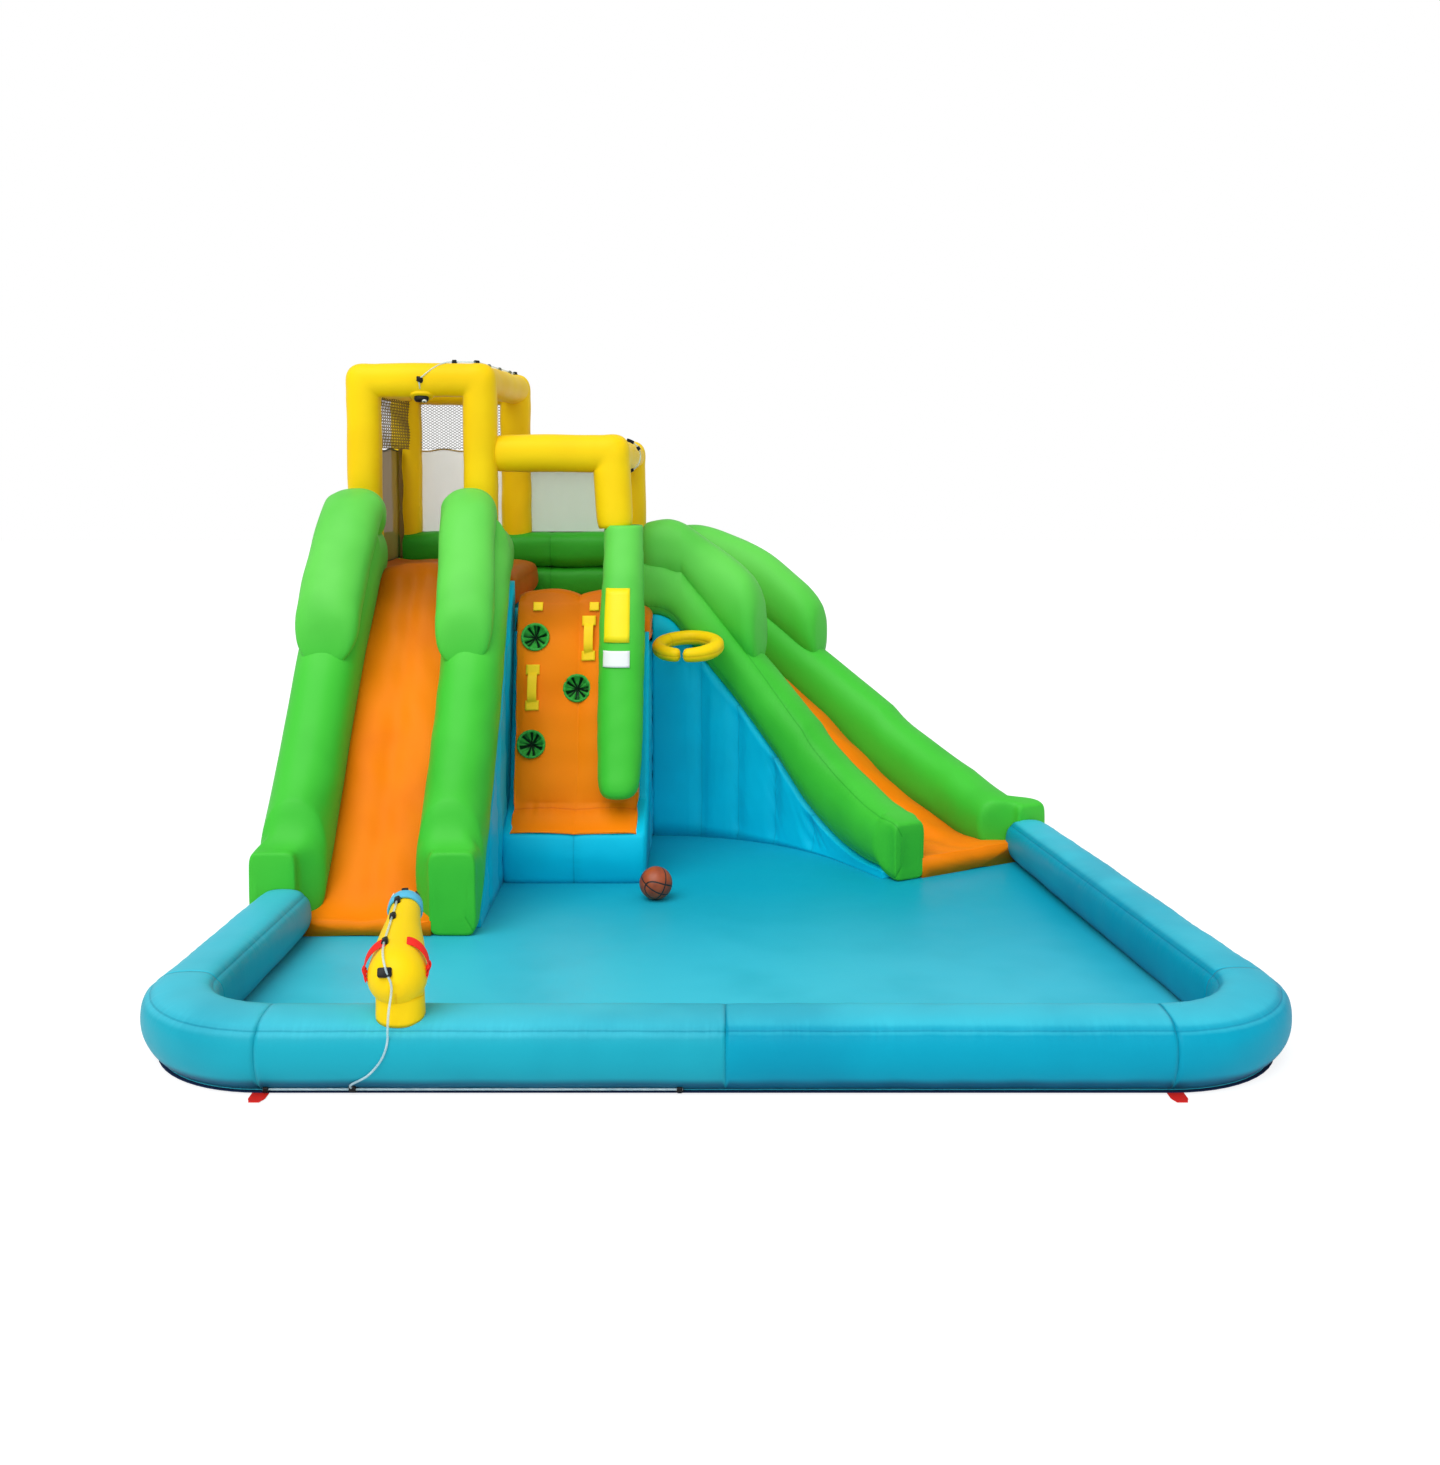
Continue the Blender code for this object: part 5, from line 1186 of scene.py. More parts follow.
@dataclass(frozen=True)
class Chute:
    """A slide's space: s runs from the tower's face to the landing, w across it and z up.

    The lane falls over a round crest, down a straight slope and out over a round runout. In plan it
    bends on a radius, the curve, through an angle, the turn, and then runs straight.
    """

    start: Vector
    bearing: float
    top: float
    landing: float
    angle: float
    crest: float
    runout: float
    curve: float = 0.0
    turn: float = 0.0
    straight: float = 0.0

    @property
    def ahead(self) -> Vector:
        """The direction that the slide leaves the tower in."""
        return Vector((math.cos(self.bearing), math.sin(self.bearing), 0))

    @property
    def left(self) -> Vector:
        """The direction of growing w at the top."""
        return Vector((-math.sin(self.bearing), math.cos(self.bearing), 0))

    @property
    def crest_end(self) -> float:
        """Where the crest's round turns into the straight slope."""
        return self.crest * math.sin(self.angle)

    @property
    def runout_start(self) -> float:
        """Where the slope begins to level out."""
        drop = self.top - self.landing - (self.crest + self.runout) * (1 - math.cos(self.angle))
        return self.crest_end + drop / math.tan(self.angle)

    @property
    def run(self) -> float:
        """Where the lane is level again."""
        return self.runout_start + self.runout * math.sin(self.angle)

    @property
    def length(self) -> float:
        """The slide's whole length in plan."""
        return max(self.curve * self.turn + self.straight, self.run)

    def place(self, s: float, w: float, z: float) -> Vector:
        """The point at s, w and z.

        Args:
            s: The distance along the lane in plan.
            w: The distance across it.
            z: The height.

        Returns:
            The point.
        """
        bend = min(max(s, 0.0), self.curve * self.turn)
        angle = bend / self.curve if self.curve else 0.0
        c, d = math.cos(angle), math.sin(angle)
        ahead = self.ahead * c - self.left * d
        left = self.left * c + self.ahead * d
        point = self.start + left * (w + self.curve) - self.left * self.curve
        return point + ahead * (s - bend) + UP * z

    def across(self, s: float) -> Vector:
        """The direction of growing w at s."""
        return (self.place(s, 1, 0) - self.place(s, 0, 0)).normalized()

    def height(self, s: float) -> float:
        """The lane's height.

        Args:
            s: The distance along the lane in plan.

        Returns:
            The height there.
        """
        s = min(max(s, 0.0), self.run)
        if s < self.crest_end:
            return self.top - self.crest + math.sqrt(self.crest**2 - s**2)
        if s < self.runout_start:
            fall = (s - self.crest_end) * math.tan(self.angle)
            return self.top - self.crest * (1 - math.cos(self.angle)) - fall
        return self.landing + self.runout - math.sqrt(self.runout**2 - (self.run - s) ** 2)

    def steep(self, s: float) -> float:
        """How much longer a length square to the lane is when measured upright.

        Args:
            s: The distance along the lane in plan.

        Returns:
            The factor there.
        """
        s = min(max(s, 0.0), self.run)
        if s < self.crest_end:
            slope = math.asin(s / self.crest)
        elif s < self.runout_start:
            slope = self.angle
        else:
            slope = math.asin((self.run - s) / self.runout)
        return 1 / math.cos(slope)


@dataclass
class Slide:
    """One slide: a lane between two rails with guards on them, on a blue chamber.

    A pair of values is for the rail at w = 0 and the one at the far edge. A table holds pairs of
    (share of the length, value). Each rail's height is its rise times the diameter.
    """

    prefix: str
    names: tuple[str, str]
    chute: Chute
    width: float
    diameter: float
    top_centres: tuple[float, float]
    centres: tuple[float, float]
    foot_centres: tuple[float, float]
    sink: float
    foot: float
    rises: Table
    guard_length: float
    guard_peaks: tuple[float, float]
    guard_shares: tuple[Table, Table]
    panel_places: tuple[float, ...]
    stitched: tuple[float, ...] = ()
    leads: tuple[float, float] = (0.0, 0.0)
    guard_shifts: tuple[float, float] = (0.0, 0.0)
    guard_swells: tuple[float, float] = (0.0, 0.0)
    guard_trims: tuple[float, float] = (0.0, 0.0)
    rail_swells: tuple[float, float] = (0.0, 0.0)
    rail_seams: tuple[float, float] = (0.62, 0.88)
    rail_roundness: tuple[float, float] = (2.3, 7.0)
    rail_end: Table = ((-0.008, 0.985), (-0.002, 0.955), (0.0, 0.90), (0.0005, 0.6))
    foot_length: float = 0.13
    foot_blend: float = 0.10
    guard_start: Table = ((0.0, 0.55), (0.002, 0.72), (0.010, 0.84), (0.026, 0.93), (0.05, 0.98))
    guard_end: Table = ((0.042, 0.975), (0.026, 0.93), (0.012, 0.85), (0.003, 0.72), (0.0, 0.5))
    guard_width_share: float = 0.90
    guard_overlap: float = 0.10
    mat_thickness: float = 0.06
    mat_crown: float = 0.028
    mat_share: float = 0.6
    mat_tuck: float = 0.028
    mat_valley: float = 0.60
    flank_seam: tuple[float, float] = (0.022, 0.055)

    def near_end(self, s: float, reach: float, blend: float) -> float:
        """A share that grows from 0 to 1 as the lane's end comes near.

        Args:
            s: The distance along the lane in plan.
            reach: How far before the end it starts to grow.
            blend: Over what distance it grows.

        Returns:
            The share at s.
        """
        return ease((s - self.chute.length + reach) / blend)

    def foot_share(self, s: float) -> float:
        """0 along the rail, growing to 1 in its boxy foot."""
        return self.near_end(s, self.foot_length, self.foot_blend)

    def rail_plan(self, side: int, s: float) -> tuple[float, float]:
        """A rail's place across the slide.

        Args:
            side: 0 for the rail at w = 0, 1 for the far one.
            s: The distance along the lane in plan.

        Returns:
            The w of its middle, and its half width.
        """
        top = 1 - ease(s / self.guard_length)
        share = self.foot_share(s)
        w = self.centres[side] + (self.top_centres[side] - self.centres[side]) * top
        w += (self.foot_centres[side] - w) * share
        swell = self.rail_swells[side] * top
        half_width = self.diameter / 2 + (self.foot / 2 - self.diameter / 2) * share
        return w + swell, half_width + abs(swell)

    def rail_top(self, s: float) -> float:
        """Height of a rail's top at s."""
        rise = blend_table(self.rises, s / self.chute.length) * self.diameter
        return self.chute.height(s) + rise * self.chute.steep(s)

    def rail_bottom(self, s: float) -> float:
        """Height of a rail's underside at s."""
        bottom = max(self.chute.height(s) - self.sink * self.chute.steep(s), PLAN.base_z)
        return bottom + (PLAN.base_z - bottom) * self.foot_share(s)

    def rail_ring(self, side: int, s: float, scale: float, sides: int) -> Ring:
        """A rail's upright section.

        Args:
            side: 0 for the rail at w = 0, 1 for the far one.
            s: The distance along the lane in plan.
            scale: The section's scale.
            sides: How many points it has.

        Returns:
            The points of the section.
        """
        w, half_width = self.rail_plan(side, s)
        top, bottom = self.rail_top(s), self.rail_bottom(s)
        soft, boxed = self.rail_roundness
        roundness = soft + (boxed - soft) * self.foot_share(s)
        middle = self.chute.place(s, w, (top + bottom) / 2)
        half_height = (top - bottom) / 2 * scale
        return oval(middle, self.chute.across(s), UP, half_width * scale, half_height, roundness, sides)

    def rail(self, side: int) -> None:
        """A rail: a tube along the lane's edge, with a boxy foot that has its own front panel.

        Args:
            side: 0 for the rail at w = 0, 1 for the far one.
        """
        length = self.chute.length
        count, sides = density(110), density(56)
        lead = -self.leads[side]
        span = length - 0.02 - lead
        rings = [self.rail_ring(side, lead + span * k / count, 1.0, sides) for k in range(count + 1)]
        for reach, scale in self.rail_end:
            rings.append(self.rail_ring(side, length + min(reach, 0.0), scale, sides))
        seams = lengthwise([self.rail_seams[side]], 0.003, 0.012)
        seams += lengthwise(list(self.stitched), 0.0008, 0.006) if side == 0 else []
        name = f"{self.prefix}_slide_{self.names[side]}_rail"
        Chamber(f"{name}_skin", rings, GREEN, (name,), seams, slack=0.0010).build()

    def guard_ring(self, side: int, s: float, scale: float, sides: int) -> Ring:
        """A guard's upright section.

        Args:
            side: 0 for the guard at w = 0, 1 for the far one.
            s: The distance along the lane in plan.
            scale: The section's scale.
            sides: How many points it has.

        Returns:
            The points of the section.
        """
        share = s / self.guard_length
        top = blend_table(self.guard_shares[side], share) * self.guard_peaks[side]
        bottom = self.rail_top(s) - self.guard_overlap
        w = self.rail_plan(side, s)[0] + self.guard_shifts[side] - self.rail_swells[side] * (1 - ease(share))
        half_width = (self.diameter / 2 * self.guard_width_share + self.guard_swells[side]) * scale
        middle = self.chute.place(s, w, (top + bottom) / 2)
        half_height = (top - bottom) / 2 * scale
        return oval(middle, self.chute.across(s), UP, half_width, half_height, self.rail_roundness[0], sides)

    def guard(self, side: int) -> None:
        """A guard: a second tube on the rail's upper part, round at both ends.

        Args:
            side: 0 for the guard at w = 0, 1 for the far one.
        """
        count, sides = density(56), density(52)
        lead, end = -self.leads[side], self.guard_length - self.guard_trims[side]
        start, stop = lead + 0.075, end - 0.06
        rings = [self.guard_ring(side, lead + s, scale, sides) for s, scale in self.guard_start]
        places = [start + (stop - start) * k / count for k in range(count + 1)]
        rings += [self.guard_ring(side, s, 1.0, sides) for s in places]
        rings += [self.guard_ring(side, end - reach, scale, sides) for reach, scale in self.guard_end]
        name = f"{self.prefix}_slide_{self.names[side]}_guard"
        Chamber(f"{name}_skin", rings, GREEN, (name,), lengthwise([0.75], 0.004, 0.02), slack=0.0012).build()

    def mat_edges(self, s: float) -> tuple[float, float]:
        """The lane's two edges, a little under the rails.

        Args:
            s: The distance along the lane in plan.

        Returns:
            The w of both edges.
        """
        near, near_half = self.rail_plan(0, s)
        far, far_half = self.rail_plan(1, s)
        return near + near_half * self.mat_share, far - far_half * self.mat_share

    def mat_bottom(self, s: float) -> float:
        """Height of the mat's underside at s; at its front edge it reaches the floor."""
        bottom = max(self.chute.height(s) - self.mat_thickness * self.chute.steep(s), PLAN.base_z)
        return bottom + (PLAN.base_z - bottom) * self.near_end(s, 0.10, 0.06)

    def mat_lift(self, s: float, u: float) -> float:
        """How far the mat's cloth stands over the lane: two bulges with a valley between them.

        Args:
            s: The distance along the lane in plan.
            u: The share of the way across it.

        Returns:
            The height over the lane, measured upright.
        """
        arch = 1 - (2 * u - 1) ** 2
        valley = math.exp(-(((u - 0.5) / 0.11) ** 2)) * (1 - 0.8 * math.exp(-s / 0.12))
        dome = 1 + 1.3 * math.exp(-((s / 0.24) ** 2))
        flatness = 1 - 0.7 * self.near_end(s, 0.16, 0.14)
        form = arch * 1.1 - self.mat_valley * valley - 0.5
        return self.mat_crown * dome * form * self.chute.steep(s) * flatness

    def mat(self) -> None:
        """The lane, tucked in between the rails' feet at its front edge."""
        count, across = density(120), density(40)
        shares = [k / across for k in range(across + 1)]
        rings = []
        for i in range(count + 1):
            s = self.chute.length * i / count
            low, high = self.mat_edges(s)
            tuck = self.mat_tuck * self.near_end(s, 0.06, 0.05)
            low, high = low + tuck, high - tuck
            bottom, lane = self.mat_bottom(s), self.chute.height(s)
            under = [self.chute.place(s, low + (high - low) * u, bottom) for u in shares[::4]]
            over = []
            for u in reversed(shares):
                over.append(self.chute.place(s, low + (high - low) * u, lane + self.mat_lift(s, u)))
            rings.append(under + over)
        name = f"{self.prefix}_slide_mat"
        Chamber(f"{name}_skin", rings, ORANGE, (name,), slack=0.0028).build()

    def flank(self) -> None:
        """The blue chamber under the lane, its sides quilted by upright seams."""
        count, across, rows = density(110), 6, 14
        rings = []
        for i in range(count + 1):
            s = self.chute.length * i / count
            top = self.mat_bottom(s) - 0.002
            if top - PLAN.base_z < 0.03:
                break
            low, high = self.mat_edges(s)
            rise = top - PLAN.base_z
            levels = [PLAN.base_z + rise * k / rows for k in range(1, rows + 1)]
            ring = [self.chute.place(s, self.width * k / across, PLAN.base_z) for k in range(across + 1)]
            ring += [self.chute.place(s, self.width, level) for level in levels]
            ring += [self.chute.place(s, high + (low - high) * k / across, top) for k in range(across + 1)]
            ring += [self.chute.place(s, 0.0, level) for level in reversed(levels)]
            rings.append(ring)
        total = self.chute.length * (len(rings) - 1) / count
        name = f"{self.prefix}_slide_body"
        seams = rounds([place / total for place in self.panel_places], *self.flank_seam)
        Chamber(f"{name}_skin", rings, WALL_BLUE, (name,), seams, edge_fade=0.05).build()

    def build(self) -> None:
        """Every piece of the slide."""
        self.flank()
        self.mat()
        for side in (0, 1):
            self.rail(side)
            self.guard(side)


def left_slide() -> Slide:
    """The straight slide from the high deck.

    Returns:
        The slide, not built yet.
    """
    width = PLAN.high_width
    shares = ((0.0, 0.995), (0.15, 1.0), (0.39, 0.968), (0.62, 0.887), (0.92, 0.753), (1.0, 0.71))
    return Slide(
        prefix="left",
        names=("outer", "inner"),
        chute=Chute(
            start=Vector((PLAN.left_x, PLAN.tower_y, 0)), bearing=-math.pi / 2, top=1.46, landing=0.08,
            angle=math.radians(50), crest=0.18, runout=0.20,
        ),
        width=width,
        diameter=0.29,
        top_centres=(0.148, width - 0.185),
        centres=(0.125, width - 0.13),
        foot_centres=(0.073, width - 0.10),
        sink=0.09,
        foot=0.20,
        rises=((0.0, 0.79), (0.75, 0.79), (1.0, 1.0)),
        guard_length=0.66,
        guard_peaks=(1.86, 1.86),
        guard_shares=(shares, shares),
        guard_shifts=(0.012, -0.025),
        guard_swells=(0.016, 0.004),
        rail_swells=(0.0, 0.02),
        panel_places=(0.30, 0.62, 0.92),
    )


def right_slide() -> Slide:
    """The curved slide from the low deck.

    Returns:
        The slide, not built yet.
    """
    width = 0.875
    centres = (0.10, width - 0.13)
    near = (
        (0.0, 0.994), (0.14, 1.0), (0.26, 0.986), (0.41, 0.948), (0.65, 0.888), (0.85, 0.826), (1.0, 0.75),
    )
    far = (
        (0.0, 0.976), (0.14, 0.984), (0.26, 0.984), (0.41, 0.960), (0.65, 0.898), (0.83, 0.818), (1.0, 0.74),
    )
    return Slide(
        prefix="right",
        names=("near", "far"),
        chute=Chute(
            start=Vector((PLAN.right_x, PLAN.rear_y - width, 0)), bearing=0.0, top=1.25, landing=0.11,
            angle=math.radians(50), crest=0.20, runout=0.70, curve=1.12, turn=math.radians(60), straight=0.40,
        ),
        width=width,
        diameter=0.26,
        top_centres=centres,
        centres=centres,
        foot_centres=(0.0975, width - 0.0175),
        sink=0.07,
        foot=0.175,
        rises=(
            (0.0, 0.90), (0.04, 0.86), (0.11, 0.70), (0.32, 0.68), (0.445, 0.705),
            (0.534, 0.77), (0.636, 0.96), (0.763, 1.02), (0.875, 0.90), (1.0, 0.68),
        ),
        guard_length=0.58,
        guard_peaks=(1.69, 1.655),
        guard_shares=(near, far),
        guard_trims=(0.035, 0.0),
        leads=(0.055, 0.03),
        panel_places=(0.28, 0.50, 0.74, 1.0),
        stitched=(0.35,),
    )


@dataclass
class PoolWalls:
    """The splash pool's wall: six tube stretches between the slides' feet.

    Its inner face sits nearer to the wall's middle than its outer one, by a share that differs at
    the rear ends, beside the slides' feet and along the front.
    """

    slides: tuple[Slide, Slide]
    rear_share: float = 0.74
    rear_crown: float = 0.97
    inner_rear: float = 1.0
    inner_side: float = 0.64
    inner_front: float = 0.82
    middle_seam_x: float = 0.03
    crest_angle: float = math.radians(45)
    sides: int = 72
    gather: float = 0.014
    gather_width: float = 0.012

    def corners(self) -> tuple[Vector, Vector, Vector, Vector]:
        """The corners of the wall's centreline.

        Returns:
            The rear left, front left, front right and rear right corner.
        """
        straight, curved = self.slides
        foot = straight.chute.place(straight.chute.length + PLAN.seam_gap, 0, 0)
        rear_left = Vector((PLAN.wall_left_x, foot.y, 0))
        front_left = Vector((PLAN.wall_left_x, PLAN.wall_front_y, 0))
        front_right = Vector((PLAN.wall_right_x, PLAN.wall_front_y, 0))
        reach = curved.foot_centres[1] + (curved.foot / 2 - PLAN.wall_radius * self.rear_share)
        rear_right = curved.chute.place(curved.chute.length + PLAN.seam_gap, reach, 0)
        for _ in range(3):
            flare = math.atan((front_right.x - rear_right.x) / (rear_right.y - PLAN.wall_front_y))
            reach = math.tan((math.pi / 2 + flare) / 2) - 1
            front_right.x = PLAN.wall_right_x + PLAN.wall_corner_radius * reach
        return rear_left, front_left, front_right, rear_right

    def angles(self) -> list[float]:
        """The section's angles, from the outer edge of its flat foot round to the inner one."""
        flat = PLAN.wall_flat_angle
        return [-math.pi / 2 + flat + (math.tau - 2 * flat) * k / (self.sides - 1) for k in range(self.sides)]

    def ring(self, point: Vector, across: Vector, share: float, scale: float, crown: float,
             inner: float) -> Ring:
        """The wall's section, flat underneath and flatter on top.

        Args:
            point: The place on the centreline.
            across: The direction to the outer side.
            share: The share of the full radius.
            scale: The section's own scale, for the gathers at a seam.
            crown: How high the top reaches, as a share of the radius.
            inner: How far the inner side reaches, as a share of the radius.

        Returns:
            The points of the section.
        """
        ring = []
        radius = PLAN.wall_radius * share
        axis = PLAN.base_z + (PLAN.wall_axis_z - PLAN.base_z) * share
        low = math.sin(-math.pi / 2 + PLAN.wall_flat_angle) * radius
        for angle in self.angles():
            out, up = PLAN.wall_point(angle, crown)
            out *= inner if out < 0 else 1.0
            z = low + (up * radius - low) * (1 - (1 - scale) * 0.7)
            ring.append(Vector((point.x, point.y, axis)) + across * out * radius * scale + UP * z)
        return ring

    def edge_shares(self, ring: Ring) -> list[float]:
        """Where the top panel's two seams lie.

        Args:
            ring: One of the wall's sections.

        Returns:
            Both places, as shares of the girth.
        """
        girth = path_length(ring + ring[:1])
        shares = []
        for wanted in (self.crest_angle, math.pi - self.crest_angle):
            k = min(range(self.sides), key=lambda index: abs(self.angles()[index] - wanted))
            shares.append(path_length(ring[:k + 1]) / girth)
        return shares

    def stretch(self, name: str, points: Ring, finish: Finish, inners: tuple[float, float],
                shares: tuple[float, float] = (1.0, 1.0), crowns: tuple[float, float] | None = None,
                planes: tuple[Vector | None, Vector | None] = (None, None)) -> None:
        """One stretch of wall, drawn in a little at both ends where it is sewn to the next.

        Args:
            name: The CAD node that it stands for.
            points: Its centreline.
            finish: Its cloth.
            inners: The inner side's share at both ends.
            shares: The radius' share at both ends.
            crowns: The top's share at both ends.
            planes: The direction of the wall at both ends, where the centreline doesn't say it.
        """
        total = path_length(points)
        count = max(int(total / (0.014)), 12)
        path = smooth_path(points, total / count) if len(points) == 2 else even_path(points, total / count)
        low, high = crowns or (PLAN.wall_crown, PLAN.wall_crown)
        rings = []
        travelled = 0.0
        for k, point in enumerate(path):
            ahead = heading(path, k)
            if k == 0 and planes[0]:
                ahead = planes[0]
            if k == len(path) - 1 and planes[1]:
                ahead = planes[1]
            if k:
                travelled += (point - path[k - 1]).length
            share = shares[0] + (shares[1] - shares[0]) * travelled / total
            crown = low + (high - low) * ease(travelled / total)
            edge = min(travelled, total - travelled)
            scale = 1 - self.gather * math.exp(-edge / self.gather_width)
            inner = inners[0] + (inners[1] - inners[0]) * ease(travelled / total)
            rings.append(self.ring(point, ahead.cross(UP), share, scale, crown, inner))
        seams = lengthwise(self.edge_shares(rings[0]), 0.0032, 0.014)
        Chamber(f"{name}_skin", rings, finish, (name,), seams, slack=0.0007).build()

    def build(self) -> None:
        """Every stretch of the wall."""
        rear_left, front_left, front_right, rear_right = self.corners()
        left_arc = fillet(rear_left, front_left, front_right, PLAN.wall_corner_radius, 24)
        right_arc = fillet(front_left, front_right, rear_right, PLAN.wall_corner_radius, 24)
        middle = Vector((self.middle_seam_x, PLAN.wall_front_y, 0))
        right_ahead = (rear_right - right_arc[-1]).normalized()
        slim, tall, flat = self.rear_share, self.rear_crown, PLAN.wall_crown
        rear, side, front = self.inner_rear, self.inner_side, self.inner_front
        self.stretch(
            "pool_wall_left", [rear_left, left_arc[0]], POOL_PALE, (rear, side), (slim, 1.0), (tall, flat)
        )
        self.stretch("pool_corner_left", left_arc, POOL_PALE, (side, front), planes=(-NORTH, EAST))
        self.stretch("pool_wall_front_left", [left_arc[-1], middle], POOL_PALE, (front, front))
        # The right half of the wall gets the darker pool cloth: painted shade.
        self.stretch("pool_wall_front_right", [middle, right_arc[0]], POOL_SHADED, (front, front))
        self.stretch("pool_corner_right", right_arc, POOL_SHADED, (front, side), planes=(EAST, right_ahead))
        self.stretch(
            "pool_wall_right", [right_arc[-1], rear_right], POOL_SHADED, (side, rear), (1.0, slim), (flat, tall)
        )


@dataclass
class GroundSheets:
    """The navy ground sheet and the pool's floor on it."""

    slides: tuple[Slide, Slide]
    ground_margin: float = 0.014
    floor_margin: float = 0.004
    thickness: float = 0.0016
    ground_top: float = 0.005

    def outline(self, margin: float) -> list[tuple[float, float]]:
        """The plan outline under the whole slide.

        Args:
            margin: How far it reaches past the chambers' foot.

        Returns:
            The outline's x and y pairs.
        """
        rear_left, front_left, front_right, rear_right = PoolWalls(self.slides).corners()
        path = [rear_left] + fillet(rear_left, front_left, front_right, PLAN.wall_corner_radius, 16)
        path += fillet(front_left, front_right, rear_right, PLAN.wall_corner_radius, 16) + [rear_right]
        reach = PLAN.wall_radius * math.sin(PLAN.wall_flat_angle) + margin
        points = [point + heading(path, k).cross(UP) * reach for k, point in enumerate(path)]
        curved = self.slides[1]
        steps = 24
        for k in range(steps + 1):
            s = curved.chute.length * (1 - k / steps)
            points.append(curved.chute.place(s, curved.width + margin, 0))
        points.append(Vector((PLAN.left_x - margin, PLAN.rear_y + margin, 0)))
        points.append(Vector((PLAN.left_x - margin, rear_left.y, 0)))
        return [(point.x, point.y) for point in points]

    def sheet(self, name: str, top: float, margin: float, finish: Finish) -> None:
        """One sheet: a flat cut of cloth with a turned edge.

        Args:
            name: The CAD node that it stands for.
            top: The height of its upper face.
            margin: How far it reaches past the chambers' foot.
            finish: Its cloth.
        """
        outline = self.outline(margin)
        points = [Vector((x, y, z)) for z in (top - self.thickness, top) for x, y in outline]
        obj = mesh_object(f"{name}_cloth", points, ring_faces(2, len(outline)), smooth=False)
        settle(obj, finish, "slide", (name,))
        xs, ys = [x for x, _ in outline], [y for _, y in outline]
        pairs = zip(outline, outline[1:] + outline[:1])
        area = abs(sum(x0 * y1 - x1 * y0 for (x0, y0), (x1, y1) in pairs)) / 2
        size = (max(xs) - min(xs), max(ys) - min(ys))

    def build(self) -> None:
        """Both sheets."""
        self.sheet("ground_sheet", self.ground_top, self.ground_margin, GROUND)
        self.sheet("pool_floor", PLAN.floor_top, self.floor_margin, FLOOR_BLUE)


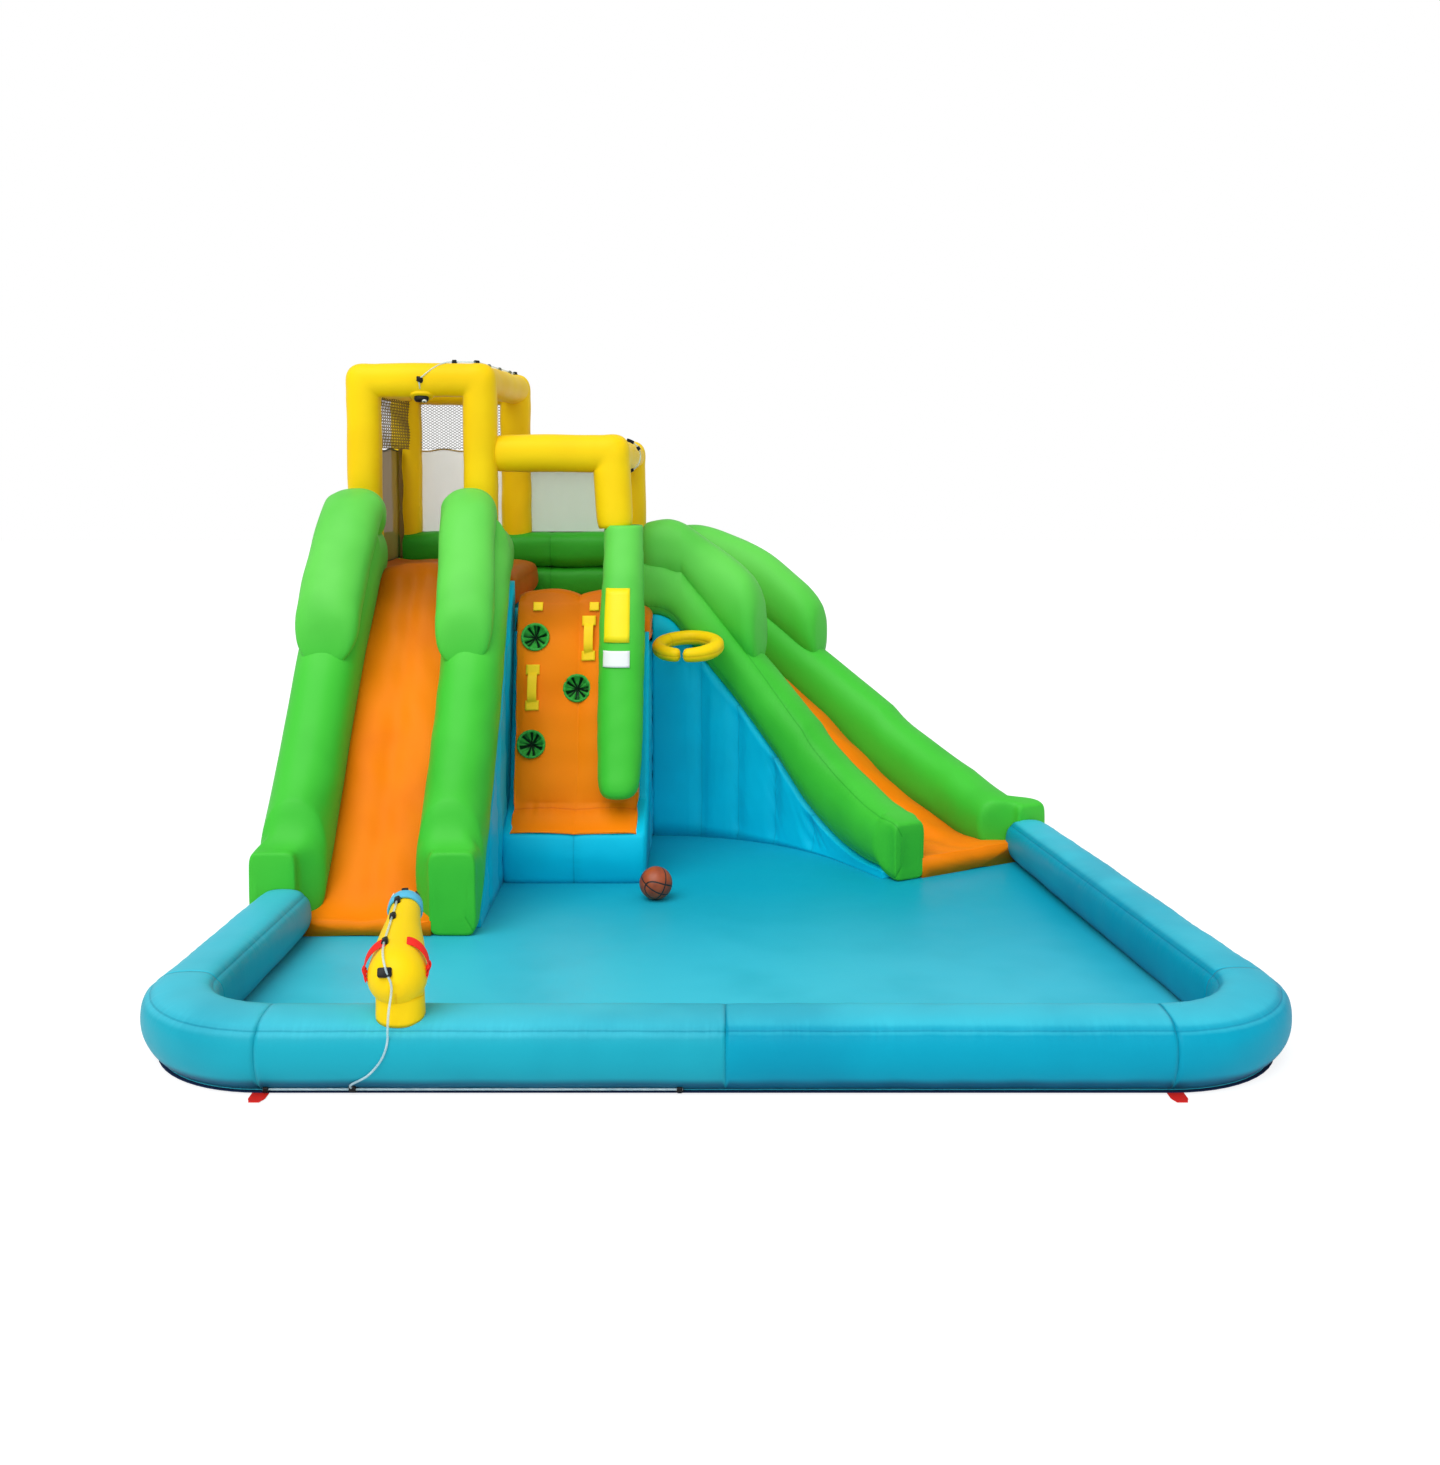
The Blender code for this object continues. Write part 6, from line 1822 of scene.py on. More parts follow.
@dataclass
class Tower:
    """The decks, the stepped base, the back wall and the yellow frames over them."""

    radius: float = 0.085
    inner_bend: float = 0.007
    corner_share: float = 0.247
    setback: float = 0.005
    high_bar: float = 2.395
    low_bar: float = 2.02
    outer_inset: float = 0.148
    inner_inset: float = 0.185
    rear_inset: float = 0.135
    low_front_inset: float = 0.160
    low_rear_inset: float = 0.15
    pillar_top: float = 1.66
    low_lean: float = 0.022
    low_set_back: float = 0.056
    bar_share: float = 0.94
    frame_roundness: float = 2.25
    deck_roundness: float = 7.0
    deck_end: Table = ((0.0, 0.42), (0.004, 0.58), (0.014, 0.74), (0.03, 0.86), (0.055, 0.95), (0.085, 0.99))

    @property
    def front_y(self) -> float:
        """The front frames' plane."""
        return PLAN.tower_y + self.setback + self.radius

    def post_x(self) -> tuple[float, float, float, float, float]:
        """The places of the posts.

        Returns:
            The x of the outer, inner, inner rear, right and right rear post.
        """
        return (
            PLAN.left_x + self.outer_inset, PLAN.step_x - self.inner_inset, PLAN.step_x - self.rear_inset,
            PLAN.right_x - self.low_front_inset, PLAN.right_x - self.low_rear_inset,
        )

    def bar_x(self) -> tuple[float, float, float, float, float]:
        """The posts' places as the cloth tubes have them, the left front ones a little further right."""
        outer, inner, inner_rear, right, right_rear = self.post_x()
        return outer + 0.020, inner + 0.008, inner_rear, right, right_rear


    def prism(self, name: str, profile: Ring, axis: Vector, length: float, seams: list[Seam]) -> None:
        """A blue chamber with one outline all along, its outline cut into short steps.

        Args:
            name: The CAD node that it stands for.
            profile: The outline's corners.
            axis: The direction in which it runs.
            length: How far it runs.
            seams: The seams pressed into it.
        """
        step = 0.03
        outline = stepped(profile, step)
        count = max(round(length / step), 2)
        rings = [[point + axis * length * k / count for point in outline] for k in range(count + 1)]
        Chamber(f"{name}_skin", rings, WALL_BLUE, (name,), seams).build()

    def deck(self, name: str, low_x: float, high_x: float, height: float) -> None:
        """A deck: a thick orange pad with a rolled front edge and round ends.

        Args:
            name: The CAD node that it stands for.
            low_x: Its left end.
            high_x: Its right end.
            height: The height of its top.
        """
        low, high = PLAN.tower_y, PLAN.back_y
        rings = []
        count = density(40)
        half_z = PLAN.deck_thickness / 2
        middle = Vector((0, (low + high) / 2, height - half_z))
        span = high_x - low_x
        places = [(low_x + reach, scale) for reach, scale in self.deck_end]
        places += [(low_x + 0.10 + (span - 0.20) * k / count, 1.0) for k in range(count + 1)]
        places += [(high_x - reach, scale) for reach, scale in reversed(self.deck_end)]
        for x, scale in places:
            half_y = (high - low) / 2 - 0.05 * (1 - scale)
            rings.append(oval(middle + EAST * x, NORTH, UP, half_y, half_z * scale, self.deck_roundness, 72))
        Chamber(f"{name}_skin", rings, ORANGE, (name,), rounds([0.5], 0.006, 0.03), slack=0.003).build()

    def base(self) -> None:
        """The stepped base and the back panel behind it."""
        high_top = PLAN.high_deck - PLAN.deck_thickness
        low_top = PLAN.low_deck - PLAN.deck_thickness
        left, step, right = PLAN.left_x, PLAN.step_x, PLAN.right_x
        front, back, rear = PLAN.tower_y, PLAN.back_y, PLAN.rear_y
        bottom, top = PLAN.base_z, PLAN.back_panel_height
        outline = (
            (left, bottom), (right, bottom), (right, low_top),
            (step, low_top), (step, high_top), (left, high_top),
        )
        profile = [Vector((x, front, z)) for x, z in outline]
        self.prism("tower_base", profile, NORTH, back - front, rounds([0.25, 0.5, 0.75], 0.02, 0.05))
        outline = ((back, bottom), (rear, bottom), (rear, top), (back, top))
        profile = [Vector((left, y, z)) for y, z in outline]
        width = PLAN.high_width + PLAN.low_width
        seams = rounds([k / 6 for k in range(1, 6)], 0.022, 0.05)
        self.prism("tower_back_panel", profile, EAST, width, seams)

    def back_rails(self) -> None:
        """The two green rails on the back panel, one above the other."""
        width = PLAN.high_width + PLAN.low_width
        count = density(90)
        for k, name in enumerate(("back_rail_lower", "back_rail_upper")):
            middle = PLAN.back_panel_height + PLAN.back_rail_height * (k + 0.5)
            rings = []
            for i in range(count + 1):
                edge = min(i, count - i) * width / count
                scale = 1 - 0.12 * math.exp(-edge / 0.02)
                centre = Vector((PLAN.left_x + width * i / count, PLAN.rear_frame_y, middle))
                half = PLAN.back_rail_height / 2 * scale + 0.004
                rings.append(oval(centre, NORTH, UP, PLAN.back_depth / 2 * scale, half, 3.0, 48))
            # The rails get the darker copy of the green: painted shade.
            Chamber(f"{name}_skin", rings, SHADED_BACK_GREEN, (name,), rounds([0.36, 0.62], 0.005, 0.018)).build()

    def tube(self, name: str, points: Ring, grow: float = 0.0, taper: float = 0.06) -> None:
        """A frame tube, filled out at its corners.

        Args:
            name: The CAD node that it stands for.
            points: The corners of its path.
            grow: How much wider it is than the other frames.
            taper: How far its ends are drawn in.
        """
        path = [(points[0], 0.0, UP)]
        steps = density(22)
        reach = self.radius + self.inner_bend
        for before, corner, after in zip(points, points[1:], points[2:]):
            outward = (corner - before).normalized() + (corner - after).normalized()
            path += self.straight(path[-1][0], corner + (before - corner).normalized() * reach)
            arc = fillet(before, corner, after, reach, steps)
            path += [(point, math.sin(math.pi * k / steps) ** 3, outward) for k, point in enumerate(arc)]
        path += self.straight(path[-1][0], points[-1]) + [(points[-1], 0.0, UP)]
        rings = []
        middles = [point for point, _, _ in path]
        for k, (point, fullness, outward) in enumerate(path):
            ahead = heading(middles, k)
            side = NORTH if abs(ahead.y) < 0.5 else UP
            across = ahead.cross(side)
            swell = self.corner_share * self.radius * fullness
            middle = point + across * math.copysign(swell, across.dot(outward))
            edge = 1 - taper * math.exp(-min((point - points[0]).length, (point - points[-1]).length) / 0.03)
            half = (self.radius + grow) * edge
            width = (self.radius + grow + swell) * edge
            rings.append(oval(middle, across, side, width, half, self.frame_roundness, density(44)))
        seams = lengthwise([0.52], 0.002, 0.010)
        Chamber(f"{name}_skin", rings, YELLOW, (name,), seams, slack=0.0010).build()

    @staticmethod
    def straight(start: Vector, end: Vector) -> list[tuple[Vector, float, Vector]]:
        """Even points between two places, without the places themselves.

        Args:
            start: The first place.
            end: The last place.

        Returns:
            Each point with its fullness, 0, and its outward direction.
        """
        count = max(round((end - start).length / density(20) * 1000), 1)
        return [(start.lerp(end, k / count), 0.0, UP) for k in range(1, count)]

    def frames(self) -> None:
        """The four frames."""
        outer, inner, inner_rear, right, right_rear = self.bar_x()
        front, rear, set_back = self.front_y, PLAN.rear_frame_y, self.front_y + self.low_set_back
        deck, back = PLAN.high_deck - 0.01, PLAN.back_top - 0.04
        high, low, bar_end = self.high_bar, self.low_bar, right - 0.035
        self.tube("left_tower_front_frame", [
            Vector((outer, front, deck)), Vector((outer, front, high)),
            Vector((inner, front, high)), Vector((inner, front, deck)),
        ])
        self.tube("left_tower_rear_frame", [
            Vector((outer, rear, back)), Vector((outer, rear, high)),
            Vector((inner_rear, rear, high)), Vector((inner_rear, rear, back)),
        ])
        self.tube("right_tower_front_frame", [
            Vector((inner + 0.050, set_back, low + 0.012)), Vector((bar_end, set_back, low + 0.012)),
            Vector((bar_end + self.low_lean, front, self.pillar_top)),
        ], 0.010, 0.12)
        self.tube("right_tower_rear_frame", [
            Vector((inner_rear, rear, low)), Vector((right_rear, rear, low)),
            Vector((right_rear, rear, back)),
        ])

    def side_bars(self) -> None:
        """The three bars from the front frames to the rear ones."""
        outer, inner, inner_rear, right, right_rear = self.bar_x()
        bars = (
            ("left_tower_outer_side_bar", outer, outer, self.high_bar),
            ("left_tower_inner_side_bar", inner, inner_rear, self.high_bar),
            ("right_tower_side_bar", right - 0.03, right_rear, self.low_bar),
        )
        for name, front_x, rear_x, height in bars:
            start, end = Vector((front_x, self.front_y, height)), Vector((rear_x, PLAN.rear_frame_y, height))
            path = [start] + [point for point, _, _ in self.straight(start, end)] + [end]
            rings = tube_rings(path, self.radius * self.bar_share, density(44))
            seams = lengthwise([0.5], 0.002, 0.010)
            Chamber(f"{name}_skin", rings, YELLOW, (name,), seams, slack=0.0012).build()

    def build(self) -> None:
        """Every piece of the tower."""
        self.base()
        self.back_rails()
        self.deck("high_deck", PLAN.left_x, PLAN.step_x, PLAN.high_deck)
        self.deck("low_deck", PLAN.step_x, PLAN.right_x, PLAN.low_deck)
        self.frames()
        self.side_bars()


@dataclass
class Screens:
    """Cloth screens, nets and their hems between the tower's posts."""

    tower: Tower
    split: float = 2.06
    cell: float = 0.025
    strand: float = 0.0050
    sag: float = 0.006
    thickness: float = 0.0012
    frame_share: float = 0.8

    @staticmethod
    def corners(start: Vector, end: Vector, top: float) -> tuple[Vector, Vector, Vector, Vector]:
        """The corners of an upright sheet, in order round it, from its two lower ones."""
        return start, end, Vector((end.x, end.y, top)), Vector((start.x, start.y, top))

    def cloth(self, name: str, corners: tuple[Vector, Vector, Vector, Vector], finish: Finish,
              replaces: tuple[str, ...] = ()) -> None:
        """A thin sheet with a soft sag, folds from its corners, a hem and edge cords.

        Args:
            name: The piece's name.
            corners: Its corners, in order round it.
            finish: Its cloth.
            replaces: The CAD nodes that it stands for.
        """
        a, b, c, d = corners
        normal = (b - a).cross(d - a).normalized()
        count = density(36)
        size = count + 1
        front = []
        for i in range(size):
            v = i / count
            for j in range(size):
                u = j / count
                point = a.lerp(b, u).lerp(d.lerp(c, u), v)
                wave = math.sin(math.pi * u) * math.sin(math.pi * v) * self.sag
                fold = 0.002 * math.sin(u * 19 + v * 5) * (1 - v) + 0.0015 * math.sin(u * 41 - v * 9) * v
                droop = UP * (-0.012 * math.sin(math.pi * u * 2.5 + 0.6) ** 2 * v**6)
                front.append(point + normal * (wave + fold) + droop)
        points = front + [point - normal * self.thickness for point in front]
        obj = settle(mesh_object(name, points, cloth_faces(size, size)), finish, "slide", replaces)
        (b - a).length
        (d - a).length
        hem = TAN if finish is WHITE else EDGE_CORD
        plain_tube(f"{name}_hem", tube_rings(front[-size:], 0.0045, 10), hem)
        for edge, line in (("low", front[:size]), ("start", front[::size]), ("end", front[size - 1::size])):
            line = [point + UP * 0.004 if edge == "low" else point for point in line]
            plain_tube(f"{name}_{edge}_cord", tube_rings(line, 0.003, 8), EDGE_CORD)

    def net(self, name: str, low: Vector, high: Vector, along: Vector, finish: Finish,
            replaces: tuple[str, ...] = (), spread: float = 1.0) -> None:
        """A knotted net: wavy crossed strands between two heights.

        Args:
            name: The piece's name.
            low: Its first lower corner.
            high: The upper corner across from it.
            along: The level direction in which it runs.
            finish: The strands' finish.
            replaces: The CAD nodes that it stands for.
            spread: How much wider than the others its cells are.
        """
        width = (high - low).dot(along)
        height = high.z - low.z
        columns = max(int(width / self.cell / spread), 2)
        rows = max(int(height / (self.cell * 0.62)), 2)
        normal = along.cross(UP)
        points: list[Vector] = []
        faces: list[list[int]] = []
        for k in range(columns + 1):
            for sign in (-1, 1):
                path = []
                for i in range(rows * 2 + 1):
                    v = i / (rows * 2)
                    swing = 0.5 * self.cell * spread * (1 if i % 2 else 0) * sign
                    x = min(max(width * k / columns + swing, 0.0), width)
                    bulge = normal * (0.004 * math.sin(v * 9 + k * 0.25) + 0.0012 * sign)
                    path.append(low + along * x + UP * height * v + bulge)
                rings = tube_rings(path, self.strand / 2, 5)
                start = len(points)
                points += [point for ring in rings for point in ring]
                faces += [[start + index for index in face] for face in ring_faces(len(rings), 5)]
        settle(mesh_object(name, points, faces), finish, "slide", replaces)

    def rear(self, name: str, low_x: float, high_x: float, top: float, finish: Finish) -> None:
        """A screen in a rear frame, between two posts.

        Args:
            name: The CAD node that it stands for.
            low_x: Its left edge.
            high_x: Its right edge.
            top: The height of its upper edge.
            finish: Its cloth.
        """
        y, low = PLAN.rear_frame_y, PLAN.back_top
        corners = self.corners(Vector((low_x, y, low)), Vector((high_x, y, low)), top)
        self.cloth(f"{name}_cloth", corners, finish, (name,))

    def side(self, outer: float, base: float, top: float) -> None:
        """The outer side: a cloth below, a net above it and an olive strip at the rear edge, all in dark
        colours as painted shade.

        Args:
            outer: The outer posts' place.
            base: The height of the deck.
            top: The height of the net's upper edge.
        """
        reach = self.tower.radius
        front, rear = self.tower.front_y + reach * self.frame_share, PLAN.rear_frame_y - reach
        corners = self.corners(Vector((outer, front, base)), Vector((outer, rear, base)), self.split)
        self.cloth("left_tower_outer_side_screen", corners, SHADED)
        shift = 0.6 * reach
        low, high = Vector((outer + shift, front, self.split)), Vector((outer + shift, rear + reach, top))
        self.net("left_tower_outer_side_net", low, high, NORTH, OLIVE, spread=1.6)
        # The olive strip is a dark sheet put where the rear post lies in shade: painted shade.
        x, y = outer + 0.012, rear - 0.11
        a, b, d, c = (Vector((x, y + 0.10 * k, z)) for z in (base, self.split) for k in (0, 1))
        rows = []
        for i in range(13):
            start, end = a.lerp(d, i / 12), b.lerp(c, i / 12)
            rows.append([start.lerp(end, j / 4) + EAST * 0.004 * math.sin(i * 1.3 + j) for j in range(5)])
        patch("left_tower_side_shade_strip", rows, EAST * 0.0012, OLIVE)

    def build(self) -> None:
        """Every screen and net."""
        outer, _, inner_rear, _, right_rear = self.tower.post_x()
        reach = self.tower.radius * self.frame_share
        left, near = outer + reach, inner_rear - reach
        top = self.tower.high_bar - reach
        self.rear("left_tower_rear_screen", left, near, self.split, WHITE)
        low, high = Vector((left, PLAN.rear_frame_y, self.split)), Vector((near, PLAN.rear_frame_y, top))
        self.net("left_tower_rear_net_strands", low, high, EAST, NET_GREY, ("left_tower_rear_net",))
        top_low = self.tower.low_bar - reach
        self.rear("right_tower_rear_screen", inner_rear + reach, right_rear - reach, top_low, PALE_GREEN)
        self.side(outer, PLAN.high_deck, top)

@dataclass
class ClimbingFace:
    """The climbing wall between the slides, its step, guard, footholds and handles.

    On its steep face, u is the share of the way across from the left slide and v the share of the
    way up. The crease and the top are pairs of (distance before the tower's face, height).
    """

    step_height: float = 0.244
    step_reach: float = 0.54
    step_rows: int = 12
    crease: tuple[float, float] = (0.39, 0.36)
    top: tuple[float, float] = (0.11, 1.30)
    crest: tuple[float, float] = (0.09, 0.03)
    crest_rows: int = 8
    thickness: float = 0.12
    bulge: float = 0.027
    clearance: float = 0.001
    pillar_radius: float = 0.105
    pillar_inset: float = 0.128
    pillar_top: float = 1.672
    pillar_bottom: float = 0.40
    pillar_roundness: float = 2.4
    pillar_foot: Table = (
        (0.0, 0.45), (0.004, 0.62), (0.012, 0.77), (0.024, 0.88), (0.040, 0.95), (0.058, 0.985),
    )
    stand_off: float = 0.08
    foothold_radius: float = 0.06
    foothold_depth: float = 0.05
    footholds: Table = ((0.18, 0.82), (0.49, 0.565), (0.17, 0.285))
    pocket: Table = (
        (0.90, -0.048), (1.12, -0.0035), (1.16, 0.003), (1.06, 0.007), (0.94, 0.002), (0.82, -0.010),
        (0.66, -0.020), (0.48, -0.026), (0.30, -0.029), (0.15, -0.031), (0.05, -0.032),
    )
    handles: Table = ((0.57, 0.815), (0.17, 0.565))
    handle_length: float = 0.19
    handle_width: float = 0.045
    handle_arch: Table = (
        (-1.0, 0.002), (-0.86, 0.003), (-0.74, 0.008), (-0.6, 0.020), (-0.35, 0.028), (0.0, 0.030),
        (0.35, 0.028), (0.6, 0.020), (0.74, 0.008), (0.86, 0.003), (1.0, 0.002),
    )

    @property
    def low(self) -> Vector:
        """The steep face's lower edge, on the left side's plane."""
        return Vector((PLAN.step_x, PLAN.tower_y - self.crease[0], self.crease[1]))

    @property
    def slope(self) -> Vector:
        """The steep face's whole rise."""
        return Vector((0, self.crease[0] - self.top[0], self.top[1] - self.crease[1]))

    @property
    def normal(self) -> Vector:
        """Out of the steep face."""
        return Vector((0, -self.slope.z, self.slope.y)).normalized()

    def flat(self, u: float, v: float) -> Vector:
        """The place at u and v on the steep face's plane."""
        return self.low + EAST * PLAN.low_width * u + self.slope * v

    def plump(self, u: float, v: float) -> float:
        """How far the cloth stands out of the plane at u and v: two bulges side by side."""
        inside = min(max(v, 0.0), 1.0)
        return self.bulge * abs(math.sin(math.pi * 2 * u)) ** 0.8 * math.sin(math.pi * inside) ** 0.5

    def point(self, u: float, v: float, lift: float = 0.0) -> Vector:
        """The place at u and v, that far over the bulging cloth."""
        return self.flat(u, v) + self.normal * (self.plump(u, v) + lift)

    def pressed(self, u: float, v: float) -> Vector:
        """The face's cloth, drawn in round the footholds and sunk where they sit.

        Args:
            u: The share of the way across.
            v: The share of the way up.

        Returns:
            The place.
        """
        place = self.flat(u, v)
        out = self.plump(u, v)
        for hole in self.footholds:
            reach = (place - self.flat(*hole)).length
            out -= 0.012 * math.exp(-((reach / 0.10) ** 2))
            out -= (self.foothold_depth + 0.006) * ease((self.foothold_radius + 0.004 - reach) / 0.012)
        return place + self.normal * out

    def rows(self) -> list[tuple[Vector | None, float]]:
        """The face's rows, from the step up to the crest.

        Returns:
            Each row's place on the left side, or none on the steep face, with its v.
        """
        up = density(130)
        step = Vector((0, PLAN.tower_y - self.step_reach, self.step_height))
        foot = Vector((0, PLAN.tower_y - self.crease[0], self.crease[1]))
        top = Vector((0, PLAN.tower_y - self.top[0], self.top[1]))
        rows: list[tuple[Vector | None, float]] = []
        for k in range(self.step_rows):
            t = k / self.step_rows
            sag = Vector((0, 0.012, -0.012)) * math.sin(math.pi * t)
            rows.append((step.lerp(foot, t) + sag, 0.0))
        rows += [(None, k / up) for k in range(up + 1)]
        back, rise = self.crest
        for k in range(1, self.crest_rows + 1):
            angle = math.pi / 2 * k / self.crest_rows
            rows.append((top + Vector((0, back * math.sin(angle), rise * math.sin(angle * 2) ** 0.8)), 1.0))
        return rows

    def trim(self, u: float) -> float:
        """How far the face's cloth is moved to the right, to draw both its edges in."""
        return 0.032 * (1 - ease(u / 0.13)) - 0.04 * ease((u - 0.86) / 0.14)

    def wall(self) -> None:
        """The orange face."""
        across = density(110)
        rings = []
        back = PLAN.tower_y - self.clearance
        for place, v in self.rows():
            front = []
            for j in range(across + 1):
                u = j / across
                if place is None:
                    point = self.pressed(u, v)
                else:
                    swell = abs(math.sin(math.pi * 2 * u)) ** 0.6
                    lift = Vector((0, -0.010, 0.030)) if v else Vector((0, -0.004, 0.010))
                    point = Vector((PLAN.step_x + PLAN.low_width * u, 0, 0)) + place + lift * swell
                front.append(point + EAST * self.trim(u))
            start, end = front[0], front[-1]
            rear_y = min(start.y + self.thickness, back)
            rear = [Vector((end.x + (start.x - end.x) * j / 8, rear_y, start.z)) for j in range(9)]
            rings.append(front + rear)
        seams = rounds([0.125], 0.008, 0.02)
        Chamber("climbing_wall_skin", rings, ORANGE, ("climbing_wall",), seams, slack=0.002).build()

    def body(self) -> None:
        """The blue chamber behind the face, with the step's front below it."""
        front, back = PLAN.tower_y - self.step_reach, PLAN.tower_y - self.clearance
        crease_y, crease_z = PLAN.tower_y - self.crease[0], self.crease[1]
        sides = [(front, PLAN.base_z), (front, self.step_height), (crease_y + self.thickness, crease_z)]
        for k in range(1, 7):
            y = crease_y + self.slope.y * k / 6 + self.thickness
            if y < PLAN.tower_y - 0.02:
                sides.append((y, crease_z + self.slope.z * k / 6))
        sides += [(back, sides[-1][1]), (back, PLAN.base_z)]
        outline = stepped([Vector((PLAN.step_x, y, z)) for y, z in sides], 0.02)
        rings = []
        count = density(50)
        for k in range(count + 1):
            x = PLAN.low_width * k / count
            shrink = 0.010 * math.exp(-min(x, PLAN.low_width - x) / 0.015)
            ring = []
            for point in outline:
                swell = 0.02 * math.sin(math.pi * min(max((point.z - PLAN.base_z) / 0.234, 0), 1)) ** 0.6
                out = swell - shrink if abs(point.y - front) < 0.001 else 0.0
                ring.append(point + EAST * x - NORTH * out)
            rings.append(ring)
        seams = rounds([0.5], 0.004, 0.02)
        Chamber("climbing_body_skin", rings, WALL_BLUE, ("climbing_body",), seams).build()

    def pillar_axis(self, t: float) -> tuple[Vector, float]:
        """The guard's middle line.

        Args:
            t: The share of its height.

        Returns:
            The middle and the half width there.
        """
        x = PLAN.right_x - self.pillar_inset
        top = Vector((x, PLAN.tower_y + 0.09, self.pillar_top))
        share = (self.pillar_bottom - self.crease[1]) / self.slope.z
        foot = Vector((x, (self.low + self.slope * share).y - self.stand_off, self.pillar_bottom))
        swell = 1.07 - 0.16 * ease((t - 0.62) / 0.38) - 0.10 * ease((0.35 - t) / 0.35)
        return foot.lerp(top, t), self.pillar_radius * swell

    def pillar(self) -> None:
        """The green guard up the wall's right edge."""
        count = density(80)
        rings = []
        places = list(self.pillar_foot)
        places += [(0.07 + 0.92 * k / count, 1.0) for k in range(count + 1)] + [(1.0, 0.97)]
        for t, scale in places:
            centre, half = self.pillar_axis(t)
            deep = half * 1.08 * scale
            rings.append(oval(centre, EAST, NORTH, half * scale, deep, self.pillar_roundness, 48))
        seams = lengthwise([0.0, 0.5], 0.003, 0.014)
        Chamber("climbing_guard_skin", rings, GREEN, ("climbing_guard",), seams).build()
        self.blank_patch("upper_blank_patch", 0.565, 0.765, 0.52, LABEL_YELLOW)
        self.blank_patch("lower_blank_patch", 0.475, 0.535, 0.55, LABEL_WHITE)

    def blank_patch(self, name: str, low: float, high: float, sweep: float, finish: Finish) -> None:
        """A blank patch sewn round the guard's front.

        Args:
            name: The piece's name.
            low: The share of the guard's height where it starts.
            high: The share where it ends.
            sweep: Half the angle that it covers.
            finish: Its cloth.
        """
        rows = []
        for i in range(9):
            centre, half = self.pillar_axis(low + (high - low) * i / 8)
            row = []
            for j in range(9):
                x, y = boxy(-math.pi / 2 - 0.20 + sweep * (2 * j / 8 - 1), self.pillar_roundness)
                row.append(centre + EAST * half * x * 1.02 + NORTH * half * 1.10 * y)
            rows.append(row)
        patch(name, rows, Vector((0, -0.0035, 0.0008)), finish)

    @staticmethod
    def pleat(k: int, angle: float) -> float:
        """How far a foothold's cloth stands out in pleats.

        Args:
            k: The foothold's number.
            angle: The angle round it.

        Returns:
            The height of the pleats there, from -1 to 1.
        """
        wide = math.sin(angle * 7 + k * 2.1 + 1.5 * math.sin(angle * 2 + k))
        return wide * 0.6 + math.sin(angle * 13 + k * 1.3) * 0.40

    def foothold(self, k: int, u: float, v: float) -> None:
        """A gathered pocket: pleats that run from its rim into a knot, with painted shade in the pleats'
        valleys.

        Args:
            k: Its number.
            u: Its place across the face.
            v: Its place up the face.
        """
        centre = self.point(u, v)
        along = self.slope.normalized()
        sides = 112
        turns = [math.tau * j / sides for j in range(sides)]
        rings, values = [], []
        for n, (share, depth) in enumerate(self.pocket):
            amount = max(0.0, min(1.0, (n - 2) / 3))
            rim = 0.006 if share > 1.0 else 0.0
            ring = []
            for angle in turns:
                pleat = self.pleat(k, angle)
                radius = self.foothold_radius * share * (1 + 0.06 * pleat * amount)
                lift = depth + 0.012 * pleat * amount * (0.25 + share * 0.9)
                spoke = EAST * math.cos(angle) + along * math.sin(angle)
                ring.append(centre + spoke * radius + self.normal * lift)
                # Small seam distances in the pleats' valleys darken them: painted shade.
                open_cloth = max(0.0, 0.46 + 0.60 * pleat) ** 1.3
                values.append(0.0012 + 0.0080 * open_cloth * min(1.0, (share / 0.62) ** 1.3) + rim)
            rings.append(ring)
        name = f"foothold_{k}"
        made = Chamber(f"{name}_pocket", rings, GATHERED, (name,), [], slack=0.0).build()
        made.data.attributes["seam_distance"].data.foreach_set("value", np.array(values, np.float32))

    def small_patch(self, name: str, u: float, v: float, width: float, height: float, lift: float) -> None:
        """A small patch of webbing sewn on the face.

        Args:
            name: The piece's name.
            u: Its middle across the face.
            v: Its middle up the face.
            width: Its width, as a share of the face's.
            height: Its height, as a share of the face's.
            lift: How far its underside is over the cloth.
        """
        shares = [k / 6 - 0.5 for k in range(7)]
        rows = [[self.point(u + j * width, v + i * height, lift) for j in shares] for i in shares]
        patch(name, rows, self.normal * 0.006, YELLOW_WEB)

    def handle(self, k: int, u: float, v: float) -> None:
        """A webbing handle with its two sewn ends.

        Args:
            k: Its number.
            u: Its middle across the face.
            v: Its middle up the face.
        """
        half = self.handle_length / 2 / self.slope.length
        path = [self.point(u, v + half * share, lift) for share, lift in self.handle_arch]
        name = f"climb_handle_{k}"
        path = smooth_path(path, 0.006)
        strap(f"{name}_webbing", path, EAST, self.handle_width, 0.004, YELLOW_WEB, "slide", (name,))
        for end, share in (("lower", -0.92), ("upper", 0.92)):
            self.small_patch(f"{name}_{end}_patch", u, v + half * share, 0.10, 0.050, 0.003)

    def build(self) -> None:
        """Every piece of the climbing wall."""
        self.body()
        self.wall()
        self.pillar()
        for k, (u, v) in enumerate(self.footholds):
            self.foothold(k + 1, u, v)
        for k, (u, v) in enumerate(self.handles):
            self.handle(k + 1, u, v)
        for side, u in (("left", 0.195), ("right", 0.607)):
            self.small_patch(f"climbing_top_patch_{side}", u, 0.9775, 0.07, 0.045, 0.002)


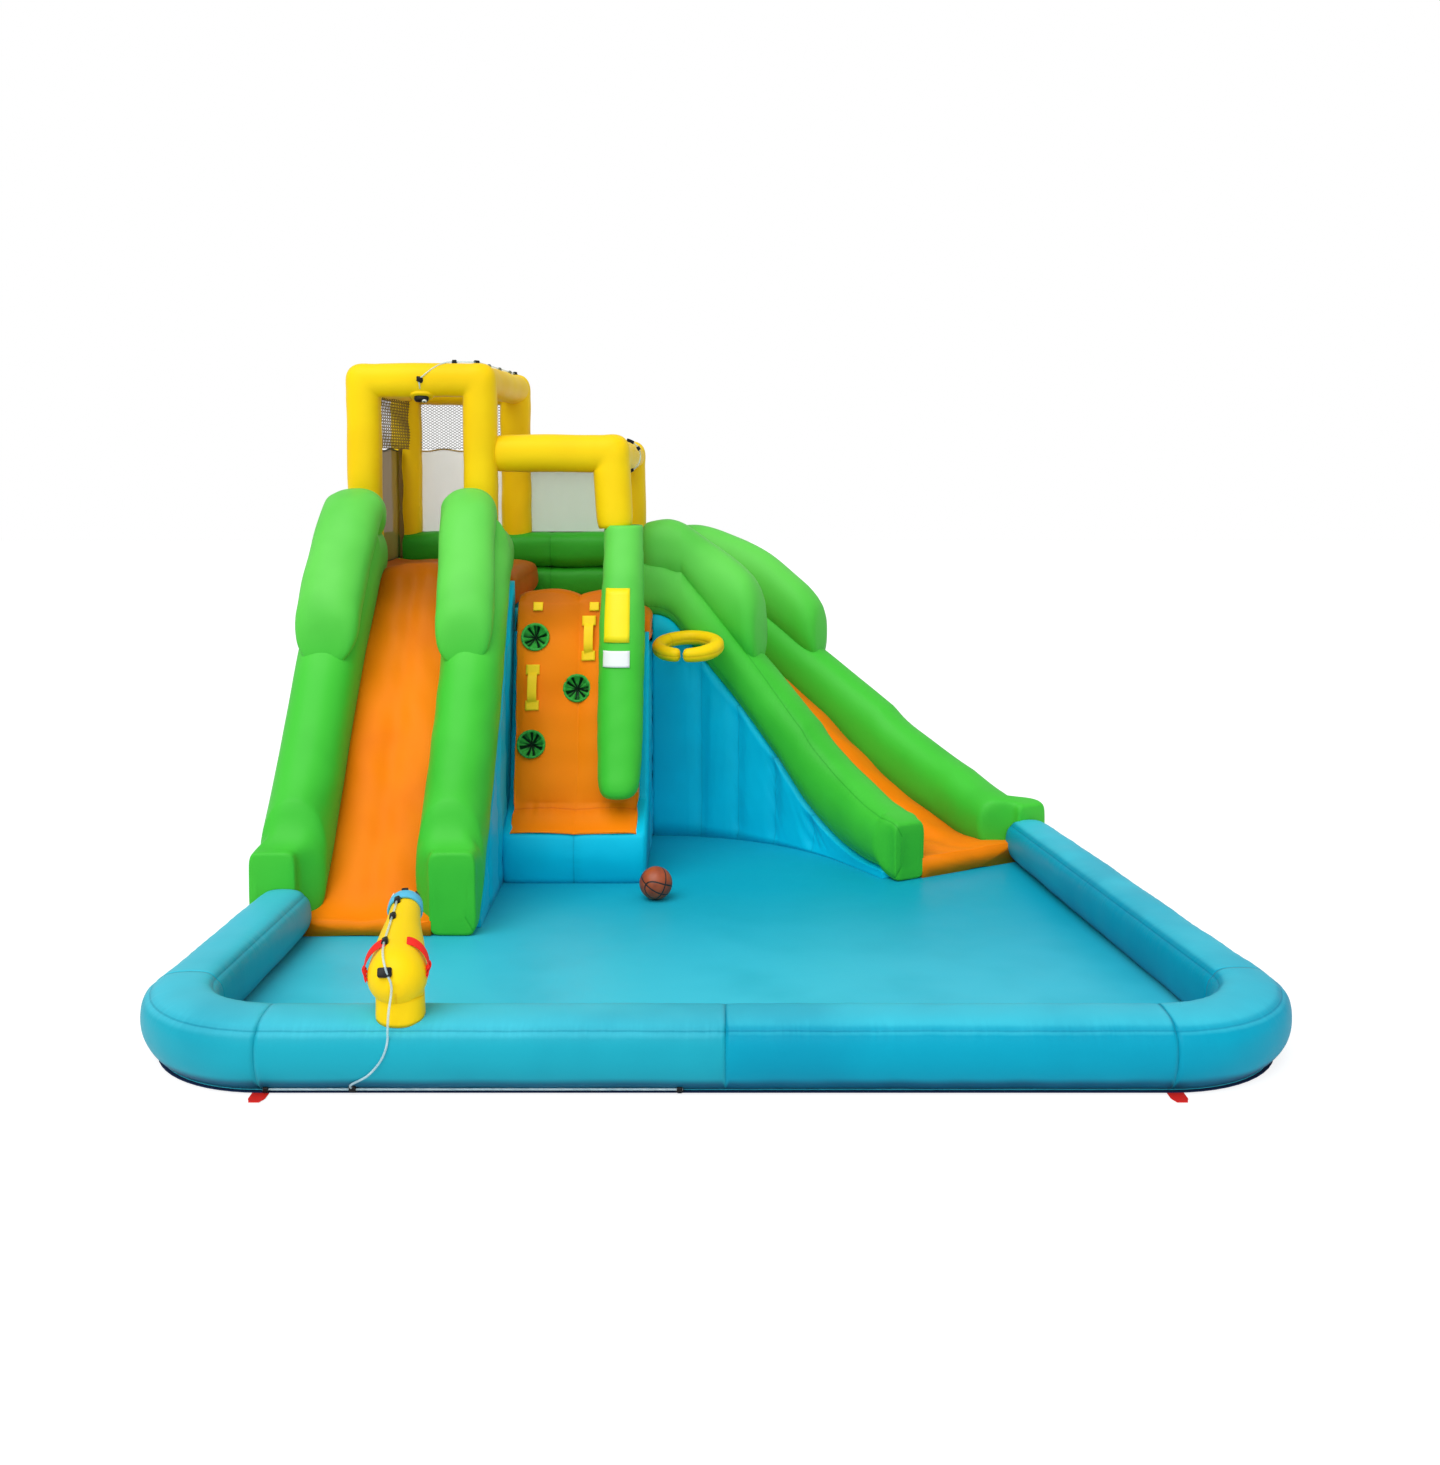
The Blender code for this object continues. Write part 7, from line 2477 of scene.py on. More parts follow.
@dataclass
class SplashHoop:
    """The open yellow ring on the curved slide's near rail."""

    slide: Slide
    radius: float = 0.148
    tube: float = 0.0375
    height: float = 1.05
    along: float = 0.235
    overlap: float = 0.018
    gap: float = math.radians(2.6)
    tilt: float = math.radians(11)

    def build(self) -> None:
        """The ring, with drawn-in ends at its gap."""
        chute = self.slide.chute
        out = -chute.across(self.along)
        wall = self.slide.rail_plan(0, self.along)[0] - self.slide.diameter / 2
        centre = chute.place(self.along, wall, self.height) + out * (self.radius + self.tube - self.overlap)
        ahead = UP.cross(out)
        outward = out * math.cos(self.tilt) - UP * math.sin(self.tilt)
        normal = outward.cross(ahead).normalized()
        count = density(110)
        rings = []
        for k in range(count + 1):
            angle = self.gap + (math.tau - 2 * self.gap) * k / count
            point = centre + (outward * math.cos(angle) + ahead * math.sin(angle)) * self.radius
            edge = min(k, count - k) / count
            scale = 1 - 0.55 * math.exp(-edge / 0.006) - 0.12 * math.exp(-edge / 0.03)
            spoke = (point - centre).normalized()
            rings.append(oval(point, spoke, normal, self.tube * scale, self.tube * scale, 2.1, 28))
        seams = lengthwise([0.0, 0.5], 0.0022, 0.008) + rounds([0.33, 0.66], 0.002, 0.008)
        Chamber("splash_hoop_skin", rings, YELLOW, ("splash_hoop",), seams, slack=0.0012).build()


@dataclass
class WaterCannon:
    """The cannon on the front wall: its stand, barrel, collar, handles and clips.

    A share is one of the barrel's length, from its round back to its muzzle.
    """

    x: float = -1.012
    forward: float = 0.055
    stand_radius: float = 0.0735
    stand_height: float = 0.31
    bulb_radius: float = 0.095
    axis_height: float = 0.372
    length: float = 0.58
    tip_radius: float = 0.045
    yaw: float = math.radians(8)
    pitch: float = math.radians(12)
    bulb_share: float = 0.16
    hose_shares: tuple[float, ...] = (
        0.0, 0.015, 0.03, 0.05, 0.08, 0.12, 0.16, 0.22, 0.3, 0.4, 0.5, 0.62, 0.74, 0.815,
    )
    clip_shares: tuple[float, ...] = (0.25, 0.60, 0.83)
    lean: float = math.radians(24)
    neck_shift: float = 0.008
    neck_half: tuple[float, float] = (0.0765, 0.060)
    neck_roundness: float = 2.4
    neck_rings: Table = ((0.0006, 0.985), (0.006, 1.0), (0.03, 1.0), (0.05, 1.0))
    collar_shares: tuple[float, float] = (0.855, 0.945)
    nozzle: Table = ((0.945, 0.020), (0.985, 0.020), (1.012, 0.017), (1.015, 0.010))
    nose: Table = ((0.992, 0.96), (0.998, 0.86), (1.0, 0.62), (0.985, 0.56), (0.95, 0.5))
    shape: Table = (
        (0.0, -0.35), (0.03, 0.30), (0.08, 0.78), (0.16, 1.0),
        (0.30, 0.88), (0.50, 0.58), (0.75, 0.22), (1.0, 0.0),
    )

    @property
    def pivot(self) -> Vector:
        """Where the barrel turns on its stand."""
        return Vector((self.x, PLAN.wall_front_y - self.forward, self.axis_height))

    @property
    def ahead(self) -> Vector:
        """The way the barrel points."""
        level = Vector((-math.sin(self.yaw), math.cos(self.yaw), 0))
        return level * math.cos(self.pitch) + UP * math.sin(self.pitch)

    @property
    def side(self) -> Vector:
        """Level, to the barrel's right."""
        return self.ahead.cross(UP).normalized()

    @property
    def rise(self) -> Vector:
        """Square to the barrel, upwards."""
        return self.side.cross(self.ahead).normalized()

    def radius_at(self, share: float) -> float:
        """The barrel's radius at a share of its length."""
        return self.tip_radius + (self.bulb_radius - self.tip_radius) * blend_table(self.shape, share)

    def at(self, share: float) -> Vector:
        """A point on the barrel's axis."""
        return self.pivot + self.ahead * self.length * (share - self.bulb_share)

    def over(self, share: float, lift: float, lean: float = 0.0) -> Vector:
        """A point over the barrel, square to its surface.

        Args:
            share: The share of the barrel's length.
            lift: The distance from the surface.
            lean: The angle from the top line to the left.

        Returns:
            The point.
        """
        step = self.bulb_share / 16
        slope = (self.radius_at(share + step) - self.radius_at(share - step)) / (2 * step * self.length)
        spoke = self.rise * math.cos(lean) - self.side * math.sin(lean)
        out = (spoke - self.ahead * slope).normalized()
        return self.at(share) + spoke * self.radius_at(share) + out * lift

    def ring(self, share: float, grow: float = 0.0, scale: float = 1.0) -> Ring:
        """A round section of the barrel.

        Args:
            share: The share of the barrel's length.
            grow: How far it stands over the surface.
            scale: The section's scale.

        Returns:
            The points of the section.
        """
        radius = (self.radius_at(share) + grow) * scale
        return oval(self.at(share), self.side, self.rise, radius, radius, sides=40)

    def barrel(self) -> None:
        """The barrel: a bulb that tapers to the muzzle, with a round nose."""
        count = density(90)
        rings = [self.ring(0.0, scale=0.5)]
        rings += [self.ring(0.985 * (k / count) ** 1.15) for k in range(count + 1)]
        rings += [self.ring(share, scale=scale) for share, scale in self.nose]
        seams = lengthwise([0.75], 0.0022, 0.008)
        Chamber(
            "cannon_barrel_skin", rings, YELLOW, ("cannon_barrel",), seams, slack=0.0012, body="cannon_barrel"
        ).build()

    def neck(self) -> None:
        """The barrel's round neck, which turns on the stand."""
        centre = Vector((self.x + self.neck_shift, self.pivot.y, 0))
        across, deep = self.neck_half
        rings = []
        for z, scale in (*self.neck_rings, (self.axis_height - self.stand_height + 0.02, 0.96)):
            middle = centre + UP * (self.stand_height + z)
            rings.append(oval(middle, EAST, NORTH, across * scale, deep * scale, self.neck_roundness, 44))
        Chamber("cannon_neck_skin", rings, YELLOW, (), [], slack=0.0, body="cannon_barrel").build()

    def stand(self) -> None:
        """The stand: a short skirt sewn down on the wall's round top."""
        sides, levels = 56, 7
        rings = []
        for level in range(levels + 1):
            share = level / levels
            flare = 1.0 + 0.03 * (1 - share) ** 2
            ring = []
            for k in range(sides):
                across, deep = boxy(math.tau * k / sides, self.neck_roundness)
                offset = EAST * across * self.neck_half[0] * flare + NORTH * deep * self.neck_half[1] * flare
                offset += EAST * self.neck_shift
                y = PLAN.wall_front_y - self.forward + offset.y
                ground = PLAN.wall_top(y - PLAN.wall_front_y) + 0.0006
                ring.append(Vector((self.x + offset.x, y, ground + (self.stand_height - ground) * share)))
            rings.append(ring)
        seams = rounds([0.06], 0.0012, 0.006)
        Chamber(
            "cannon_stand_skin", rings, YELLOW, ("cannon_stand",), seams, slack=0.0, body="cannon_stand"
        ).build()

    def collar(self) -> None:
        """The blue band round the muzzle, with a nozzle in it."""
        start, end = self.collar_shares
        profile = (
            (start, 0.001), (start, 0.007), (start + 0.012, 0.0105),
            (end - 0.012, 0.0105), (end, 0.008), (end, 0.001),
        )
        rings = [self.ring(share, grow) for share, grow in profile]
        Chamber(
            "cannon_collar_skin", rings, COLLAR, ("cannon_collar",), [], slack=0.0, body="cannon_barrel",
            closed=True,
        ).build()
        rings = [oval(self.at(share), self.side, self.rise, r, r, sides=24) for share, r in self.nozzle]
        plain_tube("cannon_nozzle", rings, BLACK, "cannon_barrel")

    def spot(self, share: float, degrees: float, lift: float) -> Vector:
        """A point on the barrel.

        Args:
            share: The share of the barrel's length.
            degrees: The angle from its right side upwards.
            lift: The distance from the surface.

        Returns:
            The point.
        """
        angle = math.radians(degrees)
        spoke = self.side * math.cos(angle) + self.rise * math.sin(angle)
        return self.at(share) + spoke * (self.radius_at(share) + lift)

    def handle(self, side: str, sign: int, tilt: float) -> None:
        """A red handle over one shoulder, with its two tails.

        Args:
            side: The side's name.
            sign: -1 on the left, 1 on the right.
            tilt: How far it is turned round the barrel, in degrees.
        """
        name = f"cannon_handle_{side}"
        path = []
        for k in range(17):
            t = k / 16
            degrees = 90 - sign * (16 + 66 * t) + tilt
            lift = 0.003 + 0.011 * math.sin(math.pi * t) ** 0.7
            path.append(self.spot(0.24 - 0.12 * t**1.3, degrees, lift))
        across = (self.ahead + self.rise * 0.3).normalized()
        strap(f"{name}_webbing", path, across, 0.034, 0.004, RED, "cannon_barrel", (name,))
        across = (self.rise * 0.8 + self.side * sign * 0.6).normalized()
        for number, (start, end) in enumerate(((0.18, 0.10), (0.11, 0.16))):
            tail = []
            for k in range(7):
                t = k / 6
                degrees = 90 - sign * (70 + 10 * t * (1 - number)) + tilt
                lift = 0.008 + 0.003 * math.sin(5 * t + number)
                tail.append(self.spot(start + (end - start) * t, degrees, lift))
            strap(f"{name}_tail_{number + 1}", tail, across, 0.016, 0.004, RED, "cannon_barrel")

    def clips(self) -> None:
        """The hose's black clips along the barrel."""
        spoke = (self.rise * math.cos(self.lean) - self.side * math.sin(self.lean)).normalized()
        flank = self.ahead.cross(spoke).normalized()
        steps = ((-0.017, 0.7), (-0.014, 1.0), (0.014, 1.0), (0.017, 0.7))
        clip = Moulding(self.ahead, flank, spoke, 0.0105, 0.008, steps, 3.2)
        for k, share in enumerate(self.clip_shares):
            rings = clip.rings(self.over(share, 0.006, self.lean))
            plain_tube(f"cannon_hose_clip_{k + 1}", rings, BLACK, "cannon_barrel")

    def collar_tabs(self) -> None:
        """Three small tabs over the collar, the last one white."""
        for k, degrees in enumerate((38.0, 92.0, 150.0)):
            rings = []
            for j in range(7):
                middle = self.spot(0.95, degrees - 12 + 4 * j, 0.006)
                rings.append(oval(middle, self.ahead, self.rise, 0.010, 0.006, 3.0, 12))
            plain_tube(f"cannon_collar_tab_{k + 1}", rings, BLACK if k < 2 else LABEL_WHITE, "cannon_barrel")

    def plug_block(self) -> None:
        """The black block over the hose's inlet."""
        facing = (self.rise * 0.75 - self.ahead * 0.65).normalized()
        up = self.side.cross(facing).normalized()
        steps = ((-0.004, 0.95), (0.005, 1.0), (0.009, 1.0), (0.011, 0.9))
        block = Moulding(facing, self.side, up, 0.0225, 0.0155, steps, 6.0, 28)
        centre = self.spot(0.03, 90 + math.degrees(self.lean) + 8, 0.001)
        plain_tube("cannon_plug_block", block.rings(centre), BLACK, "cannon_barrel")

    def build(self) -> None:
        """Every piece of the cannon but its hoses."""
        self.stand()
        self.barrel()
        self.neck()
        self.collar()
        self.handle("left", -1, 6.0)
        self.handle("right", 1, -2.0)
        self.clips()
        self.collar_tabs()
        self.plug_block()


@dataclass(frozen=True)
class ClearHose:
    """Clear tube: a milky wall that lets the colours behind it show."""

    name: str = "clear_hose_wall"
    slot: str = "clear_hose"

    def material(self) -> bpy.types.Material:
        """The tube's material, made once.

        Returns:
            The material: cloudy, glossy and half clear.
        """
        if self.name in bpy.data.materials:
            return bpy.data.materials[self.name]
        wall = Surface(self.name)
        cloudy = wall.tree.noise(wall.place, 30.0, 2.0)
        wall.feed(
            Base_Color=wall.tree.mix(cloudy, (0.50, 0.74, 0.80, 1.0), (0.70, 0.86, 0.90, 1.0)),
            Roughness=wall.tree.ramp(cloudy, 0.3, 0.7, 0.12, 0.22),
            Alpha=wall.tree.ramp(cloudy, 0.3, 0.7, 0.40, 0.56),
            Coat_Weight=0.4,
        )
        return wall.made


@dataclass
class Hoses:
    """The supply hose, its branch to the cannon, the towers' hose, their clips and sprayers."""

    cannon: WaterCannon
    tower: Tower
    radius: float = 0.005
    drawn_radius: float = 0.0038
    gap: float = 0.025
    supply: tuple[float, float, float] = (0.37, 0.655, 1.70)
    climb_angles: tuple[float, ...] = (-38, -22, -4, 10, 22)
    tower_shares: tuple[float, float] = (0.535, 0.794)
    sprayer_angle: float = math.radians(-30)
    stand_gap: float = 0.010
    ring_places: tuple[float, ...] = (1.13, 1.40, 1.69)
    side_hose_y: float = 1.30
    side_hose_angles: tuple[float, float] = (80, -75)
    step: float = 0.012

    def tube(self, name: str, path: Ring, body: str = "slide",
             replaces: tuple[str, ...] = ()) -> bpy.types.Object:
        """A clear hose.

        Args:
            name: The piece's name.
            path: Its route.
            body: The body that it rides on, or nothing for none.
            replaces: The CAD nodes that it stands for.

        Returns:
            The piece.
        """
        rings = tube_rings(path, self.drawn_radius, density(16))
        points = [point for ring in rings for point in ring]
        obj = mesh_object(name, points, ring_faces(len(rings), len(rings[0])))
        return settle(obj, ClearHose(), body, replaces)

    def hang(self, name: str, path: Ring, start: Vector) -> None:
        """A hose that hangs free between two bodies.

        Args:
            name: The CAD node that it stands for.
            path: Its route.
            start: Where it would begin to follow the second one; not used.
        """
        hose = self.tube(f"{name}_tube", path, "", (name,))
        tuple(start)
        tuple(path[-1])
        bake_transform(hose)
        tuple(path[0])
        path_length(path)
        [tuple(point) for point in path]

    @staticmethod
    def clip(name: str, centre: Vector, along: Vector, out: Vector, size: float = 0.011) -> None:
        """A black clip: a band round the hose with a foot on the cloth.

        Args:
            name: The clip's name.
            centre: The hose's middle.
            along: The hose's direction.
            out: The direction away from the cloth.
            size: The clip's size.
        """
        side = along.cross(out).normalized()
        steps = ((-0.5, 0.8), (-0.42, 1.0), (0.42, 1.0), (0.5, 0.8))
        band = Moulding(along * size * 1.6, side, out, size * 0.85, size * 0.75, steps, 3.5)
        plain_tube(f"{name}_band", band.rings(centre), BLACK)
        steps = ((-0.62, 1.0), (-0.35, 0.92), (-0.3, 0.7))
        foot = Moulding(out * size, side, along, size * 1.5, size * 1.1, steps, 3.5)
        plain_tube(f"{name}_foot", foot.rings(centre), BLACK)

    def front(self) -> tuple[Ring, Ring, Ring]:
        """The routes in front of the wall.

        Returns:
            The places of the supply hose, of the branch up the wall and of the hose over the cannon.
        """
        floor = PLAN.floor_top + self.radius + 0.0004
        clear = PLAN.wall_radius + self.radius + 0.0004
        drop = PLAN.wall_axis_z - floor
        foot = PLAN.wall_front_y - math.sqrt(clear**2 - drop**2)
        supply = [Vector((PLAN.wall_left_x + reach, foot, floor)) for reach in self.supply]
        tee = supply[1]
        first, last = self.climb_angles[0], self.climb_angles[-1]
        climb = []
        for degrees in self.climb_angles:
            angle = math.radians(degrees)
            climbed = math.sin(math.pi / 2 * (degrees - first) / (last - first)) ** 0.85
            x = tee.x + (self.cannon.x - 0.014 - tee.x) * climbed
            reach = clear * math.cos(angle)
            if degrees > 0:
                stand = self.cannon.forward + self.cannon.stand_radius
                reach = max(reach, stand + self.stand_gap + self.radius)
            climb.append(Vector((x, PLAN.wall_front_y - reach, PLAN.wall_axis_z + clear * math.sin(angle))))
        start = climb[-1] + UP * self.gap
        lift = self.radius + 0.003
        behind = self.cannon.at(0) - self.cannon.ahead * lift - self.cannon.side * 0.012
        over = [self.cannon.over(share, lift, self.cannon.lean) for share in self.cannon.hose_shares]
        return supply, climb, [start, start.lerp(behind, 0.5) - NORTH * self.gap / 2, behind] + over

    def towers(self) -> Ring:
        """The tower hose's route.

        Returns:
            Places from the sprayer, over the front bar and back along the inner side bar.
        """
        outer, inner, inner_rear, _, _ = self.tower.post_x()
        clear = self.tower.radius + self.radius + 0.0016
        sprayer, crest = (outer + (inner - outer) * share for share in self.tower_shares)
        front, bar = self.tower.front_y, self.tower.high_bar
        points = []
        steps = 8
        for k in range(steps + 1):
            angle = self.sprayer_angle + (math.pi / 2 - self.sprayer_angle) * k / steps
            x = sprayer + (crest - sprayer) * max(angle, 0.0) / (math.pi / 2)
            points.append(Vector((x, front - clear * math.cos(angle), bar + clear * math.sin(angle))))
        turn, top = self.tower.radius, bar + clear
        for k in range(steps + 1):
            angle = math.pi / 2 * k / steps
            x, y = inner - turn * (1 - math.sin(angle)), front + turn * (1 - math.cos(angle))
            points.append(Vector((x, y, top)))
        corner, rear = points[-1], Vector((inner_rear, PLAN.rear_frame_y, top))
        return points + [corner.lerp(rear, k / 32) for k in range(1, 33)]

    def tower_clips(self, path: Ring) -> None:
        """Black clips over the front bar, and small grey rings along the side bar.

        Args:
            path: The tower hose's route.
        """
        front, bar, radius = self.tower.front_y, self.tower.high_bar, self.tower.radius
        outer, inner, _, _, _ = self.tower.post_x()
        crest = outer + (inner - outer) * self.tower_shares[1]
        wanted = (
            ("front", -NORTH, lambda point: abs(point.z - bar) + abs(point.y - front + radius)),
            ("crest", UP, lambda point: abs(point.x - crest) + abs(point.y - front)),
            ("corner", UP, lambda point: abs(point.x - inner + 0.012) + abs(point.z - bar - radius)),
        )
        for name, out, distance in wanted:
            k = min(range(1, len(path) - 1), key=lambda index: distance(path[index]))
            along = heading(path, k)
            out = (out - along * out.dot(along)).normalized()
            self.clip(f"tower_hose_clip_{name}", path[k], along, out, 0.014)
        steps = ((-0.006, 0.8), (-0.004, 1.0), (0.004, 1.0), (0.006, 0.8))
        for number, place in enumerate(self.ring_places):
            k = min(range(1, len(path) - 1), key=lambda index: abs(path[index].y - place))
            ring = Moulding(heading(path, k), EAST, UP, 0.010, 0.012, steps, 2.6)
            plain_tube(f"tower_hose_ring_{number + 1}", ring.rings(path[k] - UP * 0.004), NET_GREY)
        self.clip("tower_hose_end_fitting", path[-1], NORTH, UP, 0.014)

    def side_hose(self) -> None:
        """The right tower's short hose round its side bar, with five clips on it."""
        _, _, _, right, right_rear = self.tower.post_x()
        y = self.side_hose_y
        share = (y - self.tower.front_y) / (PLAN.rear_frame_y - self.tower.front_y)
        middle = Vector((right + (right_rear - right) * share, y, self.tower.low_bar))
        reach = self.tower.radius * self.tower.bar_share + self.radius + 0.0015
        start, end = self.side_hose_angles
        steps = 24
        turns = [start - (start - end) * k / steps for k in range(steps + 1)]
        path, spokes = [], []
        for k, degrees in enumerate(turns):
            across, up = EAST * math.cos(math.radians(degrees)), UP * math.sin(math.radians(degrees))
            path.append(middle + across * reach + up * reach + NORTH * 0.02 * math.sin(k / 8))
            spokes.append(across + up)
        self.tube("side_hose_tube", smooth_path(path, 0.006))
        for name, wanted in (("upper", 62), ("middle", 29), ("lower", -63), ("start", start), ("end", end)):
            k = min(range(1, steps), key=lambda index: abs(turns[index] - wanted))
            self.clip(f"side_hose_{name}_clip", path[k], heading(path, k), spokes[k], 0.012)

    def sprayer(self) -> None:
        """The left tower's sprayer: a yellow pad, a black nozzle block and a white ring."""
        outer, inner, _, _, _ = self.tower.post_x()
        facing = Vector((0, -0.42, -0.907)).normalized()
        x = outer + (inner - outer) * self.tower_shares[0]
        centre = Vector((x, self.tower.front_y, self.tower.high_bar)) + facing * (self.tower.radius + 0.002)
        up = EAST.cross(facing).normalized()
        spot = centre + EAST * 0.016 - up * 0.004
        pad = ((-0.014, 0.056), (-0.002, 0.058), (0.005, 0.054), (0.007, 0.044))
        block = ((0.003, 1.0), (0.020, 1.0), (0.026, 0.9), (0.029, 0.7))
        rim = ((0.018, 0.012), (0.033, 0.012), (0.034, 0.010))
        jet = ((0.033, 0.006), (0.0355, 0.006))
        pieces = (
            ("pad", centre, Moulding(facing, EAST, up, 1.0, 0.72, pad, 2.6, 36), YELLOW),
            ("nozzle", centre, Moulding(facing, EAST, up, 0.036, 0.020, block, 2.8, 28), BLACK),
            ("ring", spot, Moulding(facing, EAST, up, 1.0, 1.0, rim, 2.0, 20), LABEL_WHITE),
            ("jet", spot, Moulding(facing, EAST, up, 1.0, 1.0, jet, 2.0, 16), BLACK),
        )
        for name, place, moulding, finish in pieces:
            plain_tube(f"sprayer_{name}", moulding.rings(place), finish)

    def build(self) -> None:
        """Every hose, clip and sprayer."""
        supply, climb, upper = self.front()
        self.tube("supply_hose_tube", smooth_path(supply, self.step), "slide", ("supply_hose",))
        meeting = climb[-1] + UP * self.gap * 0.5
        lower = smooth_path([supply[1] + UP * 0.001] + climb + [meeting], 0.010)
        self.hang("cannon_hose_lower", lower, climb[2])
        over = smooth_path([meeting] + upper, 0.006)
        self.hang("cannon_hose_upper", over, over[0])
        path = smooth_path(self.towers(), self.step)
        self.tube("tower_hose_tube", path, "slide", ("tower_hose",))
        self.tower_clips(path)
        self.side_hose()
        self.clip("supply_hose_tee", supply[1] + UP * 0.004, EAST, -NORTH, 0.013)
        self.clip("supply_hose_end_clip", supply[0] + EAST * 0.01, EAST, -NORTH)
        self.clip("supply_hose_far_clip", supply[2] - EAST * 0.01, EAST, -NORTH)
        self.sprayer()


@dataclass
class Fittings:
    """The anchor tabs, the air inlet sleeve and the deflation zip."""

    tab_width: float = 0.055
    tab_length: float = 0.055
    sleeve_radius: float = 0.09
    sleeve_share: float = 0.35
    sleeve_outside: Table = (
        (0.0, 0.95), (0.01, 0.97), (0.05, 0.99), (0.10, 0.985), (0.12, 0.955),
        (0.14, 0.985), (0.19, 1.0), (0.215, 1.0), (0.219, 0.985),
    )
    sleeve_inside: Table = ((0.219, 0.955), (0.20, 0.95), (0.10, 0.93), (0.003, 0.92))
    tie: Table = ((0.111, 0.0885), (0.112, 0.0895), (0.128, 0.0895), (0.129, 0.0885))
    zip_share: float = 0.78
    zip_height: float = 0.22
    zip_length: float = 0.32

    def tabs(self) -> None:
        """Red tabs that stick out under the front wall."""
        start = PLAN.wall_front_y - PLAN.wall_radius * math.sin(PLAN.wall_flat_angle) - 0.03
        places = (("left", PLAN.wall_left_x + 0.363), ("right", PLAN.wall_right_x - 0.35))
        for name, x in places:
            rings = []
            for k in range(12):
                t = k / 11
                y = start + 0.03 - (self.tab_length + 0.03) * t
                lift = 0.0022 + 0.006 * max(t - 0.4, 0.0) ** 2
                half = self.tab_width / 2 * (1 - 0.35 * ease((t - 0.6) / 0.4))
                rings.append(oval(Vector((x, y, lift)), EAST, UP, half, 0.0015, 6.0, 16))
            plain_tube(f"anchor_tab_{name}_webbing", rings, RED, "slide", (f"anchor_tab_{name}",))

    def sleeve(self) -> None:
        """The inlet sleeve: a soft cuff with a hem and a tie strap."""
        x = PLAN.left_x + (PLAN.high_width + PLAN.low_width) * self.sleeve_share
        z = PLAN.base_z + self.sleeve_radius + 0.03
        rings = []
        for reach, share in self.sleeve_outside + self.sleeve_inside:
            ring = []
            for k in range(56):
                angle = math.tau * k / 56
                ripple = 1 + 0.012 * math.sin(angle * 9 + reach * 30) * (1 if reach > 0.05 else 0)
                r = self.sleeve_radius * share * min(ripple, 1.0)
                ring.append(Vector((x + r * math.cos(angle), PLAN.rear_y + reach, z + r * math.sin(angle))))
            rings.append(ring)
        seams = rounds([0.3], 0.001, 0.006)
        Chamber(
            "air_inlet_sleeve_skin", rings, WALL_BLUE, ("air_inlet_sleeve",), seams, slack=0.0, closed=True,
            fill=0.2,
        ).build()
        band = Moulding(NORTH, EAST, UP, 1.0, 1.0, self.tie, 2.0, 48)
        plain_tube("sleeve_tie_strap", band.rings(Vector((x, PLAN.rear_y, z))), BLACK)

    def zip(self) -> None:
        """The deflation zip: its tape, two rows of teeth and the slider with its pull."""
        x = PLAN.left_x + (PLAN.high_width + PLAN.low_width) * self.zip_share
        z, y = self.zip_height, PLAN.rear_y
        low = x - self.zip_length / 2
        path = [Vector((low + self.zip_length * k / 20, y + 0.001, z)) for k in range(21)]
        strap("deflation_zip_tape", path, UP, 0.035, 0.0025, BLACK, "slide", ("deflation_zip",))
        points: list[Vector] = []
        faces: list[list[int]] = []
        for k in range(64):
            centre = Vector((x - 0.157 + 0.314 * k / 63, y + 0.0028, z + (0.0018 if k % 2 else -0.0018)))
            ring = oval(centre, EAST, UP, 0.0016, 0.0028, 4.0, 8)
            start = len(points)
            points += ring + [point + NORTH * 0.0012 for point in ring]
            faces += [[start + index for index in face] for face in ring_faces(2, 8)]
        settle(mesh_object("deflation_zip_teeth", points, faces), BLACK, "slide")
        start = low + 0.015
        steps = ((0.0045, 0.9), (0.0055, 1.0), (0.0085, 1.0), (0.0095, 0.85))
        slider = Moulding(NORTH, EAST, UP, 0.0145, 0.0088, steps, 3.0, 24)
        rings = slider.rings(Vector((start, y, z)))
        plain_tube("zip_slider_body", rings, BLACK, "zip_slider", ("zip_slider",))
        pull = ((0.0105, -0.002), (0.0112, -0.012), (0.0105, -0.034))
        path = [Vector((start - 0.004, y + out, z + down)) for out, down in pull]
        strap("zip_slider_pull", smooth_path(path, 0.004), EAST, 0.009, 0.0018, RED, "zip_slider")

    def build(self) -> None:
        """Every fitting."""
        self.tabs()
        self.sleeve()
        self.zip()


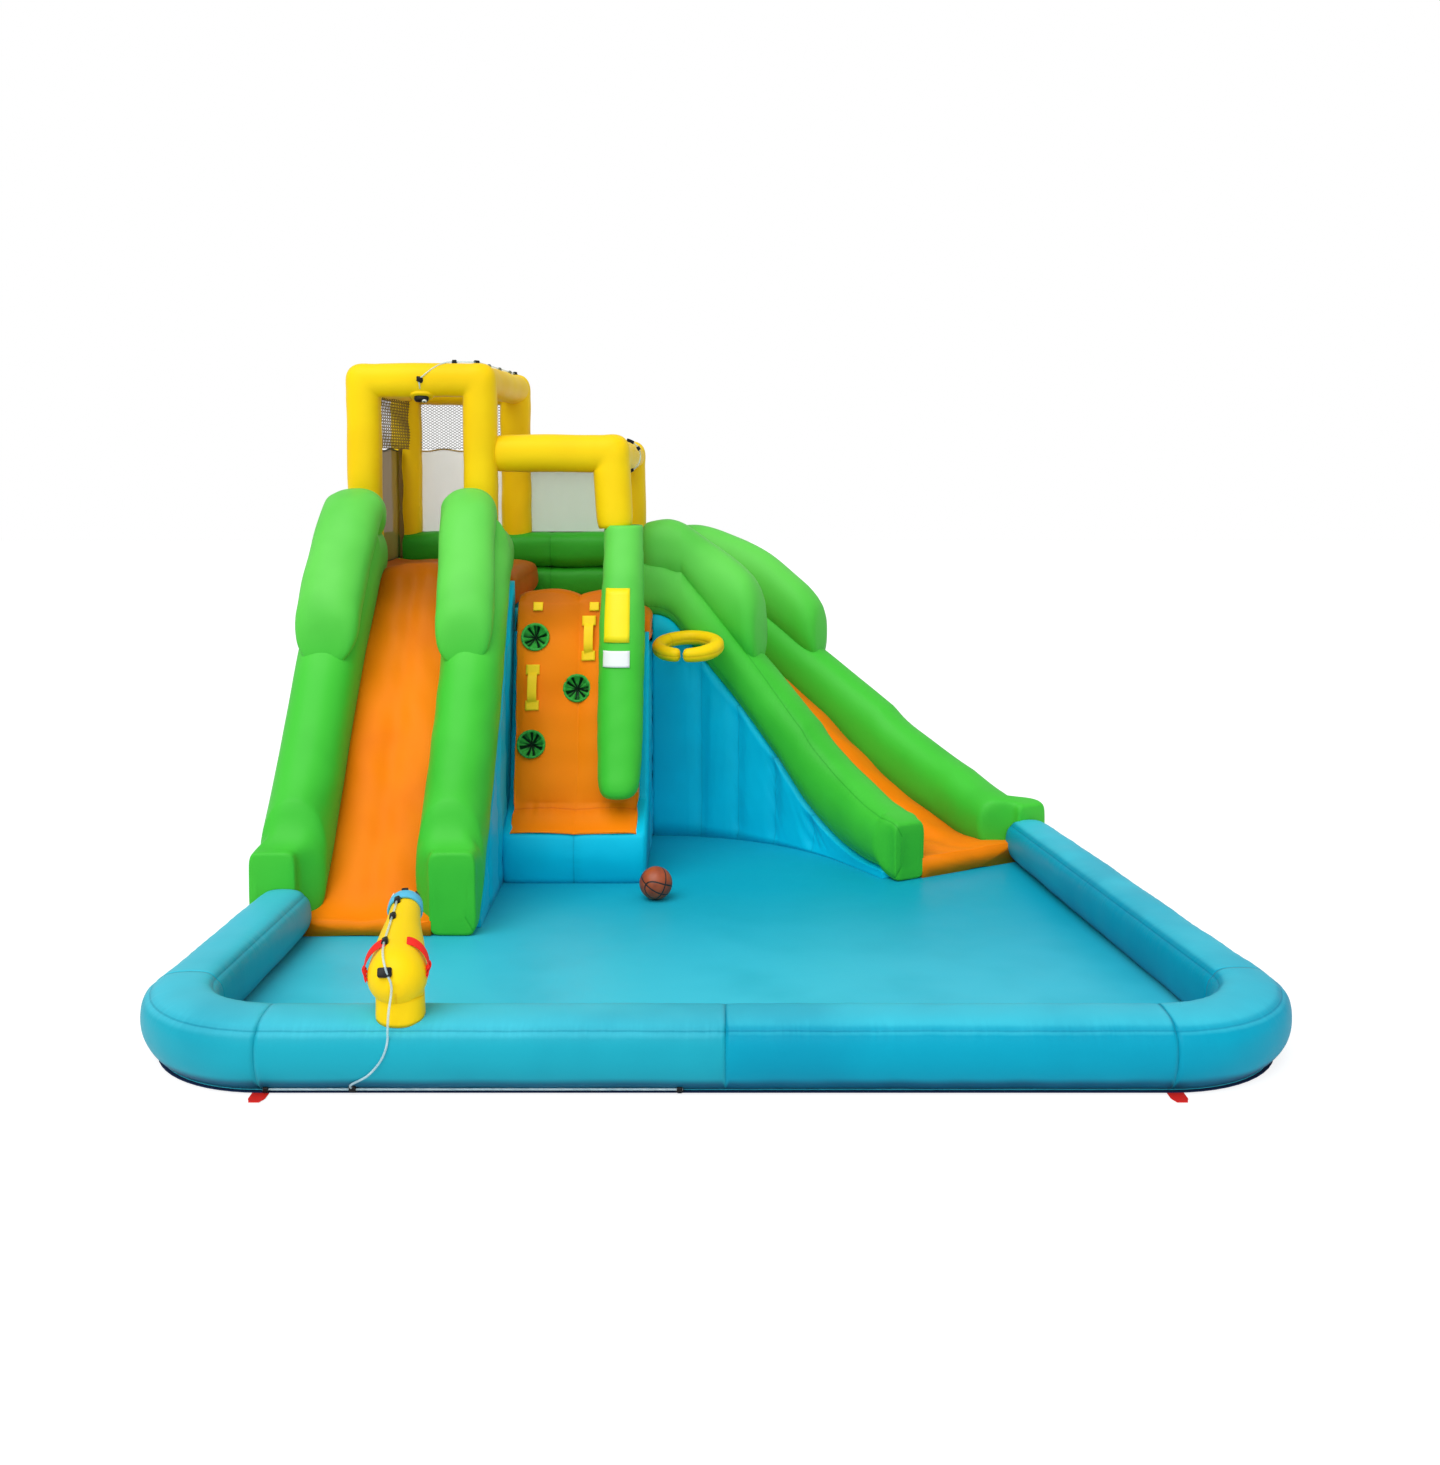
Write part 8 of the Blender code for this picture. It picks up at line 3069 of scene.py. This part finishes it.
@dataclass(frozen=True)
class BallRubber:
    """Pebbled brown rubber with dark grooves."""

    name: str = "pebbled_rubber"
    slot: str = "ball_rubber"
    radius: float = 0.075

    def material(self) -> bpy.types.Material:
        """The ball's material.

        Returns:
            The material: two crossed grooves and two round ones in pebbled rubber.
        """
        rubber = Surface(self.name)
        tree = rubber.tree
        parts = tree.node("ShaderNodeSeparateXYZ", Vector=rubber.place)
        x, y, z = (parts.outputs[axis] for axis in "XYZ")
        lines = [tree.math("ABSOLUTE", x), tree.math("ABSOLUTE", z)]
        offset = tree.minus(tree.math("ABSOLUTE", y), self.radius * 1.02)
        square = tree.plus(tree.times(offset, offset), tree.times(z, z))
        lines.append(tree.math("ABSOLUTE", tree.minus(tree.math("SQRT", square), self.radius * 0.62)))
        nearest = tree.math("MINIMUM", tree.math("MINIMUM", lines[0], lines[1]), lines[2])
        groove = tree.ramp(nearest, 0.0024, 0.0042)
        tone = tree.ramp(tree.noise(rubber.place, 14.0, 2.0), 0.35, 0.65)
        leather = tree.mix(tone, (0.40, 0.070, 0.016, 1.0), (0.27, 0.042, 0.010, 1.0))
        rubber.feed(
            Base_Color=tree.mix(groove, (0.01, 0.008, 0.008, 1.0), leather),
            Roughness=tree.ramp(tone, 0.0, 1.0, 0.42, 0.52),
        )
        cells = tree.node("ShaderNodeTexVoronoi", Vector=rubber.place, Scale=420.0)
        rubber.bump(tree.plus(tree.times(cells.outputs["Distance"], 0.25), groove), 0.0015, 0.6)
        return rubber.made


@dataclass
class PlayBall:
    """The ball on the pool's floor."""

    x: float = -0.273
    reach: float = 0.80
    radius: float = 0.075
    turn: tuple[float, float, float] = (0.5, 0.35, 0.6)

    def build(self) -> None:
        """The ball, turned so that its grooves show."""
        mesh = bpy.data.meshes.new("play_ball_skin")
        bm = bmesh.new()
        bmesh.ops.create_icosphere(bm, subdivisions=density(5), radius=self.radius)
        bm.to_mesh(mesh)
        bm.free()
        mesh.shade_smooth()
        obj = add_object("play_ball_skin", mesh)
        obj.location = (self.x, PLAN.tower_y - self.reach, PLAN.base_z + self.radius)
        obj.rotation_euler = self.turn
        settle(obj, BallRubber(), "play_ball", ("play_ball",))


@dataclass
class Studio:
    """A plain pale floor, soft lights, a white backdrop and the camera.

    A light is a name, the way from the object to it, how wide it is in degrees, and its strength on
    a surface that faces it. The camera's lens and shift are in pixels of the frame's height.
    """

    floor_size: float = 60.0
    floor_depth: float = 0.001
    floor_tone: tuple[float, ...] = (0.82, 0.83, 0.84, 1.0)
    floor_glow: float = 1.3
    floor_glow_share: float = 0.62
    white: tuple[float, ...] = (1.0, 1.0, 1.0, 1.0)
    sky_tone: tuple[float, ...] = (0.97, 0.985, 1.0, 1.0)
    sky_strength: float = 0.56
    lights: tuple[tuple[str, tuple[float, float, float], float, float], ...] = (
        ("soft_key", (-0.28, -0.46, 0.84), 50.0, 1.85),
        ("front_fill", (0.0, -1.0, 0.22), 80.0, 0.76),
    )
    sensor: float = 36.0
    frame_height: float = 1465.0
    lens: float = 1500.0
    shift: tuple[float, float] = (4.0, -141.5)
    eye: tuple[float, float, float] = (0.0, -6.735, 2.0)
    tilt: float = math.radians(85)

    def sun(self, name: str, towards: Vector, spread: float, strength: float) -> None:
        """A wide soft light from one side.

        Args:
            name: The light's name.
            towards: The way from the object to the light.
            spread: How wide the light is, in degrees.
            strength: Its strength on a surface that faces it.
        """
        data = bpy.data.lights.new(name, "SUN")
        data.angle = math.radians(spread)
        data.energy = strength
        add_object(name, data).rotation_euler = (-towards).to_track_quat("-Z", "Y").to_euler()

    @staticmethod
    def cleared(owner: bpy.types.Material | bpy.types.World) -> NodeTree:
        """The empty node tree of a new material or world.

        Args:
            owner: The material or the world.

        Returns:
            Its tree, with no nodes in it.
        """
        owner.use_nodes = True
        owner.node_tree.nodes.clear()
        return NodeTree(owner.node_tree)

    def floor(self) -> None:
        """The floor: white where the camera sees it, and it keeps a soft shadow."""
        half = self.floor_size / 2
        corners = ((-half, -half), (half, -half), (half, half), (-half, half))
        points = [Vector((x, y, -self.floor_depth)) for x, y in corners]
        obj = mesh_object("studio_floor", points, [[0, 1, 2, 3]], smooth=False)
        made = bpy.data.materials.new("studio_floor_white")
        tree = self.cleared(made)
        output = tree.node("ShaderNodeOutputMaterial")
        diffuse = tree.node("ShaderNodeBsdfDiffuse", Color=self.floor_tone)
        glow = tree.node("ShaderNodeEmission", Color=self.white, Strength=self.floor_glow)
        seen = tree.node("ShaderNodeLightPath").outputs["Is Camera Ray"]
        share = tree.times(seen, self.floor_glow_share)
        tree.feed(output.inputs["Surface"], tree.blend(share, diffuse, glow))
        obj.data.materials.append(made)

    def world(self) -> None:
        """Soft grey light all round, and white behind the object."""
        made = bpy.data.worlds.new("studio_world")
        bpy.context.scene.world = made
        tree = self.cleared(made)
        output = tree.node("ShaderNodeOutputWorld")
        soft = tree.node("ShaderNodeBackground", Color=self.sky_tone, Strength=self.sky_strength)
        bright = tree.node("ShaderNodeBackground", Color=self.white, Strength=1.0)
        path = tree.node("ShaderNodeLightPath")
        seen = tree.math("MAXIMUM", path.outputs["Is Camera Ray"], path.outputs["Is Transmission Ray"])
        tree.feed(output.inputs["Surface"], tree.blend(seen, soft, bright))

    def camera(self) -> None:
        """The camera: at eye height in front of the pool, turned a little down."""
        data = bpy.data.cameras.new("front_camera")
        data.sensor_width = self.sensor
        data.lens = self.sensor * self.lens / self.frame_height
        data.shift_x = self.shift[0] / self.frame_height
        data.shift_y = self.shift[1] / self.frame_height
        data.clip_end = 200.0
        camera = add_object("front_camera", data)
        camera.location = self.eye
        camera.rotation_euler = (self.tilt, 0.0, 0.0)
        bpy.context.scene.camera = camera

    def build(self) -> None:
        """Everything around the object."""
        self.camera()
        self.world()
        self.floor()
        for name, towards, spread, strength in self.lights:
            self.sun(name, Vector(towards), spread, strength)
        bpy.context.scene.view_settings.view_transform = "Standard"


def main() -> None:
    """Build the studio and every sub-assembly."""
    logging.basicConfig(level=logging.INFO, format="%(name)s %(message)s")
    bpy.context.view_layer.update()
    Studio().build()
    slides = (left_slide(), right_slide())
    tower = Tower()
    cannon = WaterCannon()
    Hoses(cannon, tower).build()
    GroundSheets(slides).build()
    PoolWalls(slides).build()
    for slide in slides:
        slide.build()
    tower.build()
    Screens(tower).build()
    ClimbingFace().build()
    SplashHoop(slides[1]).build()
    cannon.build()
    Fittings().build()
    PlayBall().build()


if __name__ == "__main__":
    main()
